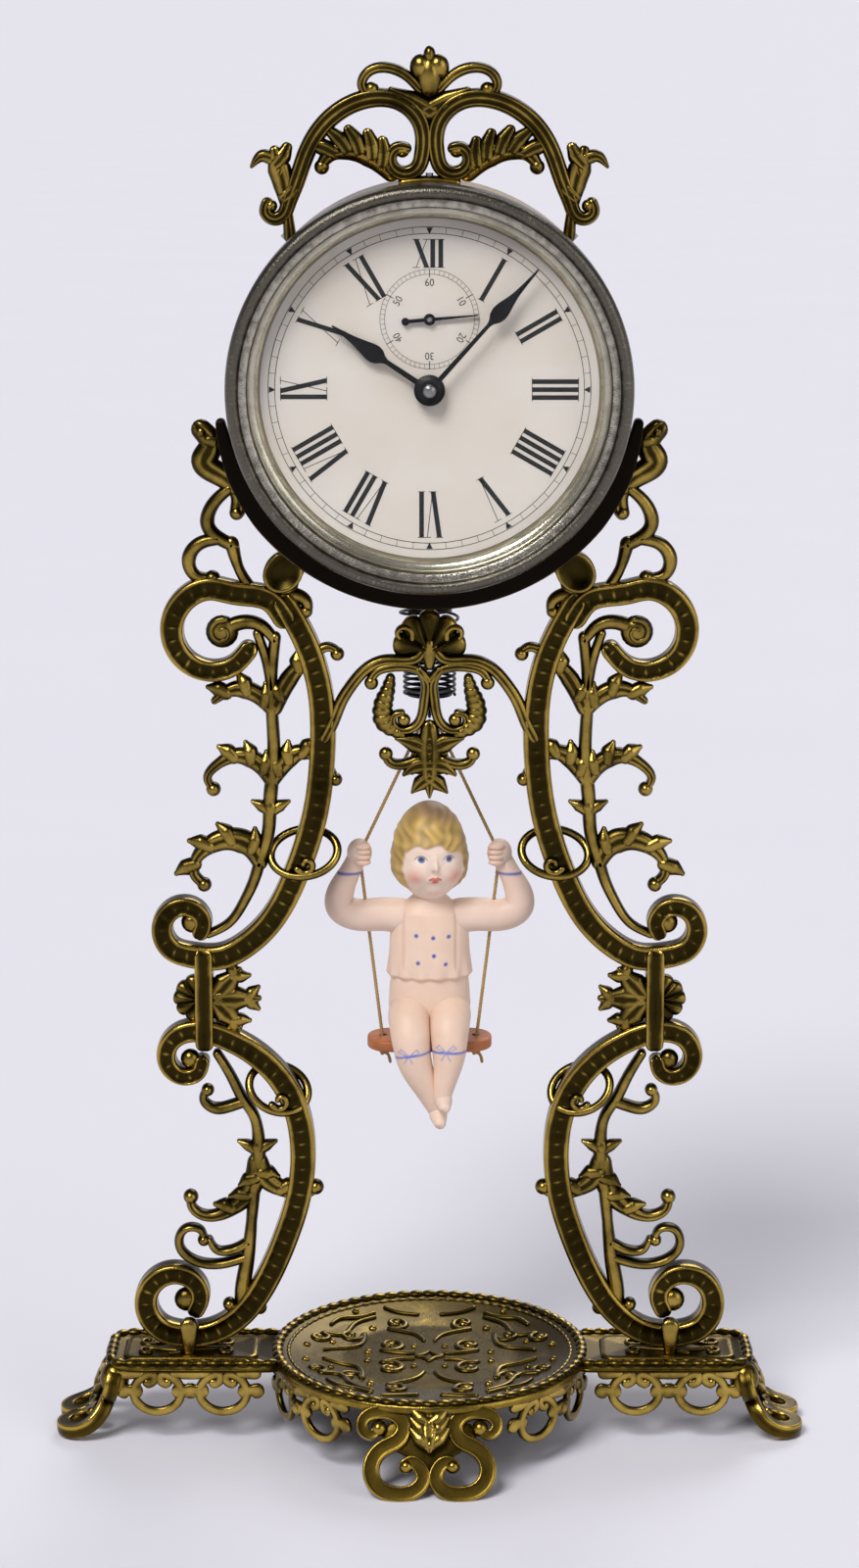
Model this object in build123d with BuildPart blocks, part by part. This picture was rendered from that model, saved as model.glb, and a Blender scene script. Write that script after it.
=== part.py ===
from build123d import *

import os
from math import asin, atan2, cos, degrees, pi, radians, sin, sqrt

# A table clock on two scrolled brass legs. A bisque doll on a swing bobs under the case on a coil spring.
# Millimetres. X is to the viewer's right, the dial faces -Y, and Z = 0 is the surface that the feet stand on.

# Base casting
BASE_TOP = 22.5
PLATE_THICK = 2.4
DISH_RADIUS = 43.5
DISH_DEPTH = 2.6
RIM_WIDTH = 3.4
RIM_RISE = 1.3
WING_REACH = 88.0
WING_DEPTH = 25.0
WING_CORNER = 5.0
FRET_THICK = 1.8
FRET_BAND = 1.9
FRET_HALF_WIDTH = 7.4
FRET_DROP = 13.0
FRET_GAP = 3.0
FOOT_THICK = 4.4
FOOT_SPREAD = 11.5
SIDE_FOOT_SPREAD = 16.0
SIDE_FOOT_SHARE = 0.74

# Legs
LEG_FOOT_X = 66.0
STEM_THICK = 7.0
VINE_THICK = 4.6
VINE_FULLNESS = 1.25
LEAF_THICK = 3.4
CHANNEL_DEPTH = 0.8
CHANNEL_LIP = 1.3
TENON_RADIUS = 2.4
TENON_LENGTH = 9.0
NUT_HEIGHT = 2.6
NUT_WIDTH = 8.0

# Drum case, bezel and dial
CASE_RISE = 266.0
DRUM_RADIUS = 51.4
DRUM_WALL = 1.2
DRUM_FRONT = -14.0
DRUM_BACK = 32.0
BEZEL_RADIUS = 52.4
BEZEL_BACK = -9.2
BEZEL_FRONT = -22.6
SIGHT_RADIUS = 46.7
DIAL_SIGHT = 43.7
GLASS_THICK = 1.6
DIAL_FACE = -13.6
DIAL_THICK = 0.8
SECONDS_RISE = 18.0
COVER_THICK = 1.2

# Collar under the drum, and the crest on it
COLLAR_BAND = 6.8
COLLAR_FRONT = -8.0
COLLAR_THICK = 4.0
COLLAR_END_ANGLE = 9.0
LUG_RADIUS = 4.6
LUG_DISC_REACH = 62.4
LUG_DISC_HALF = (6.0, 5.0)
LUG_ANGLE = -52.0
CREST_Y = 3.0
CREST_THICK = 5.0
CREST_FOOT_X = 36.0
APRON_THICK = 5.0
APRON_FULLNESS = 1.25
SCREW_RADIUS = 1.2
SCREW_HEAD_RADIUS = 2.3
SCREW_HEAD = 1.4

# Hands, set at seven minutes past ten
MINUTE_ANGLE = 42.0
HOUR_ANGLE = 303.5
SECOND_ANGLE = 85.0
MINUTE_LENGTH = 41.5
HOUR_LENGTH = 28.0
SECOND_LENGTH = 12.5
HAND_THICK = 0.6
MINUTE_WIDTHS = (1.4, 1.4, 1.3, 1.3, 3.8, 2.2, 0.5)
HOUR_WIDTHS = (1.6, 1.5, 1.5, 4.4, 3.2, 1.4, 0.5)

# Movement
PLATE_METAL = 1.6
FRONT_PLATE_Y = -7.6
BACK_PLATE_Y = 14.0
BACK_PLATE_RADIUS = 44.0
PILLAR_RADIUS = 2.2
PILLAR_CIRCLE = 38.5
ARBOR_RADIUS = 1.2
FINE_ARBOR = 0.6
RUN_CLEAR = 0.05
SHIFT_CLEAR = 0.3
WHEEL_THICK = 1.4
CENTRE_TEETH = 64
THIRD_LEAVES = 8
THIRD_TEETH = 60
ESCAPE_LEAVES = 8
GREAT_TEETH = 60
CENTRE_LEAVES = 10
CANNON_TEETH = 12
MINUTE_TEETH = 36
MINUTE_LEAVES = 10
HOUR_TEETH = 40
CENTRE_MODULE = 0.42
THIRD_MODULE = 0.36
GREAT_MODULE = 0.62
CANNON_MODULE = 0.5
GREAT_ANGLE = 215.0
MOTION_ANGLE = -40.0
ESCAPE_TEETH = 30
ESCAPE_RADIUS = 9.0
LEVER_X = 22.0
LEVER_DROP = 26.0

# Bobbing swing
SWING_Y = 12.3
SPRING_RADIUS = 6.8
SPRING_WIRE = 0.9
SPRING_LENGTH = 24.0
OPEN_TURNS = 4
CLOSE_TURNS = 8
CLOSE_PITCH = 1.45
LIFT_GAP = 2.4
EYE_RADIUS = 1.7
EYE_WIRE = 0.45
CORD_RADIUS = 0.5
CORD_CLEAR = 0.15
HAND_X = 19.0
HAND_DROP = 40.5
SEAT_HOLE_X = 12.6
SEAT_DROP = 91.5
SEAT_LENGTH = 34.0
SEAT_DEPTH = 15.0
SEAT_THICK = 3.0

# Places that follow from the sizes above
CENTRE_Z = BASE_TOP + CASE_RISE
DRUM_INNER = DRUM_RADIUS - DRUM_WALL
COLLAR_INNER = DRUM_RADIUS + SHIFT_CLEAR
COLLAR_OUTER = COLLAR_INNER + COLLAR_BAND
COLLAR_BACK = COLLAR_FRONT + COLLAR_THICK
COLLAR_MID = COLLAR_INNER + COLLAR_BAND / 2
FRONT_INSIDE = FRONT_PLATE_Y + PLATE_METAL
THIRD_TO_CENTRE = CENTRE_MODULE * (CENTRE_TEETH + THIRD_LEAVES) / 2
THIRD_TO_SECONDS = THIRD_MODULE * (THIRD_TEETH + ESCAPE_LEAVES) / 2
GREAT_TO_CENTRE = GREAT_MODULE * (GREAT_TEETH + CENTRE_LEAVES) / 2
MOTION_TO_CENTRE = CANNON_MODULE * (CANNON_TEETH + MINUTE_TEETH) / 2
MOTION_MODULE = 2 * MOTION_TO_CENTRE / (MINUTE_LEAVES + HOUR_TEETH)
THIRD_RISE = (THIRD_TO_CENTRE**2 - THIRD_TO_SECONDS**2 + SECONDS_RISE**2) / (2 * SECONDS_RISE)
THIRD_X = -sqrt(THIRD_TO_CENTRE**2 - THIRD_RISE**2)
GREAT_X = GREAT_TO_CENTRE * cos(radians(GREAT_ANGLE))
GREAT_RISE = GREAT_TO_CENTRE * sin(radians(GREAT_ANGLE))
MOTION_X = MOTION_TO_CENTRE * cos(radians(MOTION_ANGLE))
MOTION_RISE = MOTION_TO_CENTRE * sin(radians(MOTION_ANGLE))
SPRING_TOP = CENTRE_Z - COLLAR_OUTER - LIFT_GAP
SPRING_BOTTOM = SPRING_TOP - SPRING_LENGTH
APEX_Z = SPRING_BOTTOM - 3.4
SEAT_TOP = APEX_Z - SEAT_DROP

# Hand layers, from the dial towards the glass
SECOND_HAND_Y = DIAL_FACE - 1.1
HOUR_HAND_Y = DIAL_FACE - 2.2
MINUTE_HAND_Y = DIAL_FACE - 3.6
GLASS_BACK = MINUTE_HAND_Y - 1.8

os.makedirs("parts", exist_ok=True)


def save(builder, name):
    """Labels a finished piece and writes its STEP file."""
    builder.part.label = name
    export_step(builder.part, f"parts/{name}.step")


def front(y):
    """A sketch plane at depth y that faces the viewer: its axes are X and Z."""
    return Plane(origin=(0, y, 0), x_dir=(1, 0, 0), z_dir=(0, -1, 0))


def dial_plane(y, x=0.0, rise=0.0):
    """A sketch plane at depth y with its origin on the dial's centre, or x and rise from it."""
    return Plane(origin=(x, y, CENTRE_Z + rise), x_dir=(1, 0, 0), z_dir=(0, -1, 0))


def spiral(centre, radii, angles, count):
    """Points on a spiral about a centre whose radius runs evenly from one value to another over the angles."""
    points = []
    for step in range(count):
        share = step / (count - 1)
        radius = radii[0] + (radii[1] - radii[0]) * share
        angle = radians(angles[0] + (angles[1] - angles[0]) * share)
        points.append((centre[0] + radius * cos(angle), centre[1] + radius * sin(angle)))
    return points


def width_at(widths, share):
    """The width at a share of the way along a band, running evenly through the listed widths."""
    place = share * (len(widths) - 1)
    first = min(int(place), len(widths) - 2)
    return widths[first] + (widths[first + 1] - widths[first]) * (place - first)


def band_face(points, widths):
    """A tapered band with round ends along a spline through the points."""
    spine = Edge.make_spline([Vector(*point) for point in points])
    steps = 2 * len(points)
    left, right = [], []
    for step in range(steps + 1):
        share = step / steps
        along = spine % share
        side = Vector(-along.Y, along.X) * (width_at(widths, share) / 2)
        left.append(spine @ share + side)
        right.append(spine @ share - side)
    tip = spine @ 1 + (spine % 1) * (widths[-1] / 2)
    tail = spine @ 0 - (spine % 0) * (widths[0] / 2)
    with BuildLine() as edge:
        Spline(*left)
        ThreePointArc(left[-1], tip, right[-1])
        Spline(*reversed(right))
        ThreePointArc(right[0], tail, left[0])
    return make_face(edge.edges(), mode=Mode.PRIVATE)


def band(points, widths):
    """Adds one band to the sketch being built."""
    add(band_face(points, widths))


def bands(rows, fullness=1.0):
    """Adds many bands to the sketch being built at once, their widths multiplied by the fullness."""
    add([band_face(points, [fullness * width for width in widths]) for points, widths in rows])


def ball(x, y, radius):
    """Adds the round bud that ends a scroll to the sketch being built."""
    with Locations((x, y)):
        Circle(radius)


def leaf(points):
    """Adds a leaf to the sketch being built: a closed curve through the points, from its top on the middle line
    down to its foot there, and through the same points mirrored."""
    with BuildLine() as edge:
        Spline(*points, *[(-x, y) for x, y in reversed(points[1:-1])], periodic=True)
    make_face(edge.edges())


def lobes(points, count, side, reach):
    """Rows for the pointed lobes of a leaf, evenly along its run and leaning along it. They grow on the left of
    the run for side 1 and on its right for side -1."""
    spine = Edge.make_spline([Vector(*point) for point in points])
    rows = []
    for step in range(count):
        share = (step + 1) / (count + 1)
        root, along = spine @ share, spine % share
        out = Vector(-along.Y, along.X) * side
        middle = root + out * (0.55 * reach) + along * (0.15 * reach)
        tip = root + out * reach + along * (0.6 * reach)
        rows.append(([(spot.X, spot.Y) for spot in (root, middle, tip)], LOBE_WIDTHS))
    return rows


def on_leg(points):
    """Leg points are heights over the base's top."""
    return [(x, BASE_TOP + rise) for x, rise in points]


# Leg scrolls, right leg: x from the middle of the clock, height over the base's top

UPPER_VOLUTE = spiral((65.0, 120.4), (8.2, 3.8), (-95, 205), 9)
UPPER_STEM = [(38.0, 208.0), (33.0, 198.5), (29.0, 184.5), (28.5, 168.0), (30.5, 151.5), (35.5, 135.5),
              (42.5, 122.0), (49.0, 115.5), (56.5, 111.8)] + UPPER_VOLUTE
C_SCROLL = [(38.5, 204.5), (42.0, 209.0)] + spiral((57.0, 200.8), (11.6, 10.4), (118, -150), 9)
LOWER_VOLUTE = spiral((64.9, 83.2), (3.4, 8.0), (195, 455), 8)
FOOT_VOLUTE = spiral((69.0, 14.6), (10.3, 5.6), (-95, 210), 9)
LOWER_STEM = LOWER_VOLUTE + [(54.5, 89.0), (47.0, 84.5), (40.0, 77.0), (35.8, 67.5), (34.5, 57.0), (35.5, 45.5),
                             (38.8, 34.0), (44.0, 21.5), (51.0, 11.0), (59.0, 5.4)] + FOOT_VOLUTE
STEMS = {
    "c_scroll": (C_SCROLL, (6.2, 6.4, 5.2)),
    "upper_stem": (UPPER_STEM, (6.4, 7.0, 7.0, 6.8, 4.6)),
    "lower_stem": (LOWER_STEM, (4.2, 6.4, 7.0, 7.0, 6.8, 6.6, 5.0)),
}
VINES = {
    "centre_vine": ([(40.8, 199.0), (42.0, 185.0), (41.5, 166.0), (42.6, 154.0), (43.0, 147.0), (45.8, 137.0)],
                    (2.4, 2.6, 3.0, 2.6)),
    "twig_out": ([(45.5, 200.0), (43.0, 192.0), (41.8, 185.0)], (2.0, 2.4)),
    "inner_leaf": ([(40.8, 198.0), (45.5, 202.6), (51.0, 202.6), (54.5, 200.6)], (2.2, 3.0, 3.4)),
    "stem_cap": ([(41.0, 209.5), (36.5, 210.3), (32.6, 208.6), (32.2, 205.8)], (3.0, 3.2, 2.0)),
    "leaf_out": ([(42.0, 180.0), (46.5, 184.0), (52.0, 185.0), (57.0, 182.0)], (2.4, 3.0, 1.2)),
    "leaf_in": ([(41.2, 180.0), (36.0, 189.5), (30.5, 194.6), (26.4, 196.4), (24.0, 194.8)], (2.6, 3.2, 2.4, 1.8)),
    "mid_out": ([(42.0, 160.5), (45.0, 164.5), (50.5, 167.0), (56.5, 164.6), (59.2, 160.8), (57.9, 158.2)],
                (2.8, 3.4, 2.2, 1.6)),
    "mid_in": ([(42.0, 160.5), (38.8, 164.8), (34.5, 167.9), (28.5, 165.8), (25.2, 161.0)], (2.8, 3.4, 3.6, 2.0)),
    "acanthus": ([(45.5, 138.0), (48.3, 142.5), (53.5, 144.2), (59.0, 142.4), (62.8, 138.0), (63.0, 134.6),
                  (60.6, 132.0)], (2.6, 4.2, 3.2, 1.8, 1.6)),
    "sweep": ([(45.5, 138.0), (47.0, 133.0), (49.8, 127.0), (54.0, 121.0), (59.5, 118.0)], (2.6, 2.2, 1.8)),
    "top_leaf": ([(59.6, 254.0), (57.2, 249.8), (59.0, 246.0), (54.5, 242.0), (49.8, 236.8), (50.4, 232.6)],
                 (2.2, 2.8, 2.6, 2.0)),
    "top_curve": ([(52.5, 238.6), (57.2, 233.8), (58.2, 228.6), (55.0, 225.2), (51.8, 223.6)], (2.2, 2.6, 2.4)),
    "side_curve": ([(55.5, 225.2), (60.8, 223.8), (63.4, 219.6), (61.8, 215.6), (57.4, 214.8)], (2.0, 2.4, 1.8)),
    "top_twig": ([(52.0, 224.0), (49.8, 216.5), (47.0, 212.0)], (3.0, 2.2, 2.4)),
    "low_twig": ([(57.5, 84.5), (53.5, 77.5), (50.8, 72.0), (48.0, 67.5), (46.6, 60.5), (46.8, 53.5)],
                 (2.0, 2.4, 2.4, 3.4)),
    "low_curl": ([(50.5, 71.0), (54.5, 69.6), (58.6, 69.2), (61.4, 71.8), (60.6, 74.4)], (2.6, 2.6, 1.6)),
    "low_in": ([(46.8, 53.5), (44.8, 49.4), (39.5, 45.8), (33.6, 44.8), (31.0, 46.4)], (3.4, 3.4, 2.6, 2.0)),
    "low_out": ([(46.8, 53.5), (49.4, 45.0), (54.4, 40.4), (60.8, 38.4), (64.8, 40.8), (65.4, 43.8)],
                (3.4, 3.2, 2.4, 1.8)),
    "low_vine": ([(47.6, 50.0), (48.8, 36.0), (50.2, 24.5), (51.4, 15.0), (51.0, 11.0)], (3.0, 2.4, 3.2, 3.6)),
    "low_hook": ([(49.4, 31.0), (54.6, 28.4), (58.6, 28.8), (60.2, 31.6)], (2.4, 2.2, 1.4)),
    "low_round": ([(50.4, 26.5), (57.0, 24.6), (64.6, 25.6), (68.6, 30.2), (66.6, 34.8), (62.6, 34.2),
                   (61.8, 31.4)], (2.2, 2.2, 2.0, 1.6)),
}
LEAF_LOBES = {"leaf_out": (3, 1, 3.6), "mid_out": (3, 1, 3.8), "mid_in": (3, -1, 3.8), "acanthus": (4, 1, 4.6),
              "low_in": (2, -1, 3.6), "low_out": (3, 1, 3.6)}
LOBE_WIDTHS = (2.8, 2.6, 0.9)
BUDS = [(54.8, 200.6, 4.4), (32.6, 206.0, 1.8), (24.4, 194.6, 1.9), (57.6, 158.0, 2.0), (25.0, 160.6, 1.8),
        (60.4, 131.8, 2.0), (50.6, 232.2, 2.0), (57.2, 214.8, 2.2), (59.6, 253.6, 1.7), (60.2, 74.4, 1.8),
        (31.0, 46.8, 2.2), (65.2, 44.0, 2.1), (61.8, 31.6, 1.8), (63.8, 121.4, 3.0), (64.8, 83.2, 2.7),
        (66.8, 14.4, 3.4), (40.4, 74.6, 2.3), (46.6, 12.0, 1.9), (55.0, 13.0, 1.9)]
RINGS = [((33.6, 140.4), (10.2, 6.8), -8), ((41.0, 74.6), (9.4, 6.6), 20)]
RING_BAND = 2.3
CALYXES = [(42.4, 154.0, 9.6), (46.9, 59.0, 10.0)]
CALYX_HEIGHT = 4.2
CLASP_X = 60.8
CLASP_WIDTH = 5.0
CLASP_SPAN = (86.0, 114.4)
CLASP_THICK = 8.4
CLASP_LEAF = [(59.0, 106.0), (52.5, 109.6), (46.4, 110.4), (50.0, 104.6), (43.8, 99.6), (50.0, 95.0),
              (46.8, 88.6), (53.0, 90.6), (59.0, 93.6)]
SHELL_RADIUS = 6.8
STUD_TOP_RISE = 8.4
STUD_TOP_WIDTH = 5.4
STUD_FOOT_WIDTH = 3.6
STUD_STAND = 2.2

LUG_REACH = COLLAR_INNER + LUG_RADIUS
LUG_X = LUG_REACH * cos(radians(LUG_ANGLE))
LUG_Z = CENTRE_Z + LUG_REACH * sin(radians(LUG_ANGLE))
LUG_DISC_X = LUG_DISC_REACH * cos(radians(LUG_ANGLE))
LUG_DISC_Z = CENTRE_Z + LUG_DISC_REACH * sin(radians(LUG_ANGLE))
STEM_FRONT = -STEM_THICK / 2

with BuildPart() as right_leg:
    with BuildSketch(front(-STEM_FRONT)):
        for points, widths in STEMS.values():
            band(on_leg(points), widths)
    extrude(amount=STEM_THICK)
    with BuildSketch(front(STEM_FRONT)):
        for points, widths in STEMS.values():
            band(on_leg(points), [max(w - 2 * CHANNEL_LIP, 0.6) for w in widths])
    extrude(amount=-CHANNEL_DEPTH, mode=Mode.SUBTRACT)
    with BuildSketch(front(VINE_THICK / 2)):
        bands([(on_leg(points), widths) for points, widths in VINES.values()], VINE_FULLNESS)
        for name, lobing in LEAF_LOBES.items():
            bands(lobes(on_leg(VINES[name][0]), *lobing))
        for x, rise, radius in BUDS:
            ball(x, BASE_TOP + rise, radius)
    extrude(amount=VINE_THICK)
    with BuildSketch(front(VINE_THICK / 2 - 0.4)):
        for (x, rise), (wide, tall), turn in RINGS:
            with Locations(Location((x, BASE_TOP + rise, 0), (0, 0, turn))):
                Ellipse(wide, tall)
                Ellipse(wide - RING_BAND, tall - RING_BAND, mode=Mode.SUBTRACT)
        for x, rise, wide in CALYXES:
            with Locations((x, BASE_TOP + rise)):
                Trapezoid(wide, CALYX_HEIGHT, 62)
    extrude(amount=VINE_THICK - 0.2)
    with BuildSketch(front(LEAF_THICK / 2)):
        with BuildLine():
            Polyline(*on_leg(CLASP_LEAF), close=True)
        make_face()
        with Locations((CLASP_X + 1.0, BASE_TOP + (CLASP_SPAN[0] + CLASP_SPAN[1]) / 2)):
            Circle(SHELL_RADIUS)
    extrude(amount=LEAF_THICK)
    with BuildSketch(front(CLASP_THICK / 2)):
        with Locations((CLASP_X, BASE_TOP + (CLASP_SPAN[0] + CLASP_SPAN[1]) / 2)):
            RectangleRounded(CLASP_WIDTH, CLASP_SPAN[1] - CLASP_SPAN[0], 0.8)
    extrude(amount=CLASP_THICK)
    with BuildSketch(front(COLLAR_BACK + VINE_THICK)):
        band([on_leg([(38.0, 207.0)])[0], ((38.0 + LUG_X) / 2 + 0.4, (BASE_TOP + 207.0 + LUG_Z) / 2),
              (LUG_X, LUG_Z)], (4.6, 4.2, 4.6))
        ball(LUG_X, LUG_Z, LUG_RADIUS)
        with Locations(Location((LUG_DISC_X, LUG_DISC_Z, 0), (0, 0, LUG_ANGLE))):
            Ellipse(*LUG_DISC_HALF)
        with Locations((LUG_X, LUG_Z)):
            Circle(SCREW_RADIUS + RUN_CLEAR, mode=Mode.SUBTRACT)
    extrude(amount=VINE_THICK)
    with BuildSketch(front(STEM_FRONT)):
        with BuildLine():
            Polyline((LEG_FOOT_X - STUD_FOOT_WIDTH / 2, BASE_TOP), (LEG_FOOT_X + STUD_FOOT_WIDTH / 2, BASE_TOP),
                     (LEG_FOOT_X + STUD_TOP_WIDTH / 2, BASE_TOP + STUD_TOP_RISE),
                     (LEG_FOOT_X - STUD_TOP_WIDTH / 2, BASE_TOP + STUD_TOP_RISE), close=True)
        make_face()
    extrude(amount=STUD_STAND)
    # The foot scroll is filed flat where it stands on the base, and a tenon goes through it
    with BuildSketch(Plane.XY.offset(BASE_TOP)):
        with Locations((LEG_FOOT_X, 0)):
            Rectangle(60, 4 * STEM_THICK)
    extrude(amount=-STEM_THICK, mode=Mode.SUBTRACT)
    with BuildSketch(Plane.XY.offset(BASE_TOP + TENON_RADIUS)):
        with Locations((LEG_FOOT_X, 0)):
            Circle(TENON_RADIUS)
    extrude(amount=-TENON_LENGTH - TENON_RADIUS)
save(right_leg, "right_leg")

with BuildPart() as left_leg:
    mirror(right_leg.part, about=Plane.YZ)
save(left_leg, "left_leg")

# Base casting: a round dish between two wings, on four scrolled feet, with a row of fret rings under the edge

FOOT_DRAWN = 26.4
FOOT_SCROLL = [(13.8, -5.4), (15.2, -7.2), (17.6, -5.8), (17.4, -2.6), (13.6, -0.6), (9.0, -1.4), (6.8, -4.8),
               (8.2, -8.6), (11.8, -10.8), (14.8, -14.2), (15.4, -18.6), (13.6, -22.4), (8.9, -24.5), (3.8, -23.4),
               (1.7, -20.4), (2.4, -17.0), (4.6, -15.2), (6.4, -16.2)]
FOOT_WIDTHS = (2.0, 3.0, 3.4, 3.6, 3.6, 3.0)
FOOT_BUD = (6.2, -16.4, 1.9)
FOOT_WEB = [(-8.0, 0.5), (8.0, 0.5), (7.0, -8.5), (0.0, -14.5), (-7.0, -8.5)]
FOOT_WEB_THICK = 2.6
FRET_CURL = [(1.0, 5.2), (0.9, 3.4), (2.4, 2.4)]
FRET_BUD = (2.9, 2.9, 1.3)
FRET_BRIDGE = 2.8
FOOT_LEAF = [(0.0, 0.0), (0.0, -7.0), (0.0, -13.5)]
FOOT_LEAF_WIDTHS = (4.0, 5.4, 1.6)
FRET_WING_X = (56.4, 74.4)
FRET_DISH_ANGLES = (44.0, 70.0)
PLATE_UNDER = BASE_TOP - PLATE_THICK
WING_BORDER = 2.0
DISH_FLAT = 0.55 * DISH_RADIUS


def foot_plane(angle, reach, spread):
    """The sloping plane of a foot: its origin is under the plate's edge and its second axis points up the slope."""
    out = Vector(cos(radians(angle)), sin(radians(angle)), 0)
    up = (Vector(0, 0, PLATE_UNDER) - out * spread).normalized()
    across = Vector(-out.Y, out.X, 0)
    return Plane(origin=out * reach + Vector(0, 0, PLATE_UNDER), x_dir=across, z_dir=across.cross(up))


def foot_scrolls(spread, share):
    """Adds both scrolls and the leaf of a foot to the sketch being built, drawn to the foot's sloping length."""
    stretch = sqrt(PLATE_UNDER**2 + spread**2) / (FOOT_DRAWN - 0.6)
    for side in (-1, 1):
        band([(side * share * x, stretch * y) for x, y in FOOT_SCROLL], [share * width for width in FOOT_WIDTHS])
        ball(side * share * FOOT_BUD[0], stretch * FOOT_BUD[1], FOOT_BUD[2])
    band([(x, stretch * y) for x, y in FOOT_LEAF], FOOT_LEAF_WIDTHS)


def foot_web(share):
    """Adds the thin plate behind the scrolls of a foot to the sketch being built."""
    with BuildLine() as edge:
        Polyline(*[(share * x, y) for x, y in FOOT_WEB], close=True)
    make_face(edge.edges())


def fret_plane(angle, along, reach):
    """An upright plane for a fret ring: it faces the angle, reach out from the middle and along to its side."""
    out = Vector(cos(radians(angle)), sin(radians(angle)), 0)
    across = Vector(-out.Y, out.X, 0)
    middle = PLATE_UNDER + 0.5 - FRET_DROP / 2
    return Plane(origin=out * reach + across * along + Vector(0, 0, middle), x_dir=across, z_dir=out)


FRET_PLANES = []
for facing in (-90, 90):
    for place in FRET_WING_X:
        for side in (-1, 1):
            FRET_PLANES.append(fret_plane(facing, side * place, WING_DEPTH / 2 - FRET_THICK / 2))
    for turn in FRET_DISH_ANGLES:
        for side in (-1, 1):
            FRET_PLANES.append(fret_plane(facing + side * turn, 0, DISH_RADIUS - FRET_THICK))

with BuildPart() as base_plate:
    with BuildSketch(Plane.XY.offset(PLATE_UNDER)):
        RectangleRounded(2 * WING_REACH, WING_DEPTH, WING_CORNER)
        Circle(DISH_RADIUS - RIM_WIDTH, mode=Mode.SUBTRACT)
    extrude(amount=PLATE_THICK)
    with BuildSketch(Plane.XY.offset(BASE_TOP)):
        RectangleRounded(2 * WING_REACH, WING_DEPTH, WING_CORNER)
        RectangleRounded(2 * WING_REACH - 2 * WING_BORDER, WING_DEPTH - 2 * WING_BORDER,
                         WING_CORNER - WING_BORDER, mode=Mode.SUBTRACT)
        Circle(DISH_RADIUS - RIM_WIDTH, mode=Mode.SUBTRACT)
    extrude(amount=RIM_RISE)
    with BuildSketch(Plane.XZ):
        with BuildLine():
            Polyline((0, PLATE_UNDER - DISH_DEPTH), (0, BASE_TOP - DISH_DEPTH), (DISH_FLAT, BASE_TOP - DISH_DEPTH),
                     (DISH_RADIUS - RIM_WIDTH, BASE_TOP), (DISH_RADIUS, BASE_TOP), (DISH_RADIUS, PLATE_UNDER),
                     (DISH_RADIUS - RIM_WIDTH, PLATE_UNDER), (DISH_FLAT, PLATE_UNDER - DISH_DEPTH), close=True)
        make_face()
        with Locations((DISH_RADIUS - RIM_WIDTH / 2, BASE_TOP)):
            Circle(RIM_RISE)
    revolve(axis=Axis.Z)
    with BuildSketch(*FRET_PLANES):
        Ellipse(FRET_HALF_WIDTH, FRET_DROP / 2)
        Ellipse(FRET_HALF_WIDTH - FRET_BAND, FRET_DROP / 2 - FRET_BAND, mode=Mode.SUBTRACT)
        for side in (-1, 1):
            band([(side * x, y) for x, y in FRET_CURL], (FRET_BAND, FRET_BAND, FRET_BAND))
            ball(side * FRET_BUD[0], FRET_BUD[1], FRET_BUD[2])
        with Locations((0, FRET_DROP / 2 - FRET_BRIDGE / 2)):
            Rectangle(2 * FRET_HALF_WIDTH + FRET_GAP, FRET_BRIDGE)
            Rectangle(2 * FRET_HALF_WIDTH - 2 * FRET_BAND, FRET_BRIDGE, mode=Mode.SUBTRACT)
    extrude(amount=FRET_THICK / 2, both=True)
    with BuildSketch(*[foot_plane(angle, DISH_RADIUS - RIM_WIDTH, FOOT_SPREAD) for angle in (-90, 90)]):
        foot_scrolls(FOOT_SPREAD, 1.0)
    extrude(amount=FOOT_THICK / 2, both=True)
    with BuildSketch(*[foot_plane(angle, DISH_RADIUS - RIM_WIDTH, FOOT_SPREAD) for angle in (-90, 90)]):
        foot_web(1.0)
    extrude(amount=FOOT_WEB_THICK / 2, both=True)
    with BuildSketch(*[foot_plane(angle, WING_REACH - WING_BORDER, SIDE_FOOT_SPREAD) for angle in (0, 180)]):
        foot_scrolls(SIDE_FOOT_SPREAD, SIDE_FOOT_SHARE)
    extrude(amount=FOOT_THICK / 2, both=True)
    with BuildSketch(*[foot_plane(angle, WING_REACH - WING_BORDER, SIDE_FOOT_SPREAD) for angle in (0, 180)]):
        foot_web(SIDE_FOOT_SHARE)
    extrude(amount=FOOT_WEB_THICK / 2, both=True)
    # The scrolls are ground flat where they stand, and trimmed where they pass above the plate
    with BuildSketch(Plane.XY):
        Rectangle(4 * WING_REACH, 4 * WING_REACH)
    extrude(amount=-2 * FOOT_THICK, mode=Mode.SUBTRACT)
    with BuildSketch(Plane.XY.offset(BASE_TOP)):
        Rectangle(2 * WING_REACH - 2 * WING_BORDER, WING_DEPTH - 2 * WING_BORDER)
    extrude(amount=RIM_RISE / 2, mode=Mode.SUBTRACT)
    with Locations((LEG_FOOT_X, 0, BASE_TOP), (-LEG_FOOT_X, 0, BASE_TOP)):
        Hole(TENON_RADIUS + RUN_CLEAR)
save(base_plate, "base_plate")

with BuildPart() as leg_nuts:
    with BuildSketch(Plane.XY.offset(PLATE_UNDER)):
        with Locations((LEG_FOOT_X, 0), (-LEG_FOOT_X, 0)):
            RegularPolygon(NUT_WIDTH / 2, 6, major_radius=False)
            Circle(TENON_RADIUS + RUN_CLEAR, mode=Mode.SUBTRACT)
    extrude(amount=-NUT_HEIGHT)
save(leg_nuts, "leg_nuts")

# Collar: a flat crescent that the drum lies in

APRON_SCREW_Z = CENTRE_Z - COLLAR_MID
COLLAR_HOLES = [(LUG_X, LUG_Z), (-LUG_X, LUG_Z), (0, APRON_SCREW_Z)]

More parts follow.
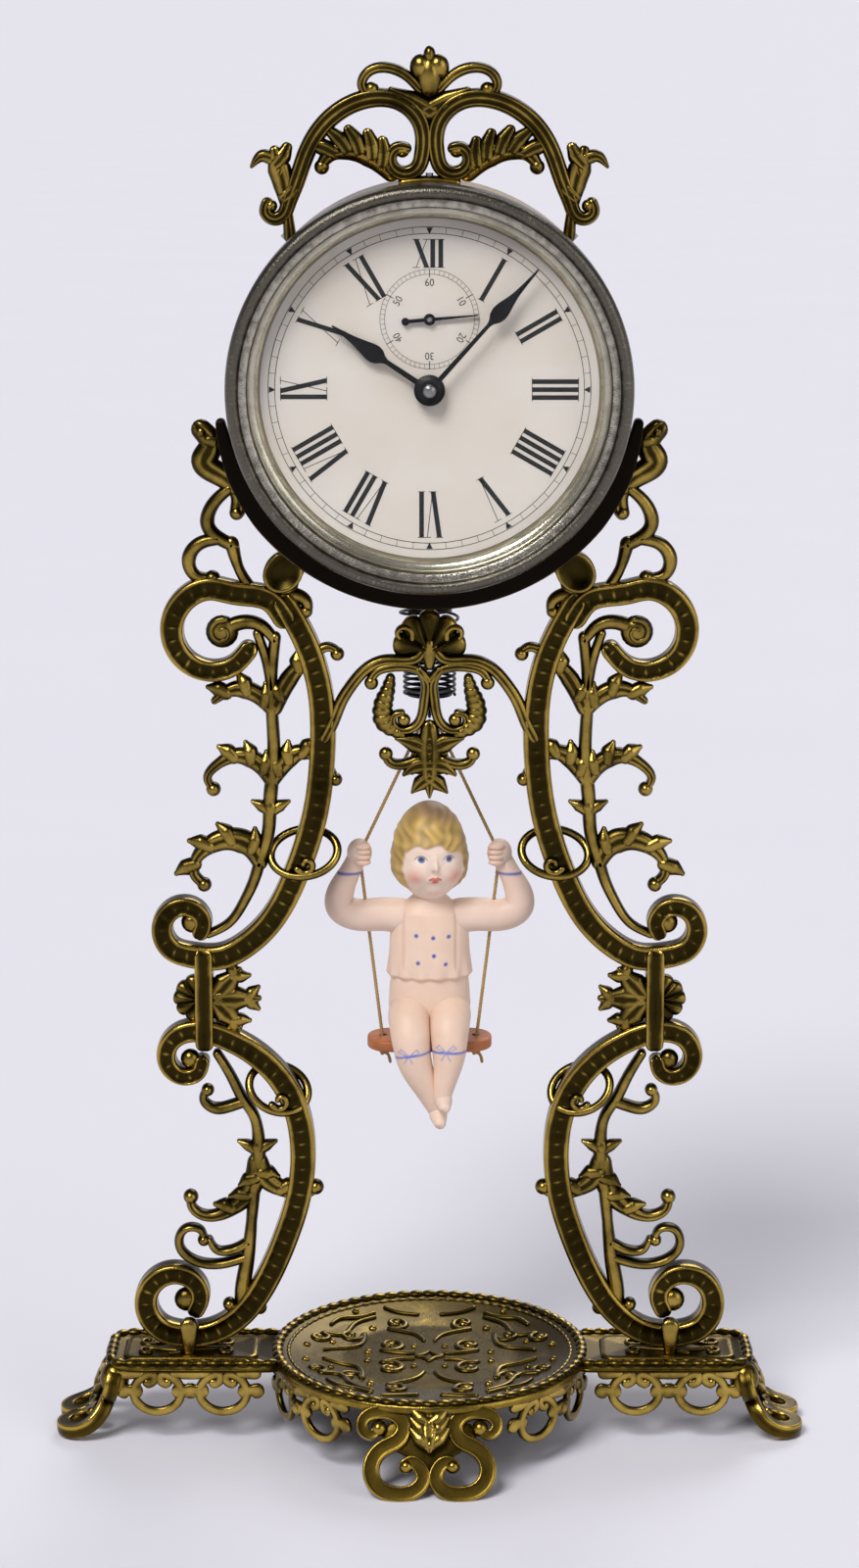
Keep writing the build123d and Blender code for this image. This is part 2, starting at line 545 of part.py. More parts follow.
with BuildPart() as collar:
    with BuildSketch(dial_plane(COLLAR_BACK)):
        with BuildLine():
            start, sweep_angle = 180 + COLLAR_END_ANGLE, 180 - 2 * COLLAR_END_ANGLE
            rim = CenterArc((0, 0), COLLAR_OUTER, start, sweep_angle)
            bed = CenterArc((0, 0), COLLAR_INNER, start, sweep_angle)
            Line(rim @ 0, bed @ 0)
            Line(rim @ 1, bed @ 1)
        make_face()
        with PolarLocations(COLLAR_MID + 0.3, 2, -COLLAR_END_ANGLE, -sweep_angle, endpoint=True):
            Circle(COLLAR_BAND / 2 - 0.3)
    extrude(amount=COLLAR_THICK)
    with BuildSketch(front(COLLAR_BACK)):
        with Locations(*COLLAR_HOLES):
            Circle(SCREW_RADIUS + RUN_CLEAR)
    extrude(amount=COLLAR_THICK * 0.8, mode=Mode.SUBTRACT)
save(collar, "collar")

# Apron: the pierced ornament between the legs, its palmette screwed to the back of the collar

APRON_PALMETTE = [(0.0, 229.6), (5.6, 229.2), (9.2, 226.2), (9.8, 223.4), (8.0, 220.8), (4.6, 219.4), (0.0, 217.6)]
APRON_PENDANT = [(0.0, 198.0), (4.2, 196.4), (5.6, 193.0), (4.6, 188.6), (2.6, 183.0), (0.0, 177.4)]
APRON_BANDS = {
    "arm": ([(1.2, 219.0), (3.4, 216.2), (8.0, 215.6), (12.5, 215.4), (16.8, 213.2), (20.4, 209.2), (23.4, 204.4),
             (25.6, 199.0), (27.6, 195.0)], (2.4, 2.6, 2.8)),
    "inner_c": ([(0.4, 210.2), (2.6, 212.8), (6.5, 214.0), (10.6, 213.8), (14.2, 212.4), (15.6, 210.2)],
                (2.0, 2.4, 2.0)),
    "volute": ([(2.6, 213.0), (1.0, 209.4), (1.2, 205.4), (1.8, 201.4), (3.6, 198.0), (7.0, 196.8), (9.6, 198.4),
                (9.4, 200.8), (7.4, 201.4)], (2.0, 2.4, 2.0, 1.6)),
    "cornucopia": ([(7.6, 195.8), (11.4, 198.4), (12.4, 203.0), (11.2, 207.2), (10.4, 210.6)], (1.8, 3.8, 2.8, 1.8)),
    "pendant_side": ([(0.0, 191.4), (4.4, 193.4), (8.8, 194.6)], (2.8, 3.0, 0.9)),
    "pendant_low": ([(0.0, 187.4), (3.8, 187.0), (6.8, 184.8)], (2.8, 2.6, 0.8)),
    "pendant_arm": ([(3.6, 188.6), (8.0, 187.4), (10.8, 188.4), (11.6, 190.0)], (2.4, 2.4, 2.0)),
}
APRON_BUDS = [(15.4, 209.6, 1.9), (6.8, 199.6, 1.8), (11.6, 190.4, 1.9)]
DRAWN_COLLAR_FOOT = 230.0
APRON_SHIFT = CENTRE_Z - COLLAR_OUTER - DRAWN_COLLAR_FOOT


def on_apron(points):
    """Apron points are drawn for a collar whose foot is at the drawn height."""
    return [(x, height + APRON_SHIFT) for x, height in points]


with BuildPart() as apron:
    with BuildSketch(front(COLLAR_BACK + APRON_THICK)):
        bands([(on_apron(points), widths) for points, widths in APRON_BANDS.values()], APRON_FULLNESS)
        for x, height, radius in APRON_BUDS:
            ball(x, height + APRON_SHIFT, radius)
        mirror(about=Plane.YZ)
        leaf(on_apron(APRON_PALMETTE))
        leaf(on_apron(APRON_PENDANT))
        band([(0, APRON_SCREW_Z), (0, APRON_SCREW_Z - 4), (0, APRON_SCREW_Z - 8)], (6.0, 6.0, 8.0))
        with Locations((0, APRON_SCREW_Z)):
            Circle(SCREW_RADIUS + RUN_CLEAR, mode=Mode.SUBTRACT)
    extrude(amount=APRON_THICK)
    add(right_leg.part, mode=Mode.SUBTRACT)
    add(left_leg.part, mode=Mode.SUBTRACT)
save(apron, "apron")

with BuildPart() as collar_screws:
    with BuildSketch(front(COLLAR_BACK + VINE_THICK)):
        with Locations(*COLLAR_HOLES[:2]):
            Circle(SCREW_HEAD_RADIUS)
    extrude(amount=-SCREW_HEAD)
    with BuildSketch(front(COLLAR_BACK + APRON_THICK)):
        with Locations(COLLAR_HOLES[2]):
            Circle(SCREW_HEAD_RADIUS)
    extrude(amount=-SCREW_HEAD)
    with BuildSketch(front(COLLAR_BACK + VINE_THICK)):
        with Locations(*COLLAR_HOLES[:2]):
            Circle(SCREW_RADIUS)
    extrude(amount=VINE_THICK + COLLAR_THICK * 0.7)
    with BuildSketch(front(COLLAR_BACK + APRON_THICK)):
        with Locations(COLLAR_HOLES[2]):
            Circle(SCREW_RADIUS)
    extrude(amount=APRON_THICK + COLLAR_THICK * 0.7)
save(collar_screws, "collar_screws")

# Crest: openwork scrolls and a bud over the drum

DRAWN_DRUM_TOP = 339.9
CREST_SHIFT = CENTRE_Z + DRUM_RADIUS - DRAWN_DRUM_TOP
CREST_ARCH = (spiral((6.8, 346.6), (2.4, 4.9), (105, -185), 8)
              + [(2.6, 356.0), (8.0, 360.9), (15.0, 361.6), (22.4, 358.9), (28.0, 354.0), (31.8, 347.6), (34.4, 340.4),
                 (36.6, 334.6)] + spiral((40.2, 333.6), (2.9, 2.2), (215, 395), 4))
CREST_BANDS = {
    "arch": (CREST_ARCH, (2.6, 4.2, 5.0, 5.2, 5.0, 4.4, 2.6)),
    "acanthus": ([(10.0, 342.6), (14.5, 346.6), (20.2, 348.6), (25.4, 347.6), (28.0, 344.6)], (4.0, 6.6, 5.6, 2.6)),
    "outer_leaf": ([(37.0, 334.8), (38.0, 341.0), (39.6, 346.4), (40.0, 349.8)], (3.6, 5.0, 4.4, 1.8)),
    "leaf_tip": ([(39.6, 346.4), (43.2, 347.2), (46.0, 344.5)], (2.6, 2.4, 1.2)),
    "inner_tip": ([(38.6, 343.0), (37.4, 346.2), (36.2, 348.4)], (2.2, 1.8, 1.0)),
    "bud_arm": ([(2.6, 364.0), (6.6, 367.8), (11.8, 369.4), (16.0, 368.0), (17.4, 365.0), (16.0, 362.4)],
                (2.6, 3.0, 2.8, 2.4)),
    "bud_collar": ([(0.0, 358.4), (5.2, 361.2), (9.8, 363.6)], (5.0, 4.4, 2.4)),
    "foot": ([(37.2, 336.0), (36.6, 331.0), (CREST_FOOT_X, 322.0)], (2.6, 2.8, 3.4)),
}
CREST_LOBES = (4, 1, 5.6)
CREST_BUDS = [(27.8, 344.2, 2.0), (14.9, 363.8, 2.0), (7.0, 348.4, 1.9), (41.0, 334.2, 1.7)]
CREST_BUD = [(0.0, 375.0), (1.6, 373.4), (4.4, 372.4), (5.2, 369.0), (3.6, 364.6), (0.0, 361.0)]
CREST_PAD_WIDTH = 15.0
CREST_SCREW = 1.0


def on_crest(points):
    """Crest points are drawn for a drum whose top is at the drawn height."""
    return [(x, height + CREST_SHIFT) for x, height in points]


def radial_plane(angle, radius):
    """A plane square to a radius of the drum, at the crest's depth: the screws of the crest stand on it."""
    out = Vector(sin(radians(angle)), 0, cos(radians(angle)))
    return Plane(origin=out * radius + Vector(0, CREST_Y, CENTRE_Z), x_dir=(0, 1, 0), z_dir=out)


CREST_SCREW_ANGLE = degrees(asin(CREST_FOOT_X / DRUM_RADIUS))
CREST_SCREW_ANGLES = (-CREST_SCREW_ANGLE, 0, CREST_SCREW_ANGLE)

with BuildPart() as crest:
    with BuildSketch(front(CREST_Y + CREST_THICK / 2)):
        bands([(on_crest(points), widths) for points, widths in CREST_BANDS.values()])
        bands(lobes(on_crest(CREST_BANDS["acanthus"][0]), *CREST_LOBES))
        for x, height, radius in CREST_BUDS:
            ball(x, height + CREST_SHIFT, radius)
        mirror(about=Plane.YZ)
        leaf(on_crest(CREST_BUD))
        with Locations((0, CENTRE_Z + DRUM_RADIUS)):
            Rectangle(CREST_PAD_WIDTH, 3.2)
    extrude(amount=CREST_THICK)
    with BuildSketch(dial_plane(CREST_Y)):
        Circle(DRUM_RADIUS)
    extrude(amount=CREST_THICK, both=True, mode=Mode.SUBTRACT)
    with BuildSketch(*[radial_plane(angle, DRUM_INNER) for angle in CREST_SCREW_ANGLES]):
        Circle(CREST_SCREW + RUN_CLEAR)
    extrude(amount=4.4, mode=Mode.SUBTRACT)
save(crest, "crest")

with BuildPart() as crest_screws:
    with BuildSketch(*[radial_plane(angle, DRUM_INNER - RUN_CLEAR) for angle in CREST_SCREW_ANGLES]):
        Circle(SCREW_HEAD_RADIUS)
    extrude(amount=-SCREW_HEAD)
    with BuildSketch(*[radial_plane(angle, DRUM_INNER - RUN_CLEAR) for angle in CREST_SCREW_ANGLES]):
        Circle(CREST_SCREW)
    extrude(amount=4.0)
save(crest_screws, "crest_screws")

# Drum case

SLOT_WIDTH = 6.0
SLOT_LENGTH = 8.0
COVER_SEAT = 0.3
KEY_HOLE = 4.0
KNOB_HOLE = 2.4
DIAL_AXIS = Axis((0, 0, CENTRE_Z), (0, 1, 0))


def ring_face(points):
    """Adds to the sketch being built a closed outline of (radius, depth) points about the dial's axis."""
    with BuildLine() as edge:
        Polyline(*points, close=True)
    make_face(edge.edges())


# In this plane the first axis is the radius and the second is the depth Y
RADIUS_PLANE = Plane(origin=(0, 0, CENTRE_Z), x_dir=(1, 0, 0), z_dir=(0, 0, 1))

with BuildPart() as case_drum:
    with BuildSketch(RADIUS_PLANE):
        ring_face([(DRUM_INNER, DRUM_FRONT), (DRUM_RADIUS, DRUM_FRONT), (DRUM_RADIUS, DRUM_BACK),
                   (DRUM_INNER - 1.4, DRUM_BACK), (DRUM_INNER - 1.4, DRUM_BACK - DRUM_WALL),
                   (DRUM_INNER, DRUM_BACK - DRUM_WALL)])
    revolve(axis=DIAL_AXIS)
    with BuildSketch(Plane.XY.offset(CENTRE_Z - DRUM_RADIUS - 1)):
        with Locations((0, SWING_Y)):
            Rectangle(SLOT_WIDTH, SLOT_LENGTH)
    extrude(amount=DRUM_WALL + 4, mode=Mode.SUBTRACT)
    with BuildSketch(*[radial_plane(angle, DRUM_INNER - 2) for angle in CREST_SCREW_ANGLES]):
        Circle(CREST_SCREW + RUN_CLEAR)
    extrude(amount=DRUM_WALL + 4, mode=Mode.SUBTRACT)
save(case_drum, "case_drum")

with BuildPart() as back_cover:
    with BuildSketch(dial_plane(DRUM_BACK - DRUM_WALL)):
        Circle(DRUM_INNER - COVER_SEAT)
        Circle(KNOB_HOLE, mode=Mode.SUBTRACT)
        with Locations((GREAT_X, GREAT_RISE)):
            Circle(KEY_HOLE, mode=Mode.SUBTRACT)
    extrude(amount=COVER_THICK)
save(back_cover, "back_cover")

LIP_DEPTH = 0.9
BEZEL_ROLL = 2.1
BEZEL_COVE = 1.5
with BuildPart() as bezel:
    with BuildSketch(RADIUS_PLANE):
        with BuildLine():
            skirt = Line((DRUM_RADIUS + SHIFT_CLEAR / 2, BEZEL_BACK), (BEZEL_RADIUS, BEZEL_BACK))
            Line(skirt @ 1, (BEZEL_RADIUS, BEZEL_FRONT + BEZEL_ROLL))
            roll = CenterArc((BEZEL_RADIUS - BEZEL_ROLL, BEZEL_FRONT + BEZEL_ROLL), BEZEL_ROLL, 0, -150)
            cove = ThreePointArc(roll @ 1, (SIGHT_RADIUS + BEZEL_COVE, BEZEL_FRONT + BEZEL_COVE),
                                 (SIGHT_RADIUS, GLASS_BACK - GLASS_THICK - LIP_DEPTH))
            lip = Line(cove @ 1, (SIGHT_RADIUS, GLASS_BACK - GLASS_THICK))
            seat = Line(lip @ 1, (DRUM_INNER - 1.0, GLASS_BACK - GLASS_THICK))
            rebate = Line(seat @ 1, (DRUM_INNER - 1.0, DRUM_FRONT - SHIFT_CLEAR))
            shoulder = Line(rebate @ 1, (DRUM_RADIUS + SHIFT_CLEAR / 2, DRUM_FRONT - SHIFT_CLEAR))
            Line(shoulder @ 1, skirt @ 0)
        make_face()
    revolve(axis=DIAL_AXIS)
save(bezel, "bezel")

with BuildPart() as glass:
    with BuildSketch(dial_plane(GLASS_BACK)):
        Circle(DRUM_INNER - 1.0 - SHIFT_CLEAR / 2)
    extrude(amount=GLASS_THICK)
save(glass, "glass")

RING_SHEET = 0.8
with BuildPart() as sight_ring:
    with BuildSketch(RADIUS_PLANE):
        outside = DRUM_INNER - 1.0 - SHIFT_CLEAR
        ring_face([(outside, GLASS_BACK), (outside - RING_SHEET, GLASS_BACK), (DIAL_SIGHT, DIAL_FACE - RING_SHEET),
                   (DIAL_SIGHT, DIAL_FACE), (DIAL_SIGHT + RING_SHEET, DIAL_FACE), (outside, GLASS_BACK + RING_SHEET)])
    revolve(axis=DIAL_AXIS)
save(sight_ring, "sight_ring")

DIAL_CENTRE_HOLE = 2.9
SECONDS_HOLE = 1.2
POST_CIRCLE = 36.0
POST_RADIUS = 1.4
with BuildPart() as dial:
    with BuildSketch(dial_plane(DIAL_FACE + DIAL_THICK)):
        Circle(DRUM_INNER - SHIFT_CLEAR)
        Circle(DIAL_CENTRE_HOLE, mode=Mode.SUBTRACT)
        with Locations((0, SECONDS_RISE)):
            Circle(SECONDS_HOLE, mode=Mode.SUBTRACT)
    extrude(amount=DIAL_THICK)
save(dial, "dial")

with BuildPart() as dial_posts:
    with BuildSketch(dial_plane(FRONT_PLATE_Y)):
        with PolarLocations(POST_CIRCLE, 3, 60):
            Circle(POST_RADIUS)
    extrude(amount=FRONT_PLATE_Y - DIAL_FACE - DIAL_THICK)
save(dial_posts, "dial_posts")

# Movement plates and pillars

WINDING_RADIUS = 2.4
WINDING_PIVOT = 1.2
PILLAR_ANGLES = (25, 100, 165, 262)
PIVOTS = [(0, 0, ARBOR_RADIUS), (THIRD_X, THIRD_RISE, FINE_ARBOR), (0, SECONDS_RISE, FINE_ARBOR),
          (LEVER_X, -LEVER_DROP, FINE_ARBOR)]

with BuildPart() as front_plate:
    with BuildSketch(dial_plane(FRONT_INSIDE)):
        Circle(DRUM_INNER - SHIFT_CLEAR)
        for x, rise, radius in PIVOTS + [(GREAT_X, GREAT_RISE, WINDING_PIVOT)]:
            with Locations((x, rise)):
                Circle(radius + RUN_CLEAR, mode=Mode.SUBTRACT)
    extrude(amount=PLATE_METAL)
save(front_plate, "front_plate")

with BuildPart() as back_plate:
    with BuildSketch(dial_plane(BACK_PLATE_Y + PLATE_METAL)):
        Circle(BACK_PLATE_RADIUS)
        for x, rise, radius in PIVOTS + [(GREAT_X, GREAT_RISE, WINDING_RADIUS)]:
            with Locations((x, rise)):
                Circle(radius + RUN_CLEAR, mode=Mode.SUBTRACT)
    extrude(amount=PLATE_METAL)
save(back_plate, "back_plate")

with BuildPart() as pillars:
    with BuildSketch(dial_plane(BACK_PLATE_Y)):
        for angle in PILLAR_ANGLES:
            with PolarLocations(PILLAR_CIRCLE, 1, angle):
                Circle(PILLAR_RADIUS)
    extrude(amount=BACK_PLATE_Y - FRONT_INSIDE)
save(pillars, "pillars")

# Going train. Every wheel has flat-sided teeth, thinner than the spaces they run in

TOOTH_ROOT = 0.26
TOOTH_TIP = 0.10
ADDENDUM = 0.85
DEDENDUM = 1.25
COLLET = 0.02


def tooth_points(teeth, module, phase):
    """The outline of a wheel with a tooth at the phase angle, in degrees."""
    pitch = 360 / teeth
    root = module * (teeth / 2 - DEDENDUM)
    tip = module * (teeth / 2 + ADDENDUM)
    points = []
    for count in range(teeth):
        for radius, share in ((root, -TOOTH_ROOT), (tip, -TOOTH_TIP), (tip, TOOTH_TIP), (root, TOOTH_ROOT)):
            angle = radians(phase + (count + share) * pitch)
            points.append((radius * cos(angle), radius * sin(angle)))
    return points


def mating_phase(teeth, phase, other_teeth, line):
    """The phase that sets another wheel's space against a tooth, for a wheel that lies at the line's angle."""
    share = ((line - phase) * teeth / 360) % 1
    return line + 180 - (0.5 - share) * 360 / other_teeth


def toothed(teeth, module, phase, bore):
    """Adds a toothed wheel with a square bore to the sketch being built."""
    ring_face(tooth_points(teeth, module, phase))
    Rectangle(2 * bore, 2 * bore, mode=Mode.SUBTRACT)


def crossings(inner, outer):
    """Cuts four openings with straight sides out of the wheel being drawn, and leaves the spokes."""
    reach, near, gap = outer / sqrt(2), inner / sqrt(2), 1.0
    for quarter in range(4):
        corners = [(near + gap, gap), (reach * 1.2, gap), (reach, reach), (gap, reach * 1.2), (gap, near + gap)]
        turned = [Vector(*corner).rotate(Axis.Z, 90 * quarter) for corner in corners]
        with BuildLine() as edge:
            Polyline(*turned, close=True)
        make_face(edge.edges(), mode=Mode.SUBTRACT)


THIRD_LINE = degrees(atan2(THIRD_RISE, THIRD_X))
ESCAPE_LINE = degrees(atan2(SECONDS_RISE - THIRD_RISE, -THIRD_X))
CENTRE_PHASE = 0.0
THIRD_LEAF_PHASE = mating_phase(CENTRE_TEETH, CENTRE_PHASE, THIRD_LEAVES, THIRD_LINE)
THIRD_PHASE = 0.0
ESCAPE_LEAF_PHASE = mating_phase(THIRD_TEETH, THIRD_PHASE, ESCAPE_LEAVES, ESCAPE_LINE)
CENTRE_LEAF_PHASE = 0.0
GREAT_PHASE = mating_phase(CENTRE_LEAVES, CENTRE_LEAF_PHASE, GREAT_TEETH, GREAT_ANGLE)
CANNON_PHASE = 0.0
MINUTE_PHASE = mating_phase(CANNON_TEETH, CANNON_PHASE, MINUTE_TEETH, MOTION_ANGLE)
MINUTE_LEAF_PHASE = 0.0
HOUR_PHASE = mating_phase(MINUTE_LEAVES, MINUTE_LEAF_PHASE, HOUR_TEETH, MOTION_ANGLE + 180)

CENTRE_WHEEL_Y = -3.2
THIRD_WHEEL_Y = 0.8
GREAT_WHEEL_Y = 5.4
GREAT_THICK = 1.8
PINION_THICK = 2.6
ESCAPE_Y = SWING_Y + WHEEL_THICK / 2
HOUR_WHEEL_Y = FRONT_PLATE_Y - 2.8
CANNON_Y = FRONT_PLATE_Y - 0.6
CANNON_WALL = 0.55
HOUR_PIPE_WALL = 0.6
HUB_RADIUS = 3.9
KNOB_RADIUS = 5.0
KNOB_HEIGHT = 6.0
BACK_STAND = 2.0
NUT_RADIUS = 1.9

with BuildPart() as centre_arbor:
    with BuildSketch(dial_plane(DRUM_BACK + BACK_STAND + KNOB_HEIGHT)):
        Circle(ARBOR_RADIUS)
    extrude(amount=DRUM_BACK + BACK_STAND + KNOB_HEIGHT - MINUTE_HAND_Y + 1.2)
save(centre_arbor, "centre_arbor")

with BuildPart() as centre_wheel:
    with BuildSketch(dial_plane(CENTRE_WHEEL_Y)):
        toothed(CENTRE_TEETH, CENTRE_MODULE, CENTRE_PHASE, ARBOR_RADIUS + COLLET)
        crossings(3.0, 10.4)
    extrude(amount=WHEEL_THICK)
save(centre_wheel, "centre_wheel")

with BuildPart() as centre_pinion:
    with BuildSketch(dial_plane(GREAT_WHEEL_Y + 0.4)):
        toothed(CENTRE_LEAVES, GREAT_MODULE, CENTRE_LEAF_PHASE, ARBOR_RADIUS + COLLET)
    extrude(amount=PINION_THICK)
save(centre_pinion, "centre_pinion")

with BuildPart() as cannon_pinion:
    with BuildSketch(dial_plane(CANNON_Y)):
        ring_face(tooth_points(CANNON_TEETH, CANNON_MODULE, CANNON_PHASE))
        Circle(ARBOR_RADIUS + COLLET, mode=Mode.SUBTRACT)
    extrude(amount=WHEEL_THICK)
    with BuildSketch(dial_plane(CANNON_Y)):
        Circle(ARBOR_RADIUS + CANNON_WALL)
        Circle(ARBOR_RADIUS + COLLET, mode=Mode.SUBTRACT)
    extrude(amount=CANNON_Y - MINUTE_HAND_Y - HAND_THICK)
save(cannon_pinion, "cannon_pinion")


def hand_outline(length, tail, widths):
    """Adds a spade hand that points along +Y to the sketch being built: neck, swelling and long point."""
    stations = len(widths) - 1
    band([(0, -tail + (length + tail) * step / stations) for step in range(stations + 1)], widths)


def hand_plane(y, angle, rise=0.0):
    """A hand's plane: its second axis points along the hand, turned clockwise from twelve."""
    along = Vector(cos(radians(angle)), 0, -sin(radians(angle)))
    return Plane(origin=(0, y, CENTRE_Z + rise), x_dir=along, z_dir=(0, -1, 0))


with BuildPart() as minute_hand:
    with BuildSketch(hand_plane(MINUTE_HAND_Y + HAND_THICK, MINUTE_ANGLE)):
        hand_outline(MINUTE_LENGTH, HUB_RADIUS / 2, MINUTE_WIDTHS)
        Circle(HUB_RADIUS - 0.4)
        Circle(ARBOR_RADIUS + COLLET, mode=Mode.SUBTRACT)
    extrude(amount=HAND_THICK)
save(minute_hand, "minute_hand")

with BuildPart() as hand_nut:
    with BuildSketch(dial_plane(MINUTE_HAND_Y)):
        RegularPolygon(NUT_RADIUS, 6)
        Circle(ARBOR_RADIUS + COLLET, mode=Mode.SUBTRACT)
    extrude(amount=1.0)
save(hand_nut, "hand_nut")

with BuildPart() as set_knob:
    with BuildSketch(dial_plane(DRUM_BACK + BACK_STAND + KNOB_HEIGHT)):
        Circle(KNOB_RADIUS)
        with PolarLocations(KNOB_RADIUS, 24):
            Circle(0.4, mode=Mode.SUBTRACT)
        Circle(ARBOR_RADIUS + COLLET, mode=Mode.SUBTRACT)
    extrude(amount=KNOB_HEIGHT)
save(set_knob, "set_knob")

HOUR_BORE = ARBOR_RADIUS + CANNON_WALL + RUN_CLEAR
HOUR_PIPE = HOUR_BORE + HOUR_PIPE_WALL
with BuildPart() as hour_wheel:
    with BuildSketch(dial_plane(HOUR_WHEEL_Y)):
        ring_face(tooth_points(HOUR_TEETH, MOTION_MODULE, HOUR_PHASE))
        Circle(HOUR_BORE, mode=Mode.SUBTRACT)
    extrude(amount=WHEEL_THICK)
    with BuildSketch(dial_plane(HOUR_WHEEL_Y)):
        Circle(HOUR_PIPE)
        Circle(HOUR_BORE, mode=Mode.SUBTRACT)
    extrude(amount=HOUR_WHEEL_Y - HOUR_HAND_Y)
save(hour_wheel, "hour_wheel")

with BuildPart() as hour_hand:
    with BuildSketch(hand_plane(HOUR_HAND_Y + HAND_THICK, HOUR_ANGLE)):
        hand_outline(HOUR_LENGTH, HUB_RADIUS / 2, HOUR_WIDTHS)
        Circle(HUB_RADIUS)
        Circle(HOUR_PIPE + COLLET, mode=Mode.SUBTRACT)
    extrude(amount=HAND_THICK)
save(hour_hand, "hour_hand")

STUD_RADIUS = 0.9
with BuildPart() as motion_stud:
    with BuildSketch(dial_plane(FRONT_PLATE_Y, MOTION_X, MOTION_RISE)):
        Circle(STUD_RADIUS)
    extrude(amount=FRONT_PLATE_Y - HOUR_WHEEL_Y + WHEEL_THICK + 0.3)
save(motion_stud, "motion_stud")

with BuildPart() as minute_wheel:
    with BuildSketch(dial_plane(CANNON_Y, MOTION_X, MOTION_RISE)):
        ring_face(tooth_points(MINUTE_TEETH, CANNON_MODULE, MINUTE_PHASE))
        Circle(STUD_RADIUS + RUN_CLEAR, mode=Mode.SUBTRACT)
    extrude(amount=WHEEL_THICK)
save(minute_wheel, "minute_wheel")

with BuildPart() as minute_pinion:
    with BuildSketch(dial_plane(CANNON_Y - WHEEL_THICK, MOTION_X, MOTION_RISE)):
        ring_face(tooth_points(MINUTE_LEAVES, MOTION_MODULE, MINUTE_LEAF_PHASE))
        Circle(STUD_RADIUS + RUN_CLEAR, mode=Mode.SUBTRACT)
    extrude(amount=CANNON_Y - HOUR_WHEEL_Y)
save(minute_pinion, "minute_pinion")

PIVOT_END = 0.3
with BuildPart() as third_arbor:
    with BuildSketch(dial_plane(BACK_PLATE_Y + PLATE_METAL - PIVOT_END, THIRD_X, THIRD_RISE)):
        Circle(FINE_ARBOR)
    extrude(amount=BACK_PLATE_Y + PLATE_METAL - FRONT_PLATE_Y - 2 * PIVOT_END)
save(third_arbor, "third_arbor")

with BuildPart() as third_pinion:
    with BuildSketch(dial_plane(CENTRE_WHEEL_Y + 0.5, THIRD_X, THIRD_RISE)):
        toothed(THIRD_LEAVES, CENTRE_MODULE, THIRD_LEAF_PHASE, FINE_ARBOR + COLLET)
    extrude(amount=PINION_THICK)
save(third_pinion, "third_pinion")

with BuildPart() as third_wheel:
    with BuildSketch(dial_plane(THIRD_WHEEL_Y, THIRD_X, THIRD_RISE)):
        toothed(THIRD_TEETH, THIRD_MODULE, THIRD_PHASE, FINE_ARBOR + COLLET)
        crossings(2.4, 8.2)
    extrude(amount=WHEEL_THICK)
save(third_wheel, "third_wheel")

with BuildPart() as escape_arbor:
    with BuildSketch(dial_plane(BACK_PLATE_Y + PLATE_METAL - PIVOT_END, 0, SECONDS_RISE)):
        Circle(FINE_ARBOR)
    extrude(amount=BACK_PLATE_Y + PLATE_METAL - PIVOT_END - SECOND_HAND_Y)
save(escape_arbor, "escape_arbor")

with BuildPart() as escape_pinion:
    with BuildSketch(dial_plane(THIRD_WHEEL_Y + 0.5, 0, SECONDS_RISE)):
        toothed(ESCAPE_LEAVES, THIRD_MODULE, ESCAPE_LEAF_PHASE, FINE_ARBOR + COLLET)
    extrude(amount=PINION_THICK)
save(escape_pinion, "escape_pinion")

ESCAPE_TOOTH = 1.8
with BuildPart() as escape_wheel:
    with BuildSketch(dial_plane(ESCAPE_Y, 0, SECONDS_RISE)):
        tips = []
        for count in range(ESCAPE_TEETH):
            for radius, share in ((ESCAPE_RADIUS - ESCAPE_TOOTH, 0.1), (ESCAPE_RADIUS, 0.3), (ESCAPE_RADIUS, 0.38),
                                  (ESCAPE_RADIUS - ESCAPE_TOOTH, 0.75)):
                angle = radians((count + share) * 360 / ESCAPE_TEETH)
                tips.append((radius * cos(angle), radius * sin(angle)))
        ring_face(tips)
        Rectangle(2 * FINE_ARBOR + 2 * COLLET, 2 * FINE_ARBOR + 2 * COLLET, mode=Mode.SUBTRACT)
        crossings(2.2, 5.4)
    extrude(amount=WHEEL_THICK)
save(escape_wheel, "escape_wheel")

with BuildPart() as seconds_hand:
    with BuildSketch(hand_plane(SECOND_HAND_Y + HAND_THICK, SECOND_ANGLE, SECONDS_RISE)):
        with BuildLine() as needle:
            Polyline((0.45, -6.2), (0.45, 0), (0.12, SECOND_LENGTH), (-0.12, SECOND_LENGTH), (-0.45, 0),
                     (-0.45, -6.2), close=True)
        make_face()
        Circle(1.5)
        with Locations((0, -6.2)):
            Circle(1.0)
        Circle(FINE_ARBOR + COLLET, mode=Mode.SUBTRACT)
    extrude(amount=HAND_THICK)
save(seconds_hand, "seconds_hand")

# Mainspring, its great wheel, and the winding arbor with ratchet and key

with BuildPart() as great_wheel:
    with BuildSketch(dial_plane(GREAT_WHEEL_Y, GREAT_X, GREAT_RISE)):
        ring_face(tooth_points(GREAT_TEETH, GREAT_MODULE, GREAT_PHASE))
        Circle(WINDING_RADIUS + RUN_CLEAR, mode=Mode.SUBTRACT)
        crossings(8.0, 14.5)
    extrude(amount=GREAT_THICK)
save(great_wheel, "great_wheel")

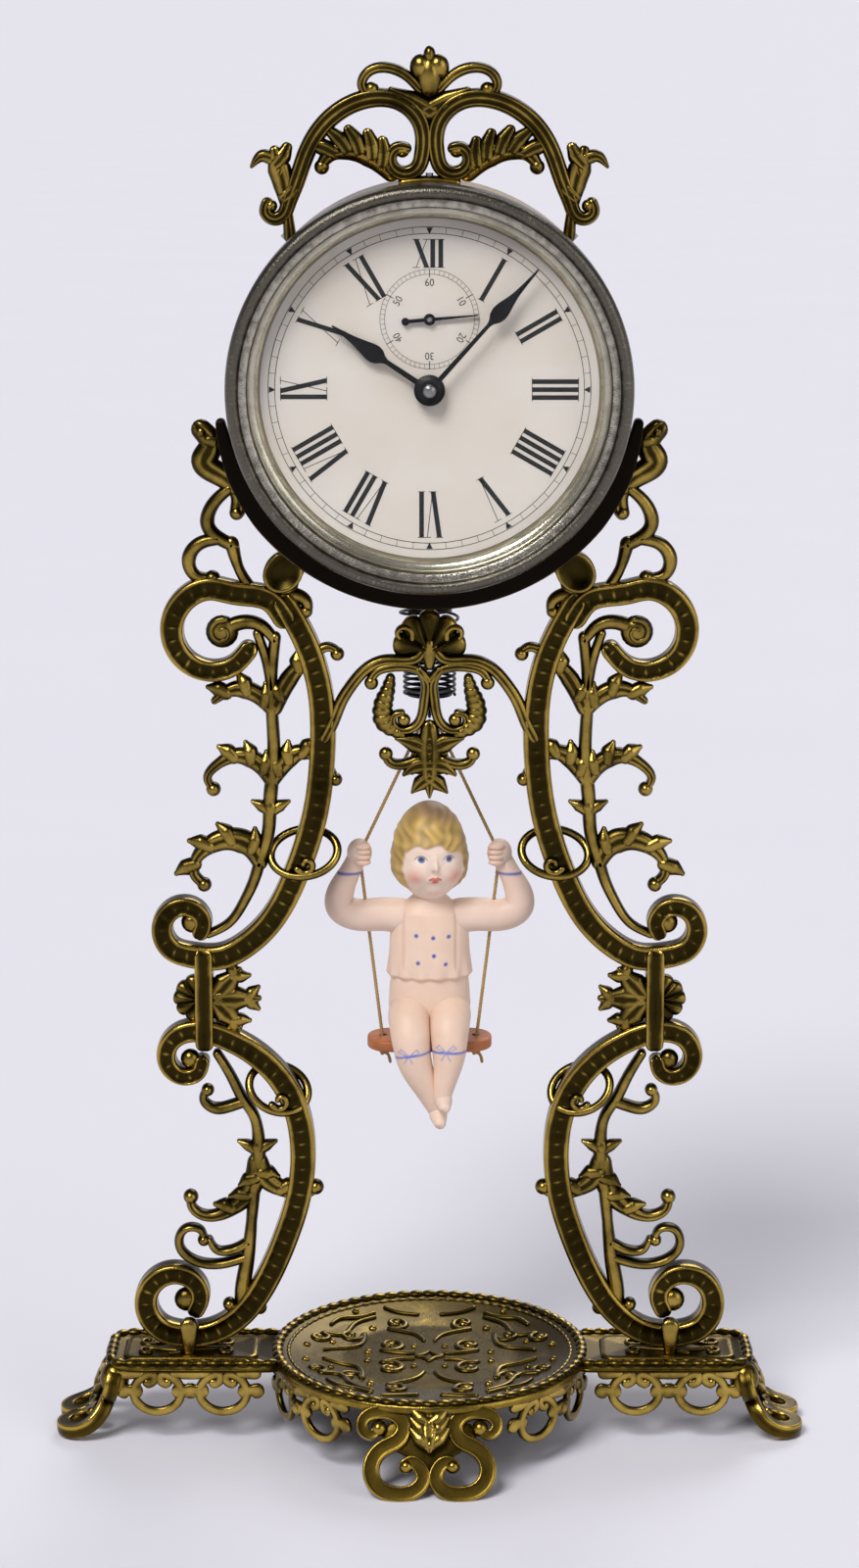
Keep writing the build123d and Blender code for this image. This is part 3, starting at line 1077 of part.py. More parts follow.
RATCHET_TEETH = 18
RATCHET_RADIUS = 6.2
RATCHET_TOOTH = 0.9
RATCHET_Y = GREAT_WHEEL_Y - GREAT_THICK - RUN_CLEAR
CLICK_GAP = 0.25
with BuildPart() as ratchet:
    with BuildSketch(dial_plane(RATCHET_Y, GREAT_X, GREAT_RISE)):
        tips = []
        for count in range(RATCHET_TEETH):
            for radius, share in ((RATCHET_RADIUS, 0.0), (RATCHET_RADIUS - RATCHET_TOOTH, 0.1)):
                angle = radians((count + share) * 360 / RATCHET_TEETH)
                tips.append((radius * cos(angle), radius * sin(angle)))
        ring_face(tips)
        Rectangle(2 * WINDING_RADIUS + 2 * COLLET, 2 * WINDING_RADIUS + 2 * COLLET, mode=Mode.SUBTRACT)
    extrude(amount=WHEEL_THICK)
save(ratchet, "ratchet")

with BuildPart() as click:
    with BuildSketch(dial_plane(GREAT_WHEEL_Y - GREAT_THICK, GREAT_X, GREAT_RISE)):
        nose = RATCHET_RADIUS + CLICK_GAP
        ring_face([(nose, -0.6), (nose + 0.8, 1.6), (nose + 1.0, 7.0), (nose + 3.0, 7.0), (nose + 2.4, 0.4)])
    extrude(amount=WHEEL_THICK)
save(click, "click")

KEY_STEM = 3.3
KEY_STEM_LENGTH = 11.0
KEY_WING = 11.0
KEY_WING_THICK = 2.2
with BuildPart() as winding_arbor:
    with BuildSketch(dial_plane(BACK_PLATE_Y + PLATE_METAL, GREAT_X, GREAT_RISE)):
        Circle(WINDING_RADIUS)
    extrude(amount=BACK_PLATE_Y + PLATE_METAL - FRONT_INSIDE - PIVOT_END)
    with BuildSketch(dial_plane(FRONT_INSIDE + PIVOT_END, GREAT_X, GREAT_RISE)):
        Circle(WINDING_PIVOT)
    extrude(amount=PLATE_METAL)
    with BuildSketch(dial_plane(BACK_PLATE_Y + PLATE_METAL, GREAT_X, GREAT_RISE)):
        Rectangle(WINDING_RADIUS * sqrt(2), WINDING_RADIUS * sqrt(2))
    extrude(amount=BACK_PLATE_Y + PLATE_METAL - DRUM_BACK - BACK_STAND - KEY_STEM_LENGTH / 2)
save(winding_arbor, "winding_arbor")

with BuildPart() as winding_key:
    with BuildSketch(dial_plane(DRUM_BACK + BACK_STAND, GREAT_X, GREAT_RISE)):
        Circle(KEY_STEM)
        Rectangle(WINDING_RADIUS * sqrt(2) + 2 * COLLET, WINDING_RADIUS * sqrt(2) + 2 * COLLET, mode=Mode.SUBTRACT)
    extrude(amount=-KEY_STEM_LENGTH / 2)
    with BuildSketch(dial_plane(DRUM_BACK + BACK_STAND + KEY_STEM_LENGTH / 2, GREAT_X, GREAT_RISE)):
        Circle(KEY_STEM)
    extrude(amount=-KEY_STEM_LENGTH / 2)
    wing_plane = Plane(origin=(GREAT_X, DRUM_BACK + BACK_STAND, CENTRE_Z + GREAT_RISE), x_dir=(1, 0, 0), z_dir=(0, 0, 1))
    with BuildSketch(wing_plane):
        for side in (-1, 1):
            with Locations((side * (KEY_STEM + 3.6), KEY_STEM_LENGTH)):
                Ellipse(KEY_WING - KEY_STEM - 1.6, 5.2)
                Circle(2.4, mode=Mode.SUBTRACT)
        with Locations((0, KEY_STEM_LENGTH - 2)):
            Rectangle(2 * KEY_STEM, 7)
    extrude(amount=KEY_WING_THICK / 2, both=True)
save(winding_key, "winding_key")

MAINSPRING_TURNS = 6
MAINSPRING_STRIP = 0.5
MAINSPRING_OUT = GREAT_MODULE * GREAT_TEETH / 2 - 3.0
MAINSPRING_Y = BACK_PLATE_Y - 1.2
with BuildPart() as mainspring:
    with BuildSketch(dial_plane(MAINSPRING_Y)):
        pillar = Vector(PILLAR_CIRCLE * cos(radians(PILLAR_ANGLES[3])), PILLAR_CIRCLE * sin(radians(PILLAR_ANGLES[3])))
        middle = Vector(GREAT_X, GREAT_RISE)
        away = degrees(atan2((pillar - middle).Y, (pillar - middle).X))
        turns = spiral((GREAT_X, GREAT_RISE), (WINDING_RADIUS + 0.6, MAINSPRING_OUT),
                       (away - 80 - 360 * MAINSPRING_TURNS, away - 80), 8 * MAINSPRING_TURNS + 1)
        toward = (pillar - middle).normalized()
        stop = pillar - toward * (PILLAR_RADIUS + SHIFT_CLEAR + MAINSPRING_STRIP)
        lead = middle + Vector(MAINSPRING_OUT + 1.6, 0).rotate(Axis.Z, away - 40)
        band(turns + [(lead.X, lead.Y), (stop.X, stop.Y)], (MAINSPRING_STRIP, MAINSPRING_STRIP))
    extrude(amount=MAINSPRING_Y - GREAT_WHEEL_Y - 0.8)
save(mainspring, "mainspring")

# Lever that rocks with the doll's bobbing, and the wire that hangs from its tail

LEVER_WIDTH = 2.4
PALLET_GAP = 1.7
LIFT_WIRE = 0.6
with BuildPart() as lever_arbor:
    with BuildSketch(dial_plane(BACK_PLATE_Y + PLATE_METAL - PIVOT_END, LEVER_X, -LEVER_DROP)):
        Circle(FINE_ARBOR)
    extrude(amount=BACK_PLATE_Y + PLATE_METAL - FRONT_PLATE_Y - 2 * PIVOT_END)
save(lever_arbor, "lever_arbor")

with BuildPart() as lever:
    with BuildSketch(dial_plane(ESCAPE_Y)):
        half = LEVER_WIDTH / 2
        clear = ESCAPE_RADIUS + PALLET_GAP
        ring_face([(-half, -LEVER_DROP - half), (LEVER_X, -LEVER_DROP - half), (LEVER_X, -LEVER_DROP + half),
                   (-half, -LEVER_DROP + half)])
        ring_face([(LEVER_X - half, -LEVER_DROP), (LEVER_X + half, -LEVER_DROP),
                   (clear + 3 * half, SECONDS_RISE), (clear + half, SECONDS_RISE)])
        ring_face([(clear + half, SECONDS_RISE - 7), (clear + 3 * half, SECONDS_RISE - 6),
                   (clear + 3 * half, SECONDS_RISE + 6), (clear + half, SECONDS_RISE + 7),
                   (clear, SECONDS_RISE + 5), (clear + half, SECONDS_RISE + 4), (clear + half, SECONDS_RISE - 4),
                   (clear, SECONDS_RISE - 5)])
        with Locations((LEVER_X, -LEVER_DROP)):
            Rectangle(4 * half, 4 * half)
            Rectangle(2 * FINE_ARBOR + 2 * COLLET, 2 * FINE_ARBOR + 2 * COLLET, mode=Mode.SUBTRACT)
    extrude(amount=WHEEL_THICK)
save(lever, "lever")

CAP_RADIUS = SPRING_RADIUS - SPRING_WIRE / 2 - SHIFT_CLEAR
CAP_THICK = 1.2
LEVER_FOOT = CENTRE_Z - LEVER_DROP - LEVER_WIDTH / 2
with BuildPart() as lift_wire:
    with BuildSketch(Plane.XY.offset(SPRING_TOP - CAP_THICK)):
        with Locations((0, SWING_Y)):
            Circle(LIFT_WIRE)
    extrude(amount=LEVER_FOOT - SPRING_TOP + CAP_THICK)
    with BuildSketch(Plane.XY.offset(SPRING_TOP - CAP_THICK)):
        with Locations((0, SWING_Y)):
            Circle(CAP_RADIUS)
    extrude(amount=CAP_THICK)
save(lift_wire, "lift_wire")

# Bobbing spring: open turns above, close turns below, as one wire on quarter-turn pairs of arcs

OPEN_PITCH = (SPRING_LENGTH - CLOSE_TURNS * CLOSE_PITCH) / OPEN_TURNS
QUARTERS = 4 * (OPEN_TURNS + CLOSE_TURNS)


def spring_point(quarter):
    """The wire's middle and its direction after a number of quarter turns from the bottom."""
    turn = quarter / 4
    angle = 2 * pi * turn
    height = CLOSE_PITCH * min(turn, CLOSE_TURNS) + OPEN_PITCH * max(turn - CLOSE_TURNS, 0)
    if turn < CLOSE_TURNS:
        pitch = CLOSE_PITCH
    elif turn > CLOSE_TURNS:
        pitch = OPEN_PITCH
    else:
        pitch = (CLOSE_PITCH + OPEN_PITCH) / 2
    place = Vector(SPRING_RADIUS * cos(angle), SWING_Y + SPRING_RADIUS * sin(angle), SPRING_BOTTOM + height)
    return place, Vector(-sin(angle), cos(angle), pitch / (2 * pi * SPRING_RADIUS)).normalized()


def arc_joint(start, start_way, stop, stop_way):
    """The point where two arcs meet that leave start along its direction and reach stop along its own."""
    across = stop - start
    ways = start_way + stop_way
    share = 2 * (1 - start_way.dot(stop_way))
    along = across.dot(ways)
    reach = (-along + sqrt(along**2 + share * across.dot(across))) / share
    return (start + start_way * reach + stop - stop_way * reach) / 2


with BuildPart() as bob_spring:
    with BuildLine() as wire:
        first, first_way = spring_point(0)
        last, last_way = spring_point(QUARTERS)
        Line(first - first_way * SPRING_WIRE, first)
        for quarter in range(QUARTERS):
            begin, begin_way = spring_point(quarter)
            end, end_way = spring_point(quarter + 1)
            joint = arc_joint(begin, begin_way, end, end_way)
            opening = TangentArc(begin, joint, tangent=begin_way)
            TangentArc(joint, end, tangent=opening % 1)
        Line(last, last + last_way * SPRING_WIRE)
    with BuildSketch(Plane(origin=first - first_way * SPRING_WIRE, x_dir=(0, 0, 1), z_dir=first_way)):
        RegularPolygon(SPRING_WIRE / 2, 8)
    sweep(path=wire.wires()[0])
save(bob_spring, "bob_spring")
COIL_POINTS = [spring_point(step / 6)[0] for step in range(6 * QUARTERS + 1)]
COIL_GAP = min((COIL_POINTS[low] - COIL_POINTS[high]).length for low in range(len(COIL_POINTS))
               for high in range(low + 16, len(COIL_POINTS))) - SPRING_WIRE
print("spring turns", OPEN_TURNS + CLOSE_TURNS, "least gap to itself", round(COIL_GAP, 3))

# Hook in the bottom turn, with the eye that the cord runs over

BEND_RADIUS = EYE_WIRE + CORD_RADIUS + CORD_CLEAR
CORD_SLANT = atan2(HAND_X, HAND_DROP)
EYE_Z = APEX_Z - BEND_RADIUS / sin(CORD_SLANT) + EYE_RADIUS
with BuildPart() as spring_hook:
    with BuildSketch(Plane.XY.offset(SPRING_BOTTOM)):
        with Locations((0, SWING_Y)):
            Circle(CAP_RADIUS)
    extrude(amount=CAP_THICK)
    with BuildSketch(Plane.XY.offset(SPRING_BOTTOM)):
        with Locations((0, SWING_Y)):
            Circle(LIFT_WIRE)
    extrude(amount=EYE_Z + EYE_RADIUS - SPRING_BOTTOM)
    with BuildSketch(Plane(origin=(0, SWING_Y, EYE_Z), x_dir=(0, 1, 0), z_dir=(0, 0, 1))):
        with Locations((EYE_RADIUS, 0)):
            Circle(EYE_WIRE)
    revolve(axis=Axis((0, SWING_Y, EYE_Z), (1, 0, 0)))
save(spring_hook, "spring_hook")

# Cord: one length over the eye, through both hands and down to a knot under each end of the seat

HAND_Z = APEX_Z - HAND_DROP
SEAT_FOOT = SEAT_TOP - SEAT_THICK
HAND_BEND = 3.0
KNOT_RADIUS = 1.5
CORD_ROUTE = [(-SEAT_HOLE_X, SWING_Y, SEAT_FOOT), (-HAND_X, SWING_Y, HAND_Z), (0, SWING_Y, APEX_Z),
              (HAND_X, SWING_Y, HAND_Z), (SEAT_HOLE_X, SWING_Y, SEAT_FOOT)]
CORD_BENDS = [HAND_BEND, BEND_RADIUS, HAND_BEND]

with BuildPart() as swing_cord:
    with BuildLine() as cord_line:
        FilletPolyline(*CORD_ROUTE, radius=CORD_BENDS)
    with BuildSketch(Plane(origin=cord_line.line @ 0, z_dir=cord_line.line % 0)):
        Circle(CORD_RADIUS)
    sweep(path=cord_line.wires()[0])
save(swing_cord, "swing_cord")
print("cord bends", [round(bend, 2) for bend in CORD_BENDS], "length", round(cord_line.wires()[0].length, 1),
      "volume share", round(swing_cord.part.volume / (pi * CORD_RADIUS**2 * cord_line.wires()[0].length), 4))

with BuildPart() as cord_knots:
    with Locations((SEAT_HOLE_X, SWING_Y, SEAT_FOOT - KNOT_RADIUS), (-SEAT_HOLE_X, SWING_Y, SEAT_FOOT - KNOT_RADIUS)):
        Sphere(KNOT_RADIUS)
save(cord_knots, "cord_knots")

with BuildPart() as cord_bore:
    with BuildSketch(Plane(origin=cord_line.line @ 0, z_dir=cord_line.line % 0)):
        Circle(CORD_RADIUS + CORD_CLEAR)
    sweep(path=cord_line.wires()[0])

with BuildPart() as seat:
    with BuildSketch(Plane.XY.offset(SEAT_FOOT)):
        with Locations((0, SWING_Y)):
            RectangleRounded(SEAT_LENGTH, SEAT_DEPTH, SEAT_DEPTH / 2 - 1)
        with Locations((SEAT_HOLE_X, SWING_Y), (-SEAT_HOLE_X, SWING_Y)):
            Circle(CORD_RADIUS + 4 * CORD_CLEAR, mode=Mode.SUBTRACT)
    extrude(amount=SEAT_THICK)
    fillet(seat.faces().filter_by(Axis.Z).edges().filter_by(GeomType.LINE), SEAT_THICK / 4)
save(seat, "seat")

# Doll: heights are over the seat, depths are from the swing's plane, towards the back

TORSO = [(0.0, 11.6, 8.2, 0.4), (8.0, 11.8, 8.2, 0.0), (20.0, 11.0, 7.4, 0.0), (30.0, 10.4, 7.2, 0.0),
         (35.5, 9.0, 6.2, 0.0), (38.0, 5.4, 4.8, -0.4), (41.0, 4.4, 4.4, -0.8)]
HEAD_RADIUS = 10.9
HEAD_HALF_HEIGHT = 14.4
HEAD_RISE = 51.4
HEAD_FORWARD = -1.0
ARM = [((7.5, 0.0, 33.4), (1.0, 0.0, 0.0), 4.6), ((17.0, 0.0, 34.0), (1.0, 0.0, 0.05), 4.4),
       ((24.0, 0.0, 37.4), (0.45, 0.0, 0.9), 4.1), ((22.6, 0.0, 44.0), (-0.35, 0.0, 0.93), 3.4),
       ((20.2, 0.0, 49.0), (-0.4, 0.0, 0.92), 2.7)]
HAND_RADIUS = 3.7
FRONT_LEG = [((5.5, 1.5, 7.4), (0.0, -1.0, 0.0), 5.6), ((5.6, -5.0, 7.0), (0.0, -1.0, -0.1), 5.7),
             ((5.3, -11.4, 3.2), (0.0, -0.7, -0.7), 5.2), ((5.0, -13.2, -4.5), (-0.1, -0.05, -1.0), 4.3),
             ((3.6, -13.7, -13.0), (-0.15, -0.05, -1.0), 2.7)]
CROSSED_LEG = [((-5.5, 1.5, 7.4), (0.0, -1.0, 0.0), 5.6), ((-5.6, -5.0, 7.0), (0.0, -1.0, -0.1), 5.7),
               ((-5.2, -11.4, 3.2), (0.05, -0.7, -0.7), 5.2), ((-3.6, -12.8, -5.0), (0.3, 0.05, -0.95), 4.3),
               ((1.6, -11.6, -16.5), (0.42, 0.05, -0.9), 2.6)]
FEET = [((4.0, -15.8, -15.2), 2.9), ((2.4, -14.0, -19.6), 3.0)]



def doll_point(place, side):
    """A place on the doll in the clock's frame, on the right side or mirrored to the left."""
    return Vector(side * place[0], SWING_Y + place[1], SEAT_TOP + place[2])


def limb(sections, side, across):
    """Adds a limb to the part being built: a loft through circles that are square to its run."""
    circles = []
    for place, way, radius in sections:
        along = Vector(side * way[0], way[1], way[2])
        circles.append(Face(Wire.make_circle(radius, Plane(doll_point(place, side), x_dir=across, z_dir=along))))
    loft(circles)


with BuildPart() as doll:
    for height, half_width, half_depth, back in TORSO:
        with BuildSketch(Plane.XY.offset(SEAT_TOP + height)):
            with Locations((0, SWING_Y + back)):
                Ellipse(half_width, half_depth)
    loft()
    head_plane = Plane(origin=doll_point((0, HEAD_FORWARD, HEAD_RISE), 1), x_dir=(1, 0, 0), z_dir=(0, -1, 0))
    with BuildSketch(head_plane):
        Ellipse(HEAD_RADIUS, HEAD_HALF_HEIGHT)
        with Locations((-HEAD_RADIUS, 0)):
            Rectangle(2 * HEAD_RADIUS, 2 * HEAD_HALF_HEIGHT, mode=Mode.SUBTRACT)
    revolve(axis=Axis(head_plane.origin, (0, 0, 1)))
    for side in (-1, 1):
        limb(ARM, side, (0, 1, 0))
        with Locations(doll_point((HAND_X, 0, SEAT_DROP - HAND_DROP), side)):
            Sphere(HAND_RADIUS)
    limb(FRONT_LEG, 1, (1, 0, 0))
    limb(CROSSED_LEG, 1, (1, 0, 0))
    for place, radius in FEET:
        with Locations(doll_point(place, 1)):
            Sphere(radius)
    add(cord_bore.part, mode=Mode.SUBTRACT)
save(doll, "doll")

print("whole height", round(crest.part.bounding_box().max.Z, 2))
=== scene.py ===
# %% [markdown]
# # A table clock with a doll on a swing
#
# The clock stands on two scrolled legs of cast brass. Its drum lies in a dark collar, and under it a bisque
# doll bobs on a coil spring. The CAD model gives every size and every joint. This lesson dresses it: each
# casting is a profile carried along a scroll, worked out with numpy, and each finish is a small node tree.

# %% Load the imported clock
from math import radians

import bpy
import numpy as np
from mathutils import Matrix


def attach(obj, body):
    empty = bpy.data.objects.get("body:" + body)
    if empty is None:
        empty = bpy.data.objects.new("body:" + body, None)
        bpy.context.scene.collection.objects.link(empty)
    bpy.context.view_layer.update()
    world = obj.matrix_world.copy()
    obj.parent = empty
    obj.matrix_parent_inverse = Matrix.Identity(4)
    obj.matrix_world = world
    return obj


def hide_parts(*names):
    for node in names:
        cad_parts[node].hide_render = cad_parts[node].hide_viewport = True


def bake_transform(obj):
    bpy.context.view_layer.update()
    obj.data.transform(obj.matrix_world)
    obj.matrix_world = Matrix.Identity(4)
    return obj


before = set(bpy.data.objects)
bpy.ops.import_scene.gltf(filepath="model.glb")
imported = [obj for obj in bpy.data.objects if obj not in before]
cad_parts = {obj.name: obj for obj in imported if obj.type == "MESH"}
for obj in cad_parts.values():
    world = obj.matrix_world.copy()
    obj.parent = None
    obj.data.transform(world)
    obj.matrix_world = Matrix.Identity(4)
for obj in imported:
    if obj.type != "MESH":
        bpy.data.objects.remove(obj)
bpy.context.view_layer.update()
MM = 0.001

# %% [markdown]
# ## Camera
#
# The photograph was taken from a little above the dial, looking down. A long lens keeps the drum round. The
# place and the pitch were fitted to the base, the bezel and the dial, so the clock fills the frame as it
# does there.

# %% Camera
CAMERA_PLACE = (0.0, -0.970, 0.395)
CAMERA_PITCH = 12.4
CAMERA_LENS = 85.5


def in_scene(name, data):
    """A new object with this data, in the scene."""
    made = bpy.data.objects.new(name, data)
    bpy.context.scene.collection.objects.link(made)
    return made


camera_data = bpy.data.cameras.new("camera")
camera_data.lens = CAMERA_LENS
camera = in_scene("camera", camera_data)
camera.location = CAMERA_PLACE
camera.rotation_euler = (radians(90 - CAMERA_PITCH), 0, 0)
bpy.context.scene.camera = camera
print("camera lens", CAMERA_LENS, "pitch", CAMERA_PITCH)

# %% [markdown]
# ## Surfaces
#
# Almost everything here is a profile carried along a path. The path is a smooth spline through a few
# points, the profile is a closed ring, and the two together make a grid of points. A casting gathers many
# such grids into one mesh. It also keeps how rubbed each point is, because old brass is bright where hands
# reach and dark where they don't. In a few places the same value holds painted light instead: a painted
# highlight on the collar's outer edge and a painted lift on the backs of the profiles.

# %% Splines
FINE_STEPS = 40


def around(count):
    """Angles at even steps round one turn."""
    return np.linspace(0, 2 * np.pi, count, endpoint=False)


def lengths(points):
    """The distance along a line of points, from its first one to each."""
    return np.r_[0, np.cumsum(np.linalg.norm(np.diff(points, axis=0), axis=1))]


def unit(rows):
    """The same directions, each one long."""
    return rows / np.linalg.norm(rows, axis=1)[:, None]


def run(points, step=0.7, closed=False):
    """Points at even steps along a cubic spline through the given ones, with no bend at its ends.

    Between two knots the spline is knot + t * slope + t^2 / 2 * bend + t^3 / 6 * change of bend, and the
    bends solve the system that keeps the slope unbroken. A closed run repeats a few knots past its ends,
    and goes round once."""
    knots = np.asarray(points, float)
    if closed:
        knots = np.vstack([knots[-3:], knots, knots[:4]])
    chord = lengths(knots)
    gap = np.diff(chord)
    slope = np.diff(knots, axis=0) / gap[:, None]
    inner = np.arange(1, len(knots) - 1)
    system = np.eye(len(knots))
    system[inner, inner - 1] = gap[:-1]
    system[inner, inner] = 2 * (gap[:-1] + gap[1:])
    system[inner, inner + 1] = gap[1:]
    change = np.zeros_like(knots)
    change[1:-1] = 6 * np.diff(slope, axis=0)
    bend = np.linalg.solve(system, change)
    reach = (chord[3], chord[-4]) if closed else (0, chord[-1])
    fine = np.linspace(*reach, FINE_STEPS * len(knots))
    at = np.clip(np.searchsorted(chord, fine, side="right") - 1, 0, len(knots) - 2)
    t, g = (fine - chord[at])[:, None], gap[at][:, None]
    places = (knots[at] + t * (slope[at] - g / 6 * (2 * bend[at] + bend[at + 1])) + t**2 / 2 * bend[at]
              + t**3 / (6 * g) * (bend[at + 1] - bend[at]))
    length = lengths(places)
    count = max(int(length[-1] / step), 6) + 1
    even = np.linspace(0, length[-1], count)[: -1 if closed else None]
    return np.column_stack([np.interp(even, length, column) for column in places.T])


def spiral(centre, radii, angles, count):
    """Points about a centre whose radius runs evenly from one value to another over the angles, in
    degrees."""
    radius = np.linspace(*radii, count)
    angle = np.radians(np.linspace(*angles, count))
    return list(zip(centre[0] + radius * np.cos(angle), centre[1] + radius * np.sin(angle)))


print("points on a trial spiral", len(run(spiral((0, 0), (1, 5), (0, 360), 8))))

# %% Casting meshes
FRONT = (0, -1, 0)
UP = (0, 0, 1)
MIRROR = (-1, 1, 1)


class Casting:
    """Surfaces in millimetres that become one piece, with how rubbed and what colour each point is."""

    def __init__(self):
        self.points, self.rubbed, self.paint, self.faces, self.count = [], [], [], [], 0

    def add(self, points, rubbed, paint, faces):
        """Takes flat arrays of points, values and colours, and faces that count from its own first point."""
        self.points.append(points)
        self.rubbed.append(np.broadcast_to(rubbed, len(points)))
        self.paint.append(np.broadcast_to(paint, (len(points), 3)))
        self.faces += [face + self.count for face in faces]
        self.count += len(points)

    def skin(self, points, rubbed=0.5, paint=(1, 1, 1), loop=False):
        """A grid of rows by columns, each row a closed ring. A loop joins the last row to the first, and
        without it the end rings are shut with a point at their middle. Faces look outwards where columns
        turn left."""
        rows, columns = points.shape[:2]
        index = np.arange(rows * columns).reshape(rows, columns)
        index = np.concatenate([index, index[:, :1]], axis=1)
        index = np.concatenate([index, index[:1]]) if loop else index
        near, far = index[:-1], index[1:]
        faces = [np.stack([near[:, :-1], near[:, 1:], far[:, 1:], far[:, :-1]], axis=-1).reshape(-1, 4)]
        flat = points.reshape(-1, 3)
        value = np.broadcast_to(rubbed, (rows, columns)).reshape(-1)
        colour = np.broadcast_to(paint, (rows, columns, 3)).reshape(-1, 3)
        if not loop:
            middle = np.full(columns, rows * columns)
            first, last = index[0], index[-1]
            faces.append(np.stack([middle, first[1:], first[:-1]], axis=-1))
            faces.append(np.stack([middle + 1, last[:-1], last[1:]], axis=-1))
            flat = np.vstack([flat, points[0].mean(axis=0), points[-1].mean(axis=0)])
            value = np.r_[value, value[:columns].mean(), value[-columns:].mean()]
            colour = np.vstack([colour, colour[:columns].mean(axis=0), colour[-columns:].mean(axis=0)])
        self.add(flat, value, colour, faces)

    def strip(self, points, widths, depths, section, y=0.0, step=0.7, **more):
        """A ribbon that faces the front, on a run through points of x and height, set at one depth."""
        self.skin(*ribbon(upright(run(points, step), y), widths, depths, FRONT, section, **more))

    def leaf(self, points, lobing, widths, depths, section, y=0.0):
        """The lobes that grow from a leaf's rib, as ribbons that face the front. A plain vine has no
        lobing."""
        for path in lobes(points, *lobing) if lobing else []:
            self.skin(*ribbon(upright(path, y), widths, depths, FRONT, section))

    def hoop(self, path, widths, depths, facing, section, **more):
        """A ribbon whose end meets its start."""
        self.skin(*ribbon(path, widths, depths, facing, section, loop=True, **more), loop=True)

    def merge(self, other, flip=(1, 1, 1)):
        """Takes over another casting's surfaces, mirrored where flip has a minus sign, with faces turned to
        suit."""
        turned = np.prod(flip) < 0
        faces = [face[:, ::-1] if turned else face for face in other.faces]
        self.add(np.vstack(other.points) * flip, np.concatenate(other.rubbed), np.vstack(other.paint), faces)

    def pair(self, half):
        """Takes over a casting and its mirror image."""
        self.merge(half)
        self.merge(half, MIRROR)

    def piece(self, name, finish, body, slot, *nodes):
        """Makes the mesh, in metres, and lets it ride on a body and stand for its CAD nodes."""
        mesh = bpy.data.meshes.new(name)
        places = np.vstack(self.points) * MM
        faces = [corner for face in self.faces for corner in face.tolist()]
        mesh.from_pydata(places, [], faces)
        mesh.attributes.new("rubbed", "FLOAT", "POINT").data.foreach_set(
            "value", np.concatenate(self.rubbed).astype(np.float32))
        paint = np.column_stack([np.vstack(self.paint), np.ones(self.count)])
        mesh.attributes.new("paint", "FLOAT_COLOR", "POINT").data.foreach_set("color", paint.ravel())
        mesh.polygons.foreach_set("use_smooth", np.ones(len(faces), bool))
        mesh.materials.append(finish)
        made = in_scene(name, mesh)
        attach(made, body)
        if nodes:
            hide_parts(*nodes)
        reach = places.min(0).round(4), places.max(0).round(4)
        print(name, "points", self.count, "faces", len(faces), "reach", *reach)
        return made


# %% [markdown]
# ## Profiles and ribbons
#
# A superellipse gives both the round section of a vine and the squarer one of a stem. The stems of these
# legs have a raised lip along each edge and a channel between, with a row of small bars in it. Leaves are
# ribbons too: a rib with a groove along it, and pointed lobes that grow from its side. A shell opens like a
# fan from one point.

# %% Profiles
# The backs are brighter than the flanks: plain cast brass, plus painted fill light that lifts the shade
# behind
FLANK_WEAR, FRONT_WEAR, BACK_BRASS_AND_FILL = 0.22, 0.66, 0.52
LIP_WEAR, LIP_SIDE_WEAR, LIP_BACK_BRASS_AND_FILL = 0.92, 0.3, 0.44
LIP_STEP = 0.28


def rounded(power=2.4, columns=14):
    """A closed profile (across, out, rubbed) on |across|^power + |out|^power = 1, most rubbed at its
    front."""
    turn = around(columns)
    across = np.sign(np.cos(turn)) * np.abs(np.cos(turn)) ** (2 / power)
    out = np.sign(np.sin(turn)) * np.abs(np.sin(turn)) ** (2 / power)
    front, back = np.clip(out, 0, 1), np.clip(-out, 0, 1)
    return across, out, FLANK_WEAR + FRONT_WEAR * front**1.5 + BACK_BRASS_AND_FILL * back


def lipped(groove=0.2, lip=0.6, power=5.0, columns=36):
    """A squarish profile whose front is sunk by the groove's share of its depth, except on a lip along each
    edge. The step between them is smooth: t * t * (3 - 2 * t), where t goes from 0 to 1 across it."""
    across, out, _ = rounded(power, columns)
    floor = np.clip((lip + LIP_STEP / 2 - np.abs(across)) / LIP_STEP, 0, 1) * (out > 0)
    floor = floor * floor * (3 - 2 * floor)
    behind = LIP_SIDE_WEAR + LIP_BACK_BRASS_AND_FILL * np.clip(-out, 0, 1)
    return across, out - groove * floor, np.where(out > 0.3, LIP_WEAR - 0.5 * floor, behind)


def veined(depth=0.24, power=2.2, columns=20):
    """A round profile with a narrow groove along the middle of its front, as the rib of a leaf has."""
    across, out, rubbed = rounded(power, columns)
    groove = np.exp(-((across / 0.2) ** 2)) * (out > 0)
    return across, out - depth * groove, np.clip(rubbed + 0.06 - 0.4 * groove, 0, 1)


def grooved(lines=3, power=4, columns=36):
    """A squarish profile whose front carries as many rounded ridges as lines."""
    across, out, _ = rounded(power, columns)
    wave = np.cos(lines * np.pi * across) * (out > 0.3)
    return across, out + 0.1 * (wave - 1) * (out > 0.3), np.where(out > 0.3, 0.56 + 0.32 * wave, 0.3)


def barred(pitch=3.6, thick=0.5, rise=0.4, reach=0.46, shine=0.42):
    """A relief of small bars across a channel, one at each pitch: a bell in length times a bell across."""
    def relief(along, across, out):
        from_bar = ((along / pitch) % 1 - 0.5) * pitch
        bar = np.exp(-((from_bar / thick) ** 2)) * np.exp(-((across / reach) ** 4)) * (out > 0)
        return rise * bar, shine * bar
    return relief


VINE = rounded(2.2)
RIB = veined()
STEM = lipped()
THREAD = rounded(2.0, 8)
ROPE = rounded(2.0, 12)
print("profile points", [len(section[0]) for section in (VINE, RIB, STEM, THREAD, ROPE)])

# %% Ribbons, balls and turned shapes
END_TURNS = np.radians([86, 66, 44, 22])


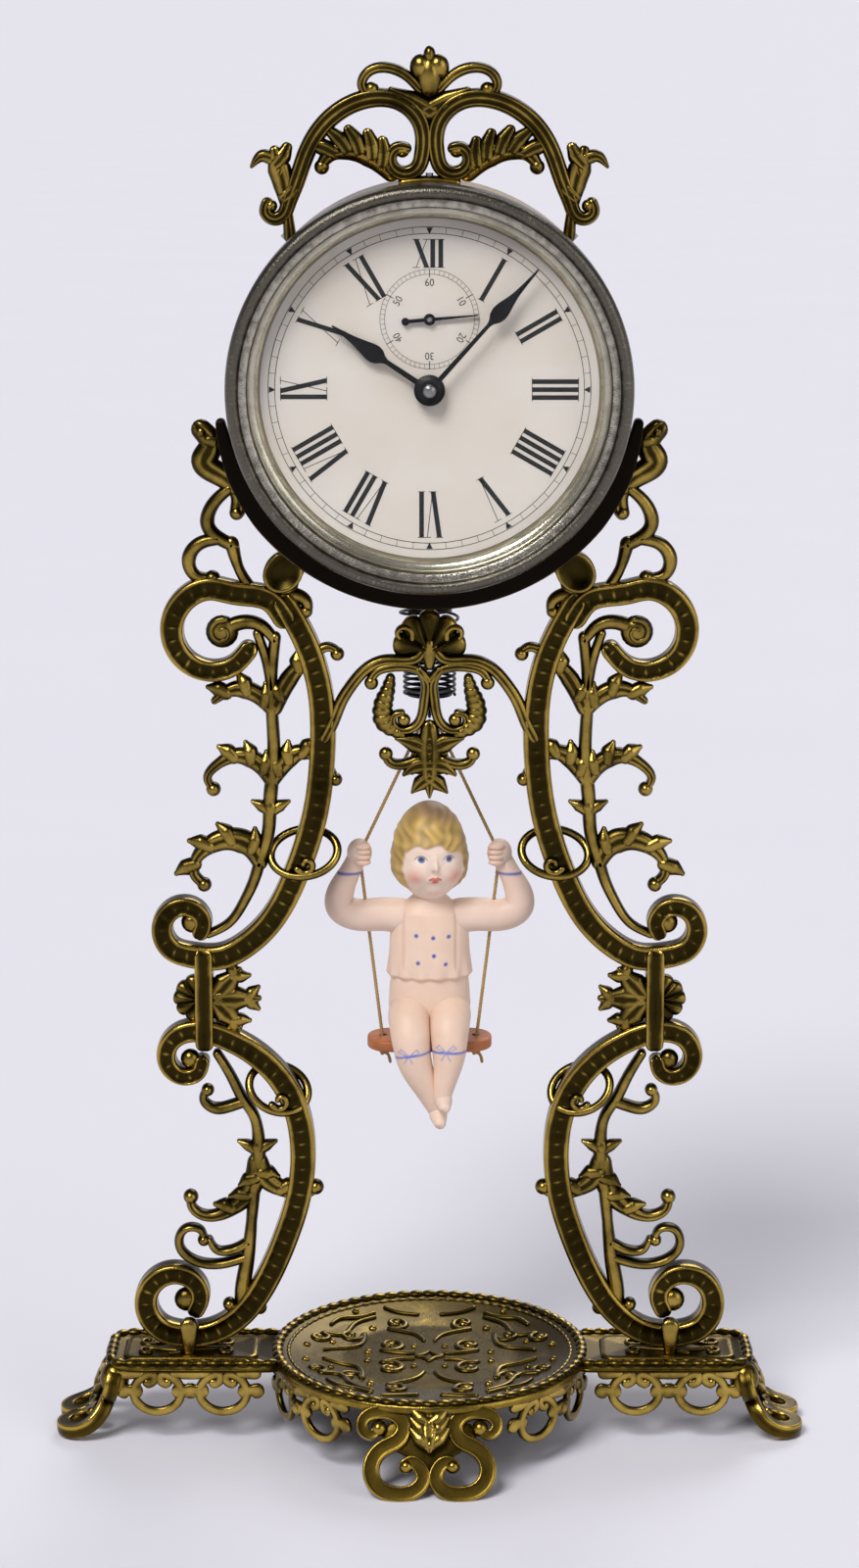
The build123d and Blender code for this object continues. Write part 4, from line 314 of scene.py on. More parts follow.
def ribbon(path, widths, depths, facing, section, relief=None, beads=None, loop=False):
    """A profile carried along a path, as rows of rings, and how rubbed each point is.

    Each point is path + across * half the width there * side + out * half the depth there * facing. Widths
    and depths run evenly through their lists. Open ends are rounded by rings that shrink as a circle does.
    Beads (pitch, size) swell the ribbon in round steps."""
    tangent = np.roll(path, -1, axis=0) - np.roll(path, 1, axis=0) if loop else np.gradient(path, axis=0)
    tangent = unit(tangent)
    facing = np.broadcast_to(np.asarray(facing, float), path.shape)
    facing = unit(facing - (facing * tangent).sum(axis=1)[:, None] * tangent)
    along = lengths(path)
    share = along / along[-1]
    widths, depths = np.atleast_1d(widths), np.atleast_1d(depths)
    half = np.interp(share, np.linspace(0, 1, len(widths)), widths) / 2
    deep = np.interp(share, np.linspace(0, 1, len(depths)), depths) / 2
    if not loop:
        turn, more = END_TURNS, len(END_TURNS)
        path = np.vstack([path[0] - np.outer(np.sin(turn) * half[0], tangent[0]), path,
                          path[-1] + np.outer(np.sin(turn[::-1]) * half[-1], tangent[-1])])
        shrink = np.r_[np.cos(turn), np.ones(len(half)), np.cos(turn[::-1])]
        pad = [(more, more), (0, 0)]
        tangent, facing = np.pad(tangent, pad, "edge"), np.pad(facing, pad, "edge")
        half, deep, along = (np.pad(row, more, "edge") for row in (half, deep, along))
        half, deep = half * shrink, deep * (0.35 + 0.65 * shrink)
    side = np.cross(facing, tangent)
    across, out, rubbed = section
    half = np.repeat(half[:, None], len(across), axis=1)
    if beads:
        pitch, size = beads
        swell = (1 - size + size * np.abs(np.sin(np.pi * along / pitch)) ** 0.7)[:, None]
        half, deep = half * swell, deep * swell[:, 0]
        rubbed = rubbed + 0.5 * (swell - 1)
    lift, shine = relief(along[:, None], across, out) if relief else (0, 0)
    offset = out * deep[:, None] + lift
    points = path[:, None] + (across * half)[..., None] * side[:, None] + offset[..., None] * facing[:, None]
    return points, np.broadcast_to(np.clip(rubbed + shine, 0, 1), points.shape[:2])


def upright(points, y=0.0):
    """Points of a drawing seen from the front, x and height, set at one depth."""
    flat = np.asarray(points, float)
    return np.column_stack([flat[:, 0], np.full(len(flat), y), flat[:, 1]])


def lying(points, height):
    """Points of a plan, x and y, set at one height."""
    return np.column_stack([points, np.full(len(points), height)])


def ball(centre, radii, columns=18):
    """A ball about a centre, as rings from its foot to its top, most rubbed towards the front."""
    rise = np.radians(np.linspace(-88, 88, columns // 2 + 1))[:, None]
    turn = around(columns)
    shape = np.stack([np.cos(rise) * np.cos(turn), np.cos(rise) * np.sin(turn), np.sin(rise) + 0 * turn],
                     axis=-1)
    return np.asarray(centre) + shape * np.broadcast_to(radii, 3), 0.45 + 0.45 * np.clip(-shape[..., 1], 0, 1)


def turned(profile, centre, axis="y", columns=96):
    """A profile of (radius, height) points turned about an axis through a centre, as rings. About y, height
    is -y."""
    turn = around(columns)
    radius, height = np.asarray(profile, float).T
    flat = radius[:, None] * np.cos(turn), radius[:, None] * np.sin(turn)
    rise = np.repeat(height[:, None], columns, axis=1)
    order = (flat[0], -rise, flat[1]) if axis == "y" else (flat[0], flat[1], rise)
    return np.asarray(centre) + np.stack(order, axis=-1)


def lobes(points, count, side, reach, until=0.78):
    """Short runs for the pointed lobes of a leaf, evenly along its own run from near its root until a share
    of it. Each leaves the run half outwards, to the left for side 1 and to the right for -1, and half
    forwards, so that it overlaps the next one's foot."""
    path = run(points, 0.3)
    along = unit(np.gradient(path, axis=0))
    at = (len(path) * np.linspace(0.14, until, count)).astype(int)
    out = side * np.column_stack([-along[at, 1], along[at, 0]])
    bends = [path[at], path[at] + reach * (0.5 * out + 0.35 * along[at]),
             path[at] + reach * (out + 0.9 * along[at])]
    return [run(row, 0.35) for row in np.stack(bends, axis=1)]


def fan(centre, radii, angles, ribs, cut, depth):
    """A shell or a lobed leaf that opens from a centre over some degrees, seen from the front, as rings,
    and how rubbed it is. Across each rib a half wave goes from 0 to 1 and back. The radius is its full size
    times 1 - cut + cut * wave, and the front rises with the wave, so the ribs are round and the edge is
    notched between them."""
    go = np.linspace(0, 1, 12 * ribs + 1)[:, None]
    wave = np.abs(np.sin(np.pi * ribs * go)) ** 0.6
    turn = np.radians(angles[0] + (angles[1] - angles[0]) * go)
    out = np.r_[np.linspace(0.04, 1, 10), np.linspace(1, 0.04, 5)]
    front = np.arange(15) < 10
    reach = out * (1 - cut + cut * wave)
    rise = np.where(front, (0.55 + 0.45 * wave) * (1 - 0.55 * out**4), -0.7)
    places = np.stack([radii[0] * reach * np.cos(turn), -depth / 2 * rise, radii[1] * reach * np.sin(turn)],
                      axis=-1)
    return np.asarray(centre) + places, np.where(front, 0.24 + 0.62 * wave * (0.35 + 0.65 * out), 0.25)


print("points of a ball", ball((0, 0, 0), 1.0)[0].shape)

# %% [markdown]
# ## Finishes
#
# The old brass has three colours: almost black in the hollows, olive brown on the flanks, and gold on the
# edges that were rubbed. One node group mixes them from the rubbed value and some noise, and the nickel and
# the movement use it too, with other colours. A second group mottles the paper, the bisque, the cord and
# the seat.

# %% Node groups
SMOOTH = {"interpolation_type": "SMOOTHSTEP"}


def add_node(tree, kind, settings=(), **inputs):
    """Adds a shader node, sets its options, and sets or links its inputs, whose names have _ for a space."""
    made = tree.nodes.new("ShaderNode" + kind)
    for name, value in dict(settings).items():
        setattr(made, name, value)
    for name, value in inputs.items():
        numbered = name[0] == "i" and name[1:].isdigit()
        socket = made.inputs[int(name[1:]) if numbered else name.replace("_", " ")]
        if isinstance(value, bpy.types.NodeSocket):
            tree.links.new(value, socket)
        else:
            socket.default_value = value
    return made


def new_group(name, inputs, outputs):
    """A shader node group with named sockets, and its input and output nodes."""
    group = bpy.data.node_groups.new(name, "ShaderNodeTree")
    for label, kind in inputs.items():
        group.interface.new_socket(label, in_out="INPUT", socket_type="NodeSocket" + kind)
    for label, kind in outputs.items():
        group.interface.new_socket(label, in_out="OUTPUT", socket_type="NodeSocket" + kind)
    return group, group.nodes.new("NodeGroupInput").outputs, group.nodes.new("NodeGroupOutput").inputs


patina, given, result = new_group(
    "patina", {"Rubbed": "Float", "Dark": "Color", "Middle": "Color", "Bright": "Color", "Scale": "Float"},
    {"Colour": "Color", "Roughness": "Float", "Height": "Float"})
place = add_node(patina, "TexCoord").outputs["Object"]
cloud = add_node(patina, "TexNoise", Vector=place, Scale=given["Scale"], Detail=5.0, Roughness=0.62)
grain = add_node(patina, "TexNoise", Vector=place, Scale=2600.0, Detail=2.0)
stain = add_node(patina, "Math", {"operation": "MULTIPLY_ADD"}, i0=cloud.outputs["Fac"], i1=0.7, i2=-0.35)
level = add_node(patina, "Math", {"operation": "ADD"}, i0=given["Rubbed"], i1=stain.outputs[0])
flank = add_node(patina, "MapRange", SMOOTH, Value=level.outputs[0], From_Min=0.12, From_Max=0.55)
edge = add_node(patina, "MapRange", SMOOTH, Value=level.outputs[0], From_Min=0.62, From_Max=1.02)
hollow = add_node(patina, "MixRGB", Fac=flank.outputs[0], Color1=given["Dark"], Color2=given["Middle"])
worn = add_node(patina, "MixRGB", Fac=edge.outputs[0], Color1=hollow.outputs[0], Color2=given["Bright"])
gloss = add_node(patina, "MapRange", Value=level.outputs[0], From_Min=0.0, From_Max=1.0, To_Min=0.40,
                 To_Max=0.20)
patina.links.new(worn.outputs[0], result["Colour"])
patina.links.new(gloss.outputs[0], result["Roughness"])
patina.links.new(grain.outputs["Fac"], result["Height"])

mottle, given, result = new_group(
    "mottle", {"Colour": "Color", "Tone": "Color", "Amount": "Float", "Scale": "Float", "Stretch": "Vector"},
    {"Colour": "Color", "Height": "Float"})
place = add_node(mottle, "TexCoord").outputs["Object"]
spread = add_node(mottle, "VectorMath", {"operation": "MULTIPLY"}, i0=place, i1=given["Stretch"])
blotch = add_node(mottle, "TexNoise", Vector=spread.outputs[0], Scale=given["Scale"], Detail=6.0,
                  Roughness=0.6)
share = add_node(mottle, "MapRange", Value=blotch.outputs["Fac"], From_Min=0.35, From_Max=0.75, To_Min=0.0,
                 To_Max=given["Amount"])
blend = add_node(mottle, "MixRGB", Fac=share.outputs[0], Color1=given["Colour"], Color2=given["Tone"])
mottle.links.new(blend.outputs[0], result["Colour"])
mottle.links.new(blotch.outputs["Fac"], result["Height"])
print("node groups", [group.name for group in bpy.data.node_groups])

# %% Materials


def new_material(name):
    """A material with an empty tree but for its shader, and that tree and shader."""
    made = bpy.data.materials.new(name)
    made.use_nodes = True
    return made, made.node_tree, made.node_tree.nodes["Principled BSDF"]


def dress(tree, shader, group, bump, distance):
    """Links a group's colour to a shader, and its height as a fine bump."""
    tree.links.new(group.outputs["Colour"], shader.inputs["Base Color"])
    ripple = add_node(tree, "Bump", Strength=bump, Distance=distance, Height=group.outputs["Height"])
    tree.links.new(ripple.outputs[0], shader.inputs["Normal"])


def metal(name, dark, middle, bright, scale, rubbed=None, bump=0.12):
    """A metal with the patina group. Its rubbed value is read from the piece, or is one value for a CAD
    node."""
    made, tree, shader = new_material(name)
    group = add_node(tree, "Group", {"node_tree": patina}, Dark=(*dark, 1), Middle=(*middle, 1),
                     Bright=(*bright, 1), Scale=scale)
    if rubbed is None:
        kept = add_node(tree, "Attribute", {"attribute_name": "rubbed"})
        tree.links.new(kept.outputs["Fac"], group.inputs["Rubbed"])
    else:
        group.inputs["Rubbed"].default_value = rubbed
    tree.links.new(group.outputs["Roughness"], shader.inputs["Roughness"])
    shader.inputs["Metallic"].default_value = 1.0
    dress(tree, shader, group, bump, 0.0004)
    return made


def mottled(name, tone, amount, scale, roughness, colour=None, stretch=(1, 1, 1), bump=0.1):
    """A dull finish with the mottle group over one colour, or over the colours painted on the piece."""
    made, tree, shader = new_material(name)
    group = add_node(tree, "Group", {"node_tree": mottle}, Tone=(*tone, 1), Amount=amount, Scale=scale,
                     Stretch=stretch)
    if colour is None:
        kept = add_node(tree, "Attribute", {"attribute_name": "paint"})
        tree.links.new(kept.outputs["Color"], group.inputs["Colour"])
    else:
        group.inputs["Colour"].default_value = (*colour, 1)
    shader.inputs["Roughness"].default_value = roughness
    dress(tree, shader, group, bump, 0.0003)
    return made, shader


cast_brass = metal("cast_brass", (0.004, 0.0028, 0.0008), (0.034, 0.0235, 0.005), (0.43, 0.295, 0.062), 90.0)
base_brass = metal("base_brass", (0.007, 0.0046, 0.001), (0.092, 0.06, 0.0095), (0.50, 0.335, 0.058), 90.0)
fret_brass = metal("fret_brass", (0.012, 0.008, 0.002), (0.10, 0.067, 0.0125), (0.60, 0.415, 0.09), 120.0)
# The collar's near-black is dark patina and painted shade together
collar_patina_and_shade = metal("collar_patina_and_shade", (0.008, 0.006, 0.004), (0.022, 0.016, 0.009), (0.36, 0.25, 0.08), 60.0)
drum_brass = metal("drum_brass", (0.05, 0.032, 0.008), (0.30, 0.20, 0.05), (0.62, 0.44, 0.14), 40.0,
                   rubbed=0.62)
old_nickel = metal("old_nickel", (0.022, 0.019, 0.014), (0.118, 0.107, 0.084), (0.47, 0.44, 0.37), 420.0,
                   bump=0.35)
sight_metal = metal("sight_metal", (0.09, 0.078, 0.05), (0.34, 0.31, 0.22), (0.72, 0.68, 0.54), 160.0)
train_brass = metal("train_brass", (0.2, 0.13, 0.03), (0.55, 0.39, 0.12), (0.78, 0.6, 0.25), 200.0,
                    rubbed=0.6)
bright_steel = metal("bright_steel", (0.12, 0.12, 0.12), (0.36, 0.36, 0.37), (0.6, 0.6, 0.62), 300.0,
                     rubbed=0.7)
spring_black = metal("spring_black", (0.004, 0.004, 0.005), (0.014, 0.014, 0.016), (0.09, 0.09, 0.1), 400.0,
                     rubbed=0.45)

hand_black, hand_shader = mottled("hand_black", (0.012, 0.012, 0.014), 0.5, 500.0, 0.5,
                                  colour=(0.003, 0.003, 0.004))
hand_shader.inputs["Specular IOR Level"].default_value = 0.25
dial_ink, _ = mottled("dial_ink", (0.03, 0.028, 0.026), 0.4, 900.0, 0.7, colour=(0.006, 0.006, 0.007))
dial_paper, _ = mottled("dial_paper", (0.58, 0.47, 0.33), 0.4, 55.0, 0.8, colour=(0.70, 0.655, 0.60))
bisque, bisque_shader = mottled("bisque", (0.60, 0.40, 0.28), 0.3, 110.0, 0.5)
bisque_shader.inputs["Subsurface Weight"].default_value = 0.12
bisque_shader.inputs["Subsurface Radius"].default_value = (1.0, 0.45, 0.25)
bisque_shader.inputs["Subsurface Scale"].default_value = 0.002
seat_wood, _ = mottled("seat_wood", (0.10, 0.03, 0.012), 0.6, 210.0, 0.5, colour=(0.47, 0.145, 0.038),
                       stretch=(0.3, 1, 3))
cord_thread, _ = mottled("cord_thread", (0.2, 0.12, 0.04), 0.6, 1500.0, 0.85, colour=(0.45, 0.29, 0.10))

clock_glass, glass_tree, glass_shader = new_material("clock_glass")
glass_shader.inputs["Transmission Weight"].default_value = 1.0
glass_shader.inputs["Roughness"].default_value = 0.0
glass_shader.inputs["IOR"].default_value = 1.14
clear = add_node(glass_tree, "BsdfTransparent")
light_way = add_node(glass_tree, "LightPath")
both = add_node(glass_tree, "MixShader", Fac=light_way.outputs["Is Shadow Ray"], i1=glass_shader.outputs[0],
                i2=clear.outputs[0])
glass_tree.links.new(both.outputs[0], glass_tree.nodes["Material Output"].inputs["Surface"])
print("materials", [made.name for made in bpy.data.materials])

# %% [markdown]
# ## The swing's cord
#
# One length of thread runs from a knot under the seat, up through a hand, over the eye of the hook, and
# down through the other hand to a second knot. It is drawn taut by the doll's weight. A smooth spline takes
# its corners, with two points at the top where it lies over the wire. The thread itself is three strands
# laid together, so the tube's ring has three lobes, which turn as they go along.

# %% Cord
SWING_Y = 12.3
CORD_POINTS = [(-12.6, 105.7), (-18.3, 153.7), (-19.0, 159.7), (-16.4, 165.1), (-2.5, 194.8), (-1.1, 198.75),
               (1.1, 198.75), (2.5, 194.8), (16.4, 165.1), (19.0, 159.7), (18.3, 153.7), (12.6, 105.7)]
CORD_DIAMETER = 1.0
STRANDS = 3
STRAND_TURN = 3.2
STRAND_STEP = 0.4
KNOT_X, KNOT_Z = CORD_POINTS[-1][0], 104.25
KNOT_SCALE = (0.32, 0.32, 0.7)
TAIL = [(0, 0, 104.4), (1.2, -0.6, 103.3), (1.8, -0.4, 101.2)]
TAIL_WIDTHS = (1.0, 0.8, 0.9)

line_data = bpy.data.curves.new("cord_line", "CURVE")
line_data.dimensions = "3D"
spline = line_data.splines.new("NURBS")
spline.points.add(len(CORD_POINTS) - 1)
control = np.column_stack([upright(CORD_POINTS, SWING_Y) * MM, np.ones(len(CORD_POINTS))])
spline.points.foreach_set("co", control.ravel())
spline.order_u = 3
spline.use_endpoint_u = True
spline.resolution_u = 24
line = in_scene("cord_line", line_data)
line_mesh = bpy.data.meshes.new_from_object(line)
cord_line = np.array([vertex.co for vertex in line_mesh.vertices], float) / MM
bpy.data.objects.remove(line)

fine_line = run(cord_line, STRAND_STEP)
side = np.cross(FRONT, unit(np.gradient(fine_line, axis=0)))
strand_turn = around(12)
twist = 2 * np.pi * STRAND_STEP * np.arange(len(fine_line))[:, None] / STRAND_TURN
lobe = CORD_DIAMETER / 2 * (0.88 + 0.12 * np.cos(STRANDS * strand_turn - STRANDS * twist))
thread = Casting()
thread.skin(fine_line[:, None] + (lobe * np.cos(strand_turn))[..., None] * side[:, None]
            + (lobe * np.sin(strand_turn))[..., None] * np.array(FRONT))
swing_thread = thread.piece("swing_thread", cord_thread, "swing", "cord_tan", "swing_cord")

knots = Casting()
for knot_x in (-KNOT_X, KNOT_X):
    # Over and under itself: a trefoil, three turns about the ring while it goes round twice
    go = around(60)
    trefoil = np.column_stack([np.sin(go) + 2 * np.sin(2 * go), np.cos(go) - 2 * np.cos(2 * go),
                               -np.sin(3 * go)])
    knots.hoop(np.array((knot_x, SWING_Y, KNOT_Z)) + trefoil * KNOT_SCALE, CORD_DIAMETER, CORD_DIAMETER,
               (0.3, 0.2, 1), THREAD)
    tail = run(np.array(TAIL) + (knot_x, SWING_Y, 0))
    knots.skin(*ribbon(tail, TAIL_WIDTHS, TAIL_WIDTHS, FRONT, THREAD))
thread_knots = knots.piece("thread_knots", cord_thread, "swing", "cord_tan", "cord_knots")
print("cord length in mm", round(lengths(cord_line)[-1], 1))

# %% [markdown]
# ## Legs
#
# Each leg is one brass casting: two long stems with beaded channels, curled into volutes, and a vine that
# climbs between them with leaves, buds and a cup where it branches. Points are x from the middle of the
# clock and the height over the base's top, for the right leg. The left one is its mirror image. A leaf is
# its rib and a few pointed lobes that grow from one side of it, so a row says how many, on which side and
# how long.

# %% Leg stems
BASE_TOP = 22.5
STEM_DEPTH = 7.0
LEG_STEMS = [
    ([(38.5, 204.5), (42.0, 209.0)] + spiral((57.0, 200.8), (11.6, 10.4), (118, -150), 9), (6.2, 6.4, 5.2)),
    ([(38.0, 208.0), (33.0, 198.5), (29.0, 184.5), (28.5, 168.0), (30.5, 151.5), (35.5, 135.5), (42.5, 122.0),
      (49.0, 115.5), (56.5, 111.8)] + spiral((65.0, 120.4), (8.2, 3.8), (-95, 205), 9),
     (6.4, 7.0, 7.0, 6.8, 4.6)),
    (spiral((64.9, 83.2), (3.4, 8.0), (195, 455), 8)
     + [(54.5, 89.0), (47.0, 84.5), (40.0, 77.0), (35.8, 67.5), (34.5, 57.0), (35.5, 45.5), (38.8, 34.0),
        (44.0, 21.5), (51.0, 11.0), (59.0, 5.4)] + spiral((69.0, 14.6), (10.3, 5.6), (-95, 210), 9),
     (4.2, 6.4, 7.0, 7.0, 6.8, 6.6, 5.0)),
]


def over_base(points):
    """Leg points, with heights over the base's top, as heights over the table."""
    return [(x, rise + BASE_TOP) for x, rise in points]


leg = Casting()
for points, widths in LEG_STEMS:
    leg.strip(over_base(points), widths, STEM_DEPTH, STEM, step=0.4, relief=barred())
print("leg surfaces", len(leg.points))

# %% Leg vines, leaves and buds
VINE_DEPTH = 4.6
VINE_FULLNESS = 1.3
LEAF_FULLNESS = 1.75
LOBE_WIDTHS = (4.2, 4.6, 1.5)
LOBE_DEPTHS = (4.8, 4.4, 2.0)
LOBE_Y, BUD_Y = -0.3, -0.4
SWIRL = spiral((54.8, 200.6 + BASE_TOP), (0.8, 3.5), (60, 460), 14)
SWIRL_WIDTHS, SWIRL_DEPTH, SWIRL_Y = (1.0, 1.6, 2.0), 1.8, -2.3
VINES = [
    ([(40.8, 199.0), (42.0, 185.0), (41.5, 166.0), (42.6, 154.0), (43.0, 147.0), (45.8, 137.0)],
     (2.4, 2.6, 3.0, 2.6), None),
    ([(45.5, 200.0), (43.0, 192.0), (41.8, 185.0)], (2.0, 2.4), None),
    ([(40.8, 198.0), (45.5, 202.6), (51.0, 202.6), (54.5, 200.6)], (2.2, 3.0, 3.4), None),
    ([(41.0, 209.5), (36.5, 210.3), (32.6, 208.6), (32.2, 205.8)], (3.0, 3.2, 2.0), None),
    ([(42.0, 180.0), (46.5, 184.0), (52.0, 185.0), (57.0, 182.0)], (2.4, 3.0, 1.2), (3, 1, 3.6)),
    ([(41.2, 180.0), (36.0, 189.5), (30.5, 194.6), (26.4, 196.4), (24.0, 194.8)],
     (2.6, 2.9, 1.8, 1.3), (2, -1, 3.0, 0.5)),
    ([(42.0, 160.5), (45.0, 164.5), (50.5, 167.0), (56.5, 164.6), (59.2, 160.8), (57.9, 158.2)],
     (2.6, 3.0, 1.7, 1.2), (3, 1, 3.4, 0.5)),
    ([(42.0, 160.5), (38.8, 164.8), (34.5, 167.9), (28.5, 165.8), (25.2, 161.0)],
     (2.6, 3.0, 1.8, 1.2), (3, -1, 3.4, 0.5)),
    ([(45.5, 138.0), (48.3, 142.5), (53.5, 144.2), (59.0, 142.4), (62.8, 138.0), (63.0, 134.6),
      (60.6, 132.0)],
     (2.6, 4.0, 3.2, 1.8, 1.6), (4, 1, 4.0)),
    ([(45.5, 138.0), (47.0, 133.0), (49.8, 127.0), (54.0, 121.0), (59.5, 118.0)], (2.6, 2.2, 1.8), None),
    ([(59.6, 254.0), (57.2, 249.8), (59.0, 246.0), (54.5, 242.0), (49.8, 236.8), (50.4, 232.6)],
     (3.2, 4.0, 3.4, 2.4), (2, -1, 2.6)),
    ([(52.5, 238.6), (57.2, 233.8), (58.2, 228.6), (55.0, 225.2), (51.8, 223.6)], (2.4, 3.0, 2.8), None),
    ([(55.5, 225.2), (60.8, 223.8), (63.4, 219.6), (61.8, 215.6), (57.4, 214.8)], (2.6, 3.0, 2.2), None),
    ([(52.0, 224.0), (49.8, 216.5), (47.0, 212.0)], (3.0, 2.2, 2.4), None),
    ([(57.5, 84.5), (53.5, 77.5), (50.8, 72.0), (48.0, 67.5), (46.6, 60.5), (46.8, 53.5)],
     (2.0, 2.4, 2.4, 3.4), None),
    ([(50.5, 71.0), (54.5, 69.6), (58.6, 69.2), (61.4, 71.8), (60.6, 74.4)], (2.6, 2.6, 1.6), None),
    ([(46.8, 53.5), (44.8, 49.4), (39.5, 45.8), (33.6, 44.8), (31.0, 46.4)],
     (3.4, 3.2, 2.0, 1.4), (2, -1, 3.4, 0.5)),
    ([(46.8, 53.5), (49.4, 45.0), (54.4, 40.4), (60.8, 38.4), (64.8, 40.8), (65.4, 43.8)],
     (3.4, 3.2, 2.0, 1.4), (3, 1, 3.4, 0.5)),
    ([(47.6, 50.0), (48.8, 36.0), (50.2, 24.5), (51.4, 15.0), (51.0, 11.0)], (3.0, 2.4, 3.2, 3.6), None),
    ([(49.4, 31.0), (54.6, 28.4), (58.6, 28.8), (60.2, 31.6)], (2.4, 2.2, 1.4), None),
    ([(50.4, 26.5), (57.0, 24.6), (64.6, 25.6), (68.6, 30.2), (66.6, 34.8), (62.6, 34.2), (61.8, 31.4)],
     (2.2, 2.2, 2.0, 1.6), None),
]
BUDS = [(54.8, 200.6, 4.4), (32.6, 206.0, 1.8), (24.4, 194.6, 1.9), (57.6, 158.0, 2.0), (25.0, 160.6, 1.8),
        (60.4, 131.8, 2.0), (50.6, 232.2, 2.0), (57.2, 214.8, 2.2), (59.6, 253.6, 1.7), (60.2, 74.4, 1.8),
        (31.0, 46.8, 2.2), (65.2, 44.0, 2.1), (61.8, 31.6, 1.8), (63.8, 121.4, 3.0), (64.8, 83.2, 2.7),
        (66.8, 14.4, 3.4), (46.6, 12.0, 1.9), (55.0, 13.0, 1.9)]

for points, widths, lobing in VINES:
    full = (LEAF_FULLNESS if lobing else VINE_FULLNESS) * np.array(widths)
    leg.strip(over_base(points), full, VINE_DEPTH, RIB if lobing else VINE, step=0.5)
    leg.leaf(over_base(points), lobing, LOBE_WIDTHS, LOBE_DEPTHS, VINE, LOBE_Y)
for x, rise, radius in BUDS:
    leg.skin(*ball((x, BUD_Y, rise + BASE_TOP), (radius, min(radius + 0.9, 2.6), radius)))
leg.strip(SWIRL, SWIRL_WIDTHS, SWIRL_DEPTH, VINE, SWIRL_Y, 0.4)
print("leg surfaces", len(leg.points))

# %% [markdown]
# The vine's other parts are the cups where it branches, the two rings that bind it to the stems, the clasp
# with its leaf and shell between the upper and the lower half, and the peg that fixes the foot to the base.
# A ring leans, so it passes before the stem at its lower side and behind it at its upper side, as a real
# binding does. The leaf and the shell open like fans from behind the clasp.

# %% Leg cups, rings and clasp
CUPS = [(42.4, 176.4, 4.8), (46.9, 81.6, 5.0)]
CUP_ARM = ((3.2, 3.4, 1.2), (4.4, 3.8, 2.4))  # widths and depths, as in the next rows
CUP_STALK = ((2.8, 4.6, 2.2), (4.6, 5.4, 4.0))
RINGS = [((33.6, 162.9), (9.0, 5.6), -8), ((41.0, 97.1), (8.2, 5.4), 20)]
RING_KNOT = ((1.6, 1.9, 2.2), 3.0)
RING_BAND = 2.3
RING_LEAN = 4.0
CLASP_X = 60.8
CLASP_Z = (108.5, 136.9)
CLASP_LEAVES = ((132, 10.6), (180, 12.2), (228, 10.6))
CLASP_RIB = ((4.6, 7.4, 1.8), (5.0, 4.8, 2.2))
CLASP_LOBE = ((3.8, 3.8, 1.4), (4.4, 4.0, 2.0))
PEG = [(66.0, BASE_TOP + 0.6), (66.0, 26.5), (66.0, 30.0)]

for x, z, half in CUPS:
    for side in (-1, 1):
        arm = [(x + side * 0.6, z - 1.8), (x + side * 2.4, z - 0.6), (x + side * half, z + 0.6)]
        leg.strip(arm, *CUP_ARM, VINE)
    leg.strip([(x, z - 3.2), (x, z - 0.4), (x, z + 1.6)], *CUP_STALK, VINE)
for (x, z), (wide, tall), turn in RINGS:
    go = around(96)
    flat = np.column_stack([wide * np.cos(go), tall * np.sin(go)])
    lean = np.radians(turn)
    ring_x = x + flat[:, 0] * np.cos(lean) - flat[:, 1] * np.sin(lean)
    ring_z = z + flat[:, 0] * np.sin(lean) + flat[:, 1] * np.cos(lean)
    path = np.column_stack([ring_x, RING_LEAN * np.sin(go), ring_z])
    leg.hoop(path, RING_BAND, RING_BAND, FRONT, ROPE)
    leg.strip(spiral((x - 0.6, z - 2.4), (0.8, 2.6), (20, 330), 9), *RING_KNOT, VINE, -3.5, 0.4)

middle = sum(CLASP_Z) / 2
clasp = [(CLASP_X, CLASP_Z[0] + 2), (CLASP_X, middle), (CLASP_X, CLASP_Z[1] - 2)]
leg.strip(clasp, 5.0, 8.4, lipped(0.1, 0.62, 8, 36))
for angle, length in CLASP_LEAVES:
    way = np.array((np.cos(np.radians(angle)), np.sin(np.radians(angle))))
    leaf_rib = [np.array((CLASP_X - 2.4, middle)) + share * length * way for share in (0.0, 0.5, 1.0)]
    leg.strip(leaf_rib, *CLASP_RIB, RIB, -0.6, 0.4)
    for side in (-1, 1):
        leg.leaf(leaf_rib, (2, side, 3.0), *CLASP_LOBE, VINE, -0.2)
leg.skin(*fan((CLASP_X + 1.0, -0.2, middle), (7.4, 6.6), (-86, 86), 5, 0.1, 4.6))
leg.strip(PEG, (3.0, 4.4, 5.2), 4.0, rounded(4.5, 24), -3.6)
print("leg surfaces", len(leg.points))

# %% [markdown]
# The leg meets the collar at a lug: a tongue goes behind the collar to the screw, and below the collar's
# edge shows an egg-shaped disc with a hollowed face. The finished leg is merged twice, once mirrored.

# %% Lugs, and both legs
LUG = (38.42, 239.33)
LUG_TURN = np.radians(-52.0)
LUG_LONG = 1.2
LUG_Y = -1.7
LUG_TONGUE = [(38.0, 229.5), (37.4, 236.8), (34.7, 244.1)]
LUG_FACE = [(0.05, -2.2), (4.4, -2.2), (5.0, -1.4), (5.0, 1.4), (4.6, 2.1), (4.0, 1.9), (3.0, 1.0),
            (1.5, 0.5), (0.05, 0.4)]
LUG_SHINE = np.array([0.3, 0.3, 0.4, 0.6, 0.9, 0.66, 0.4, 0.46, 0.5])

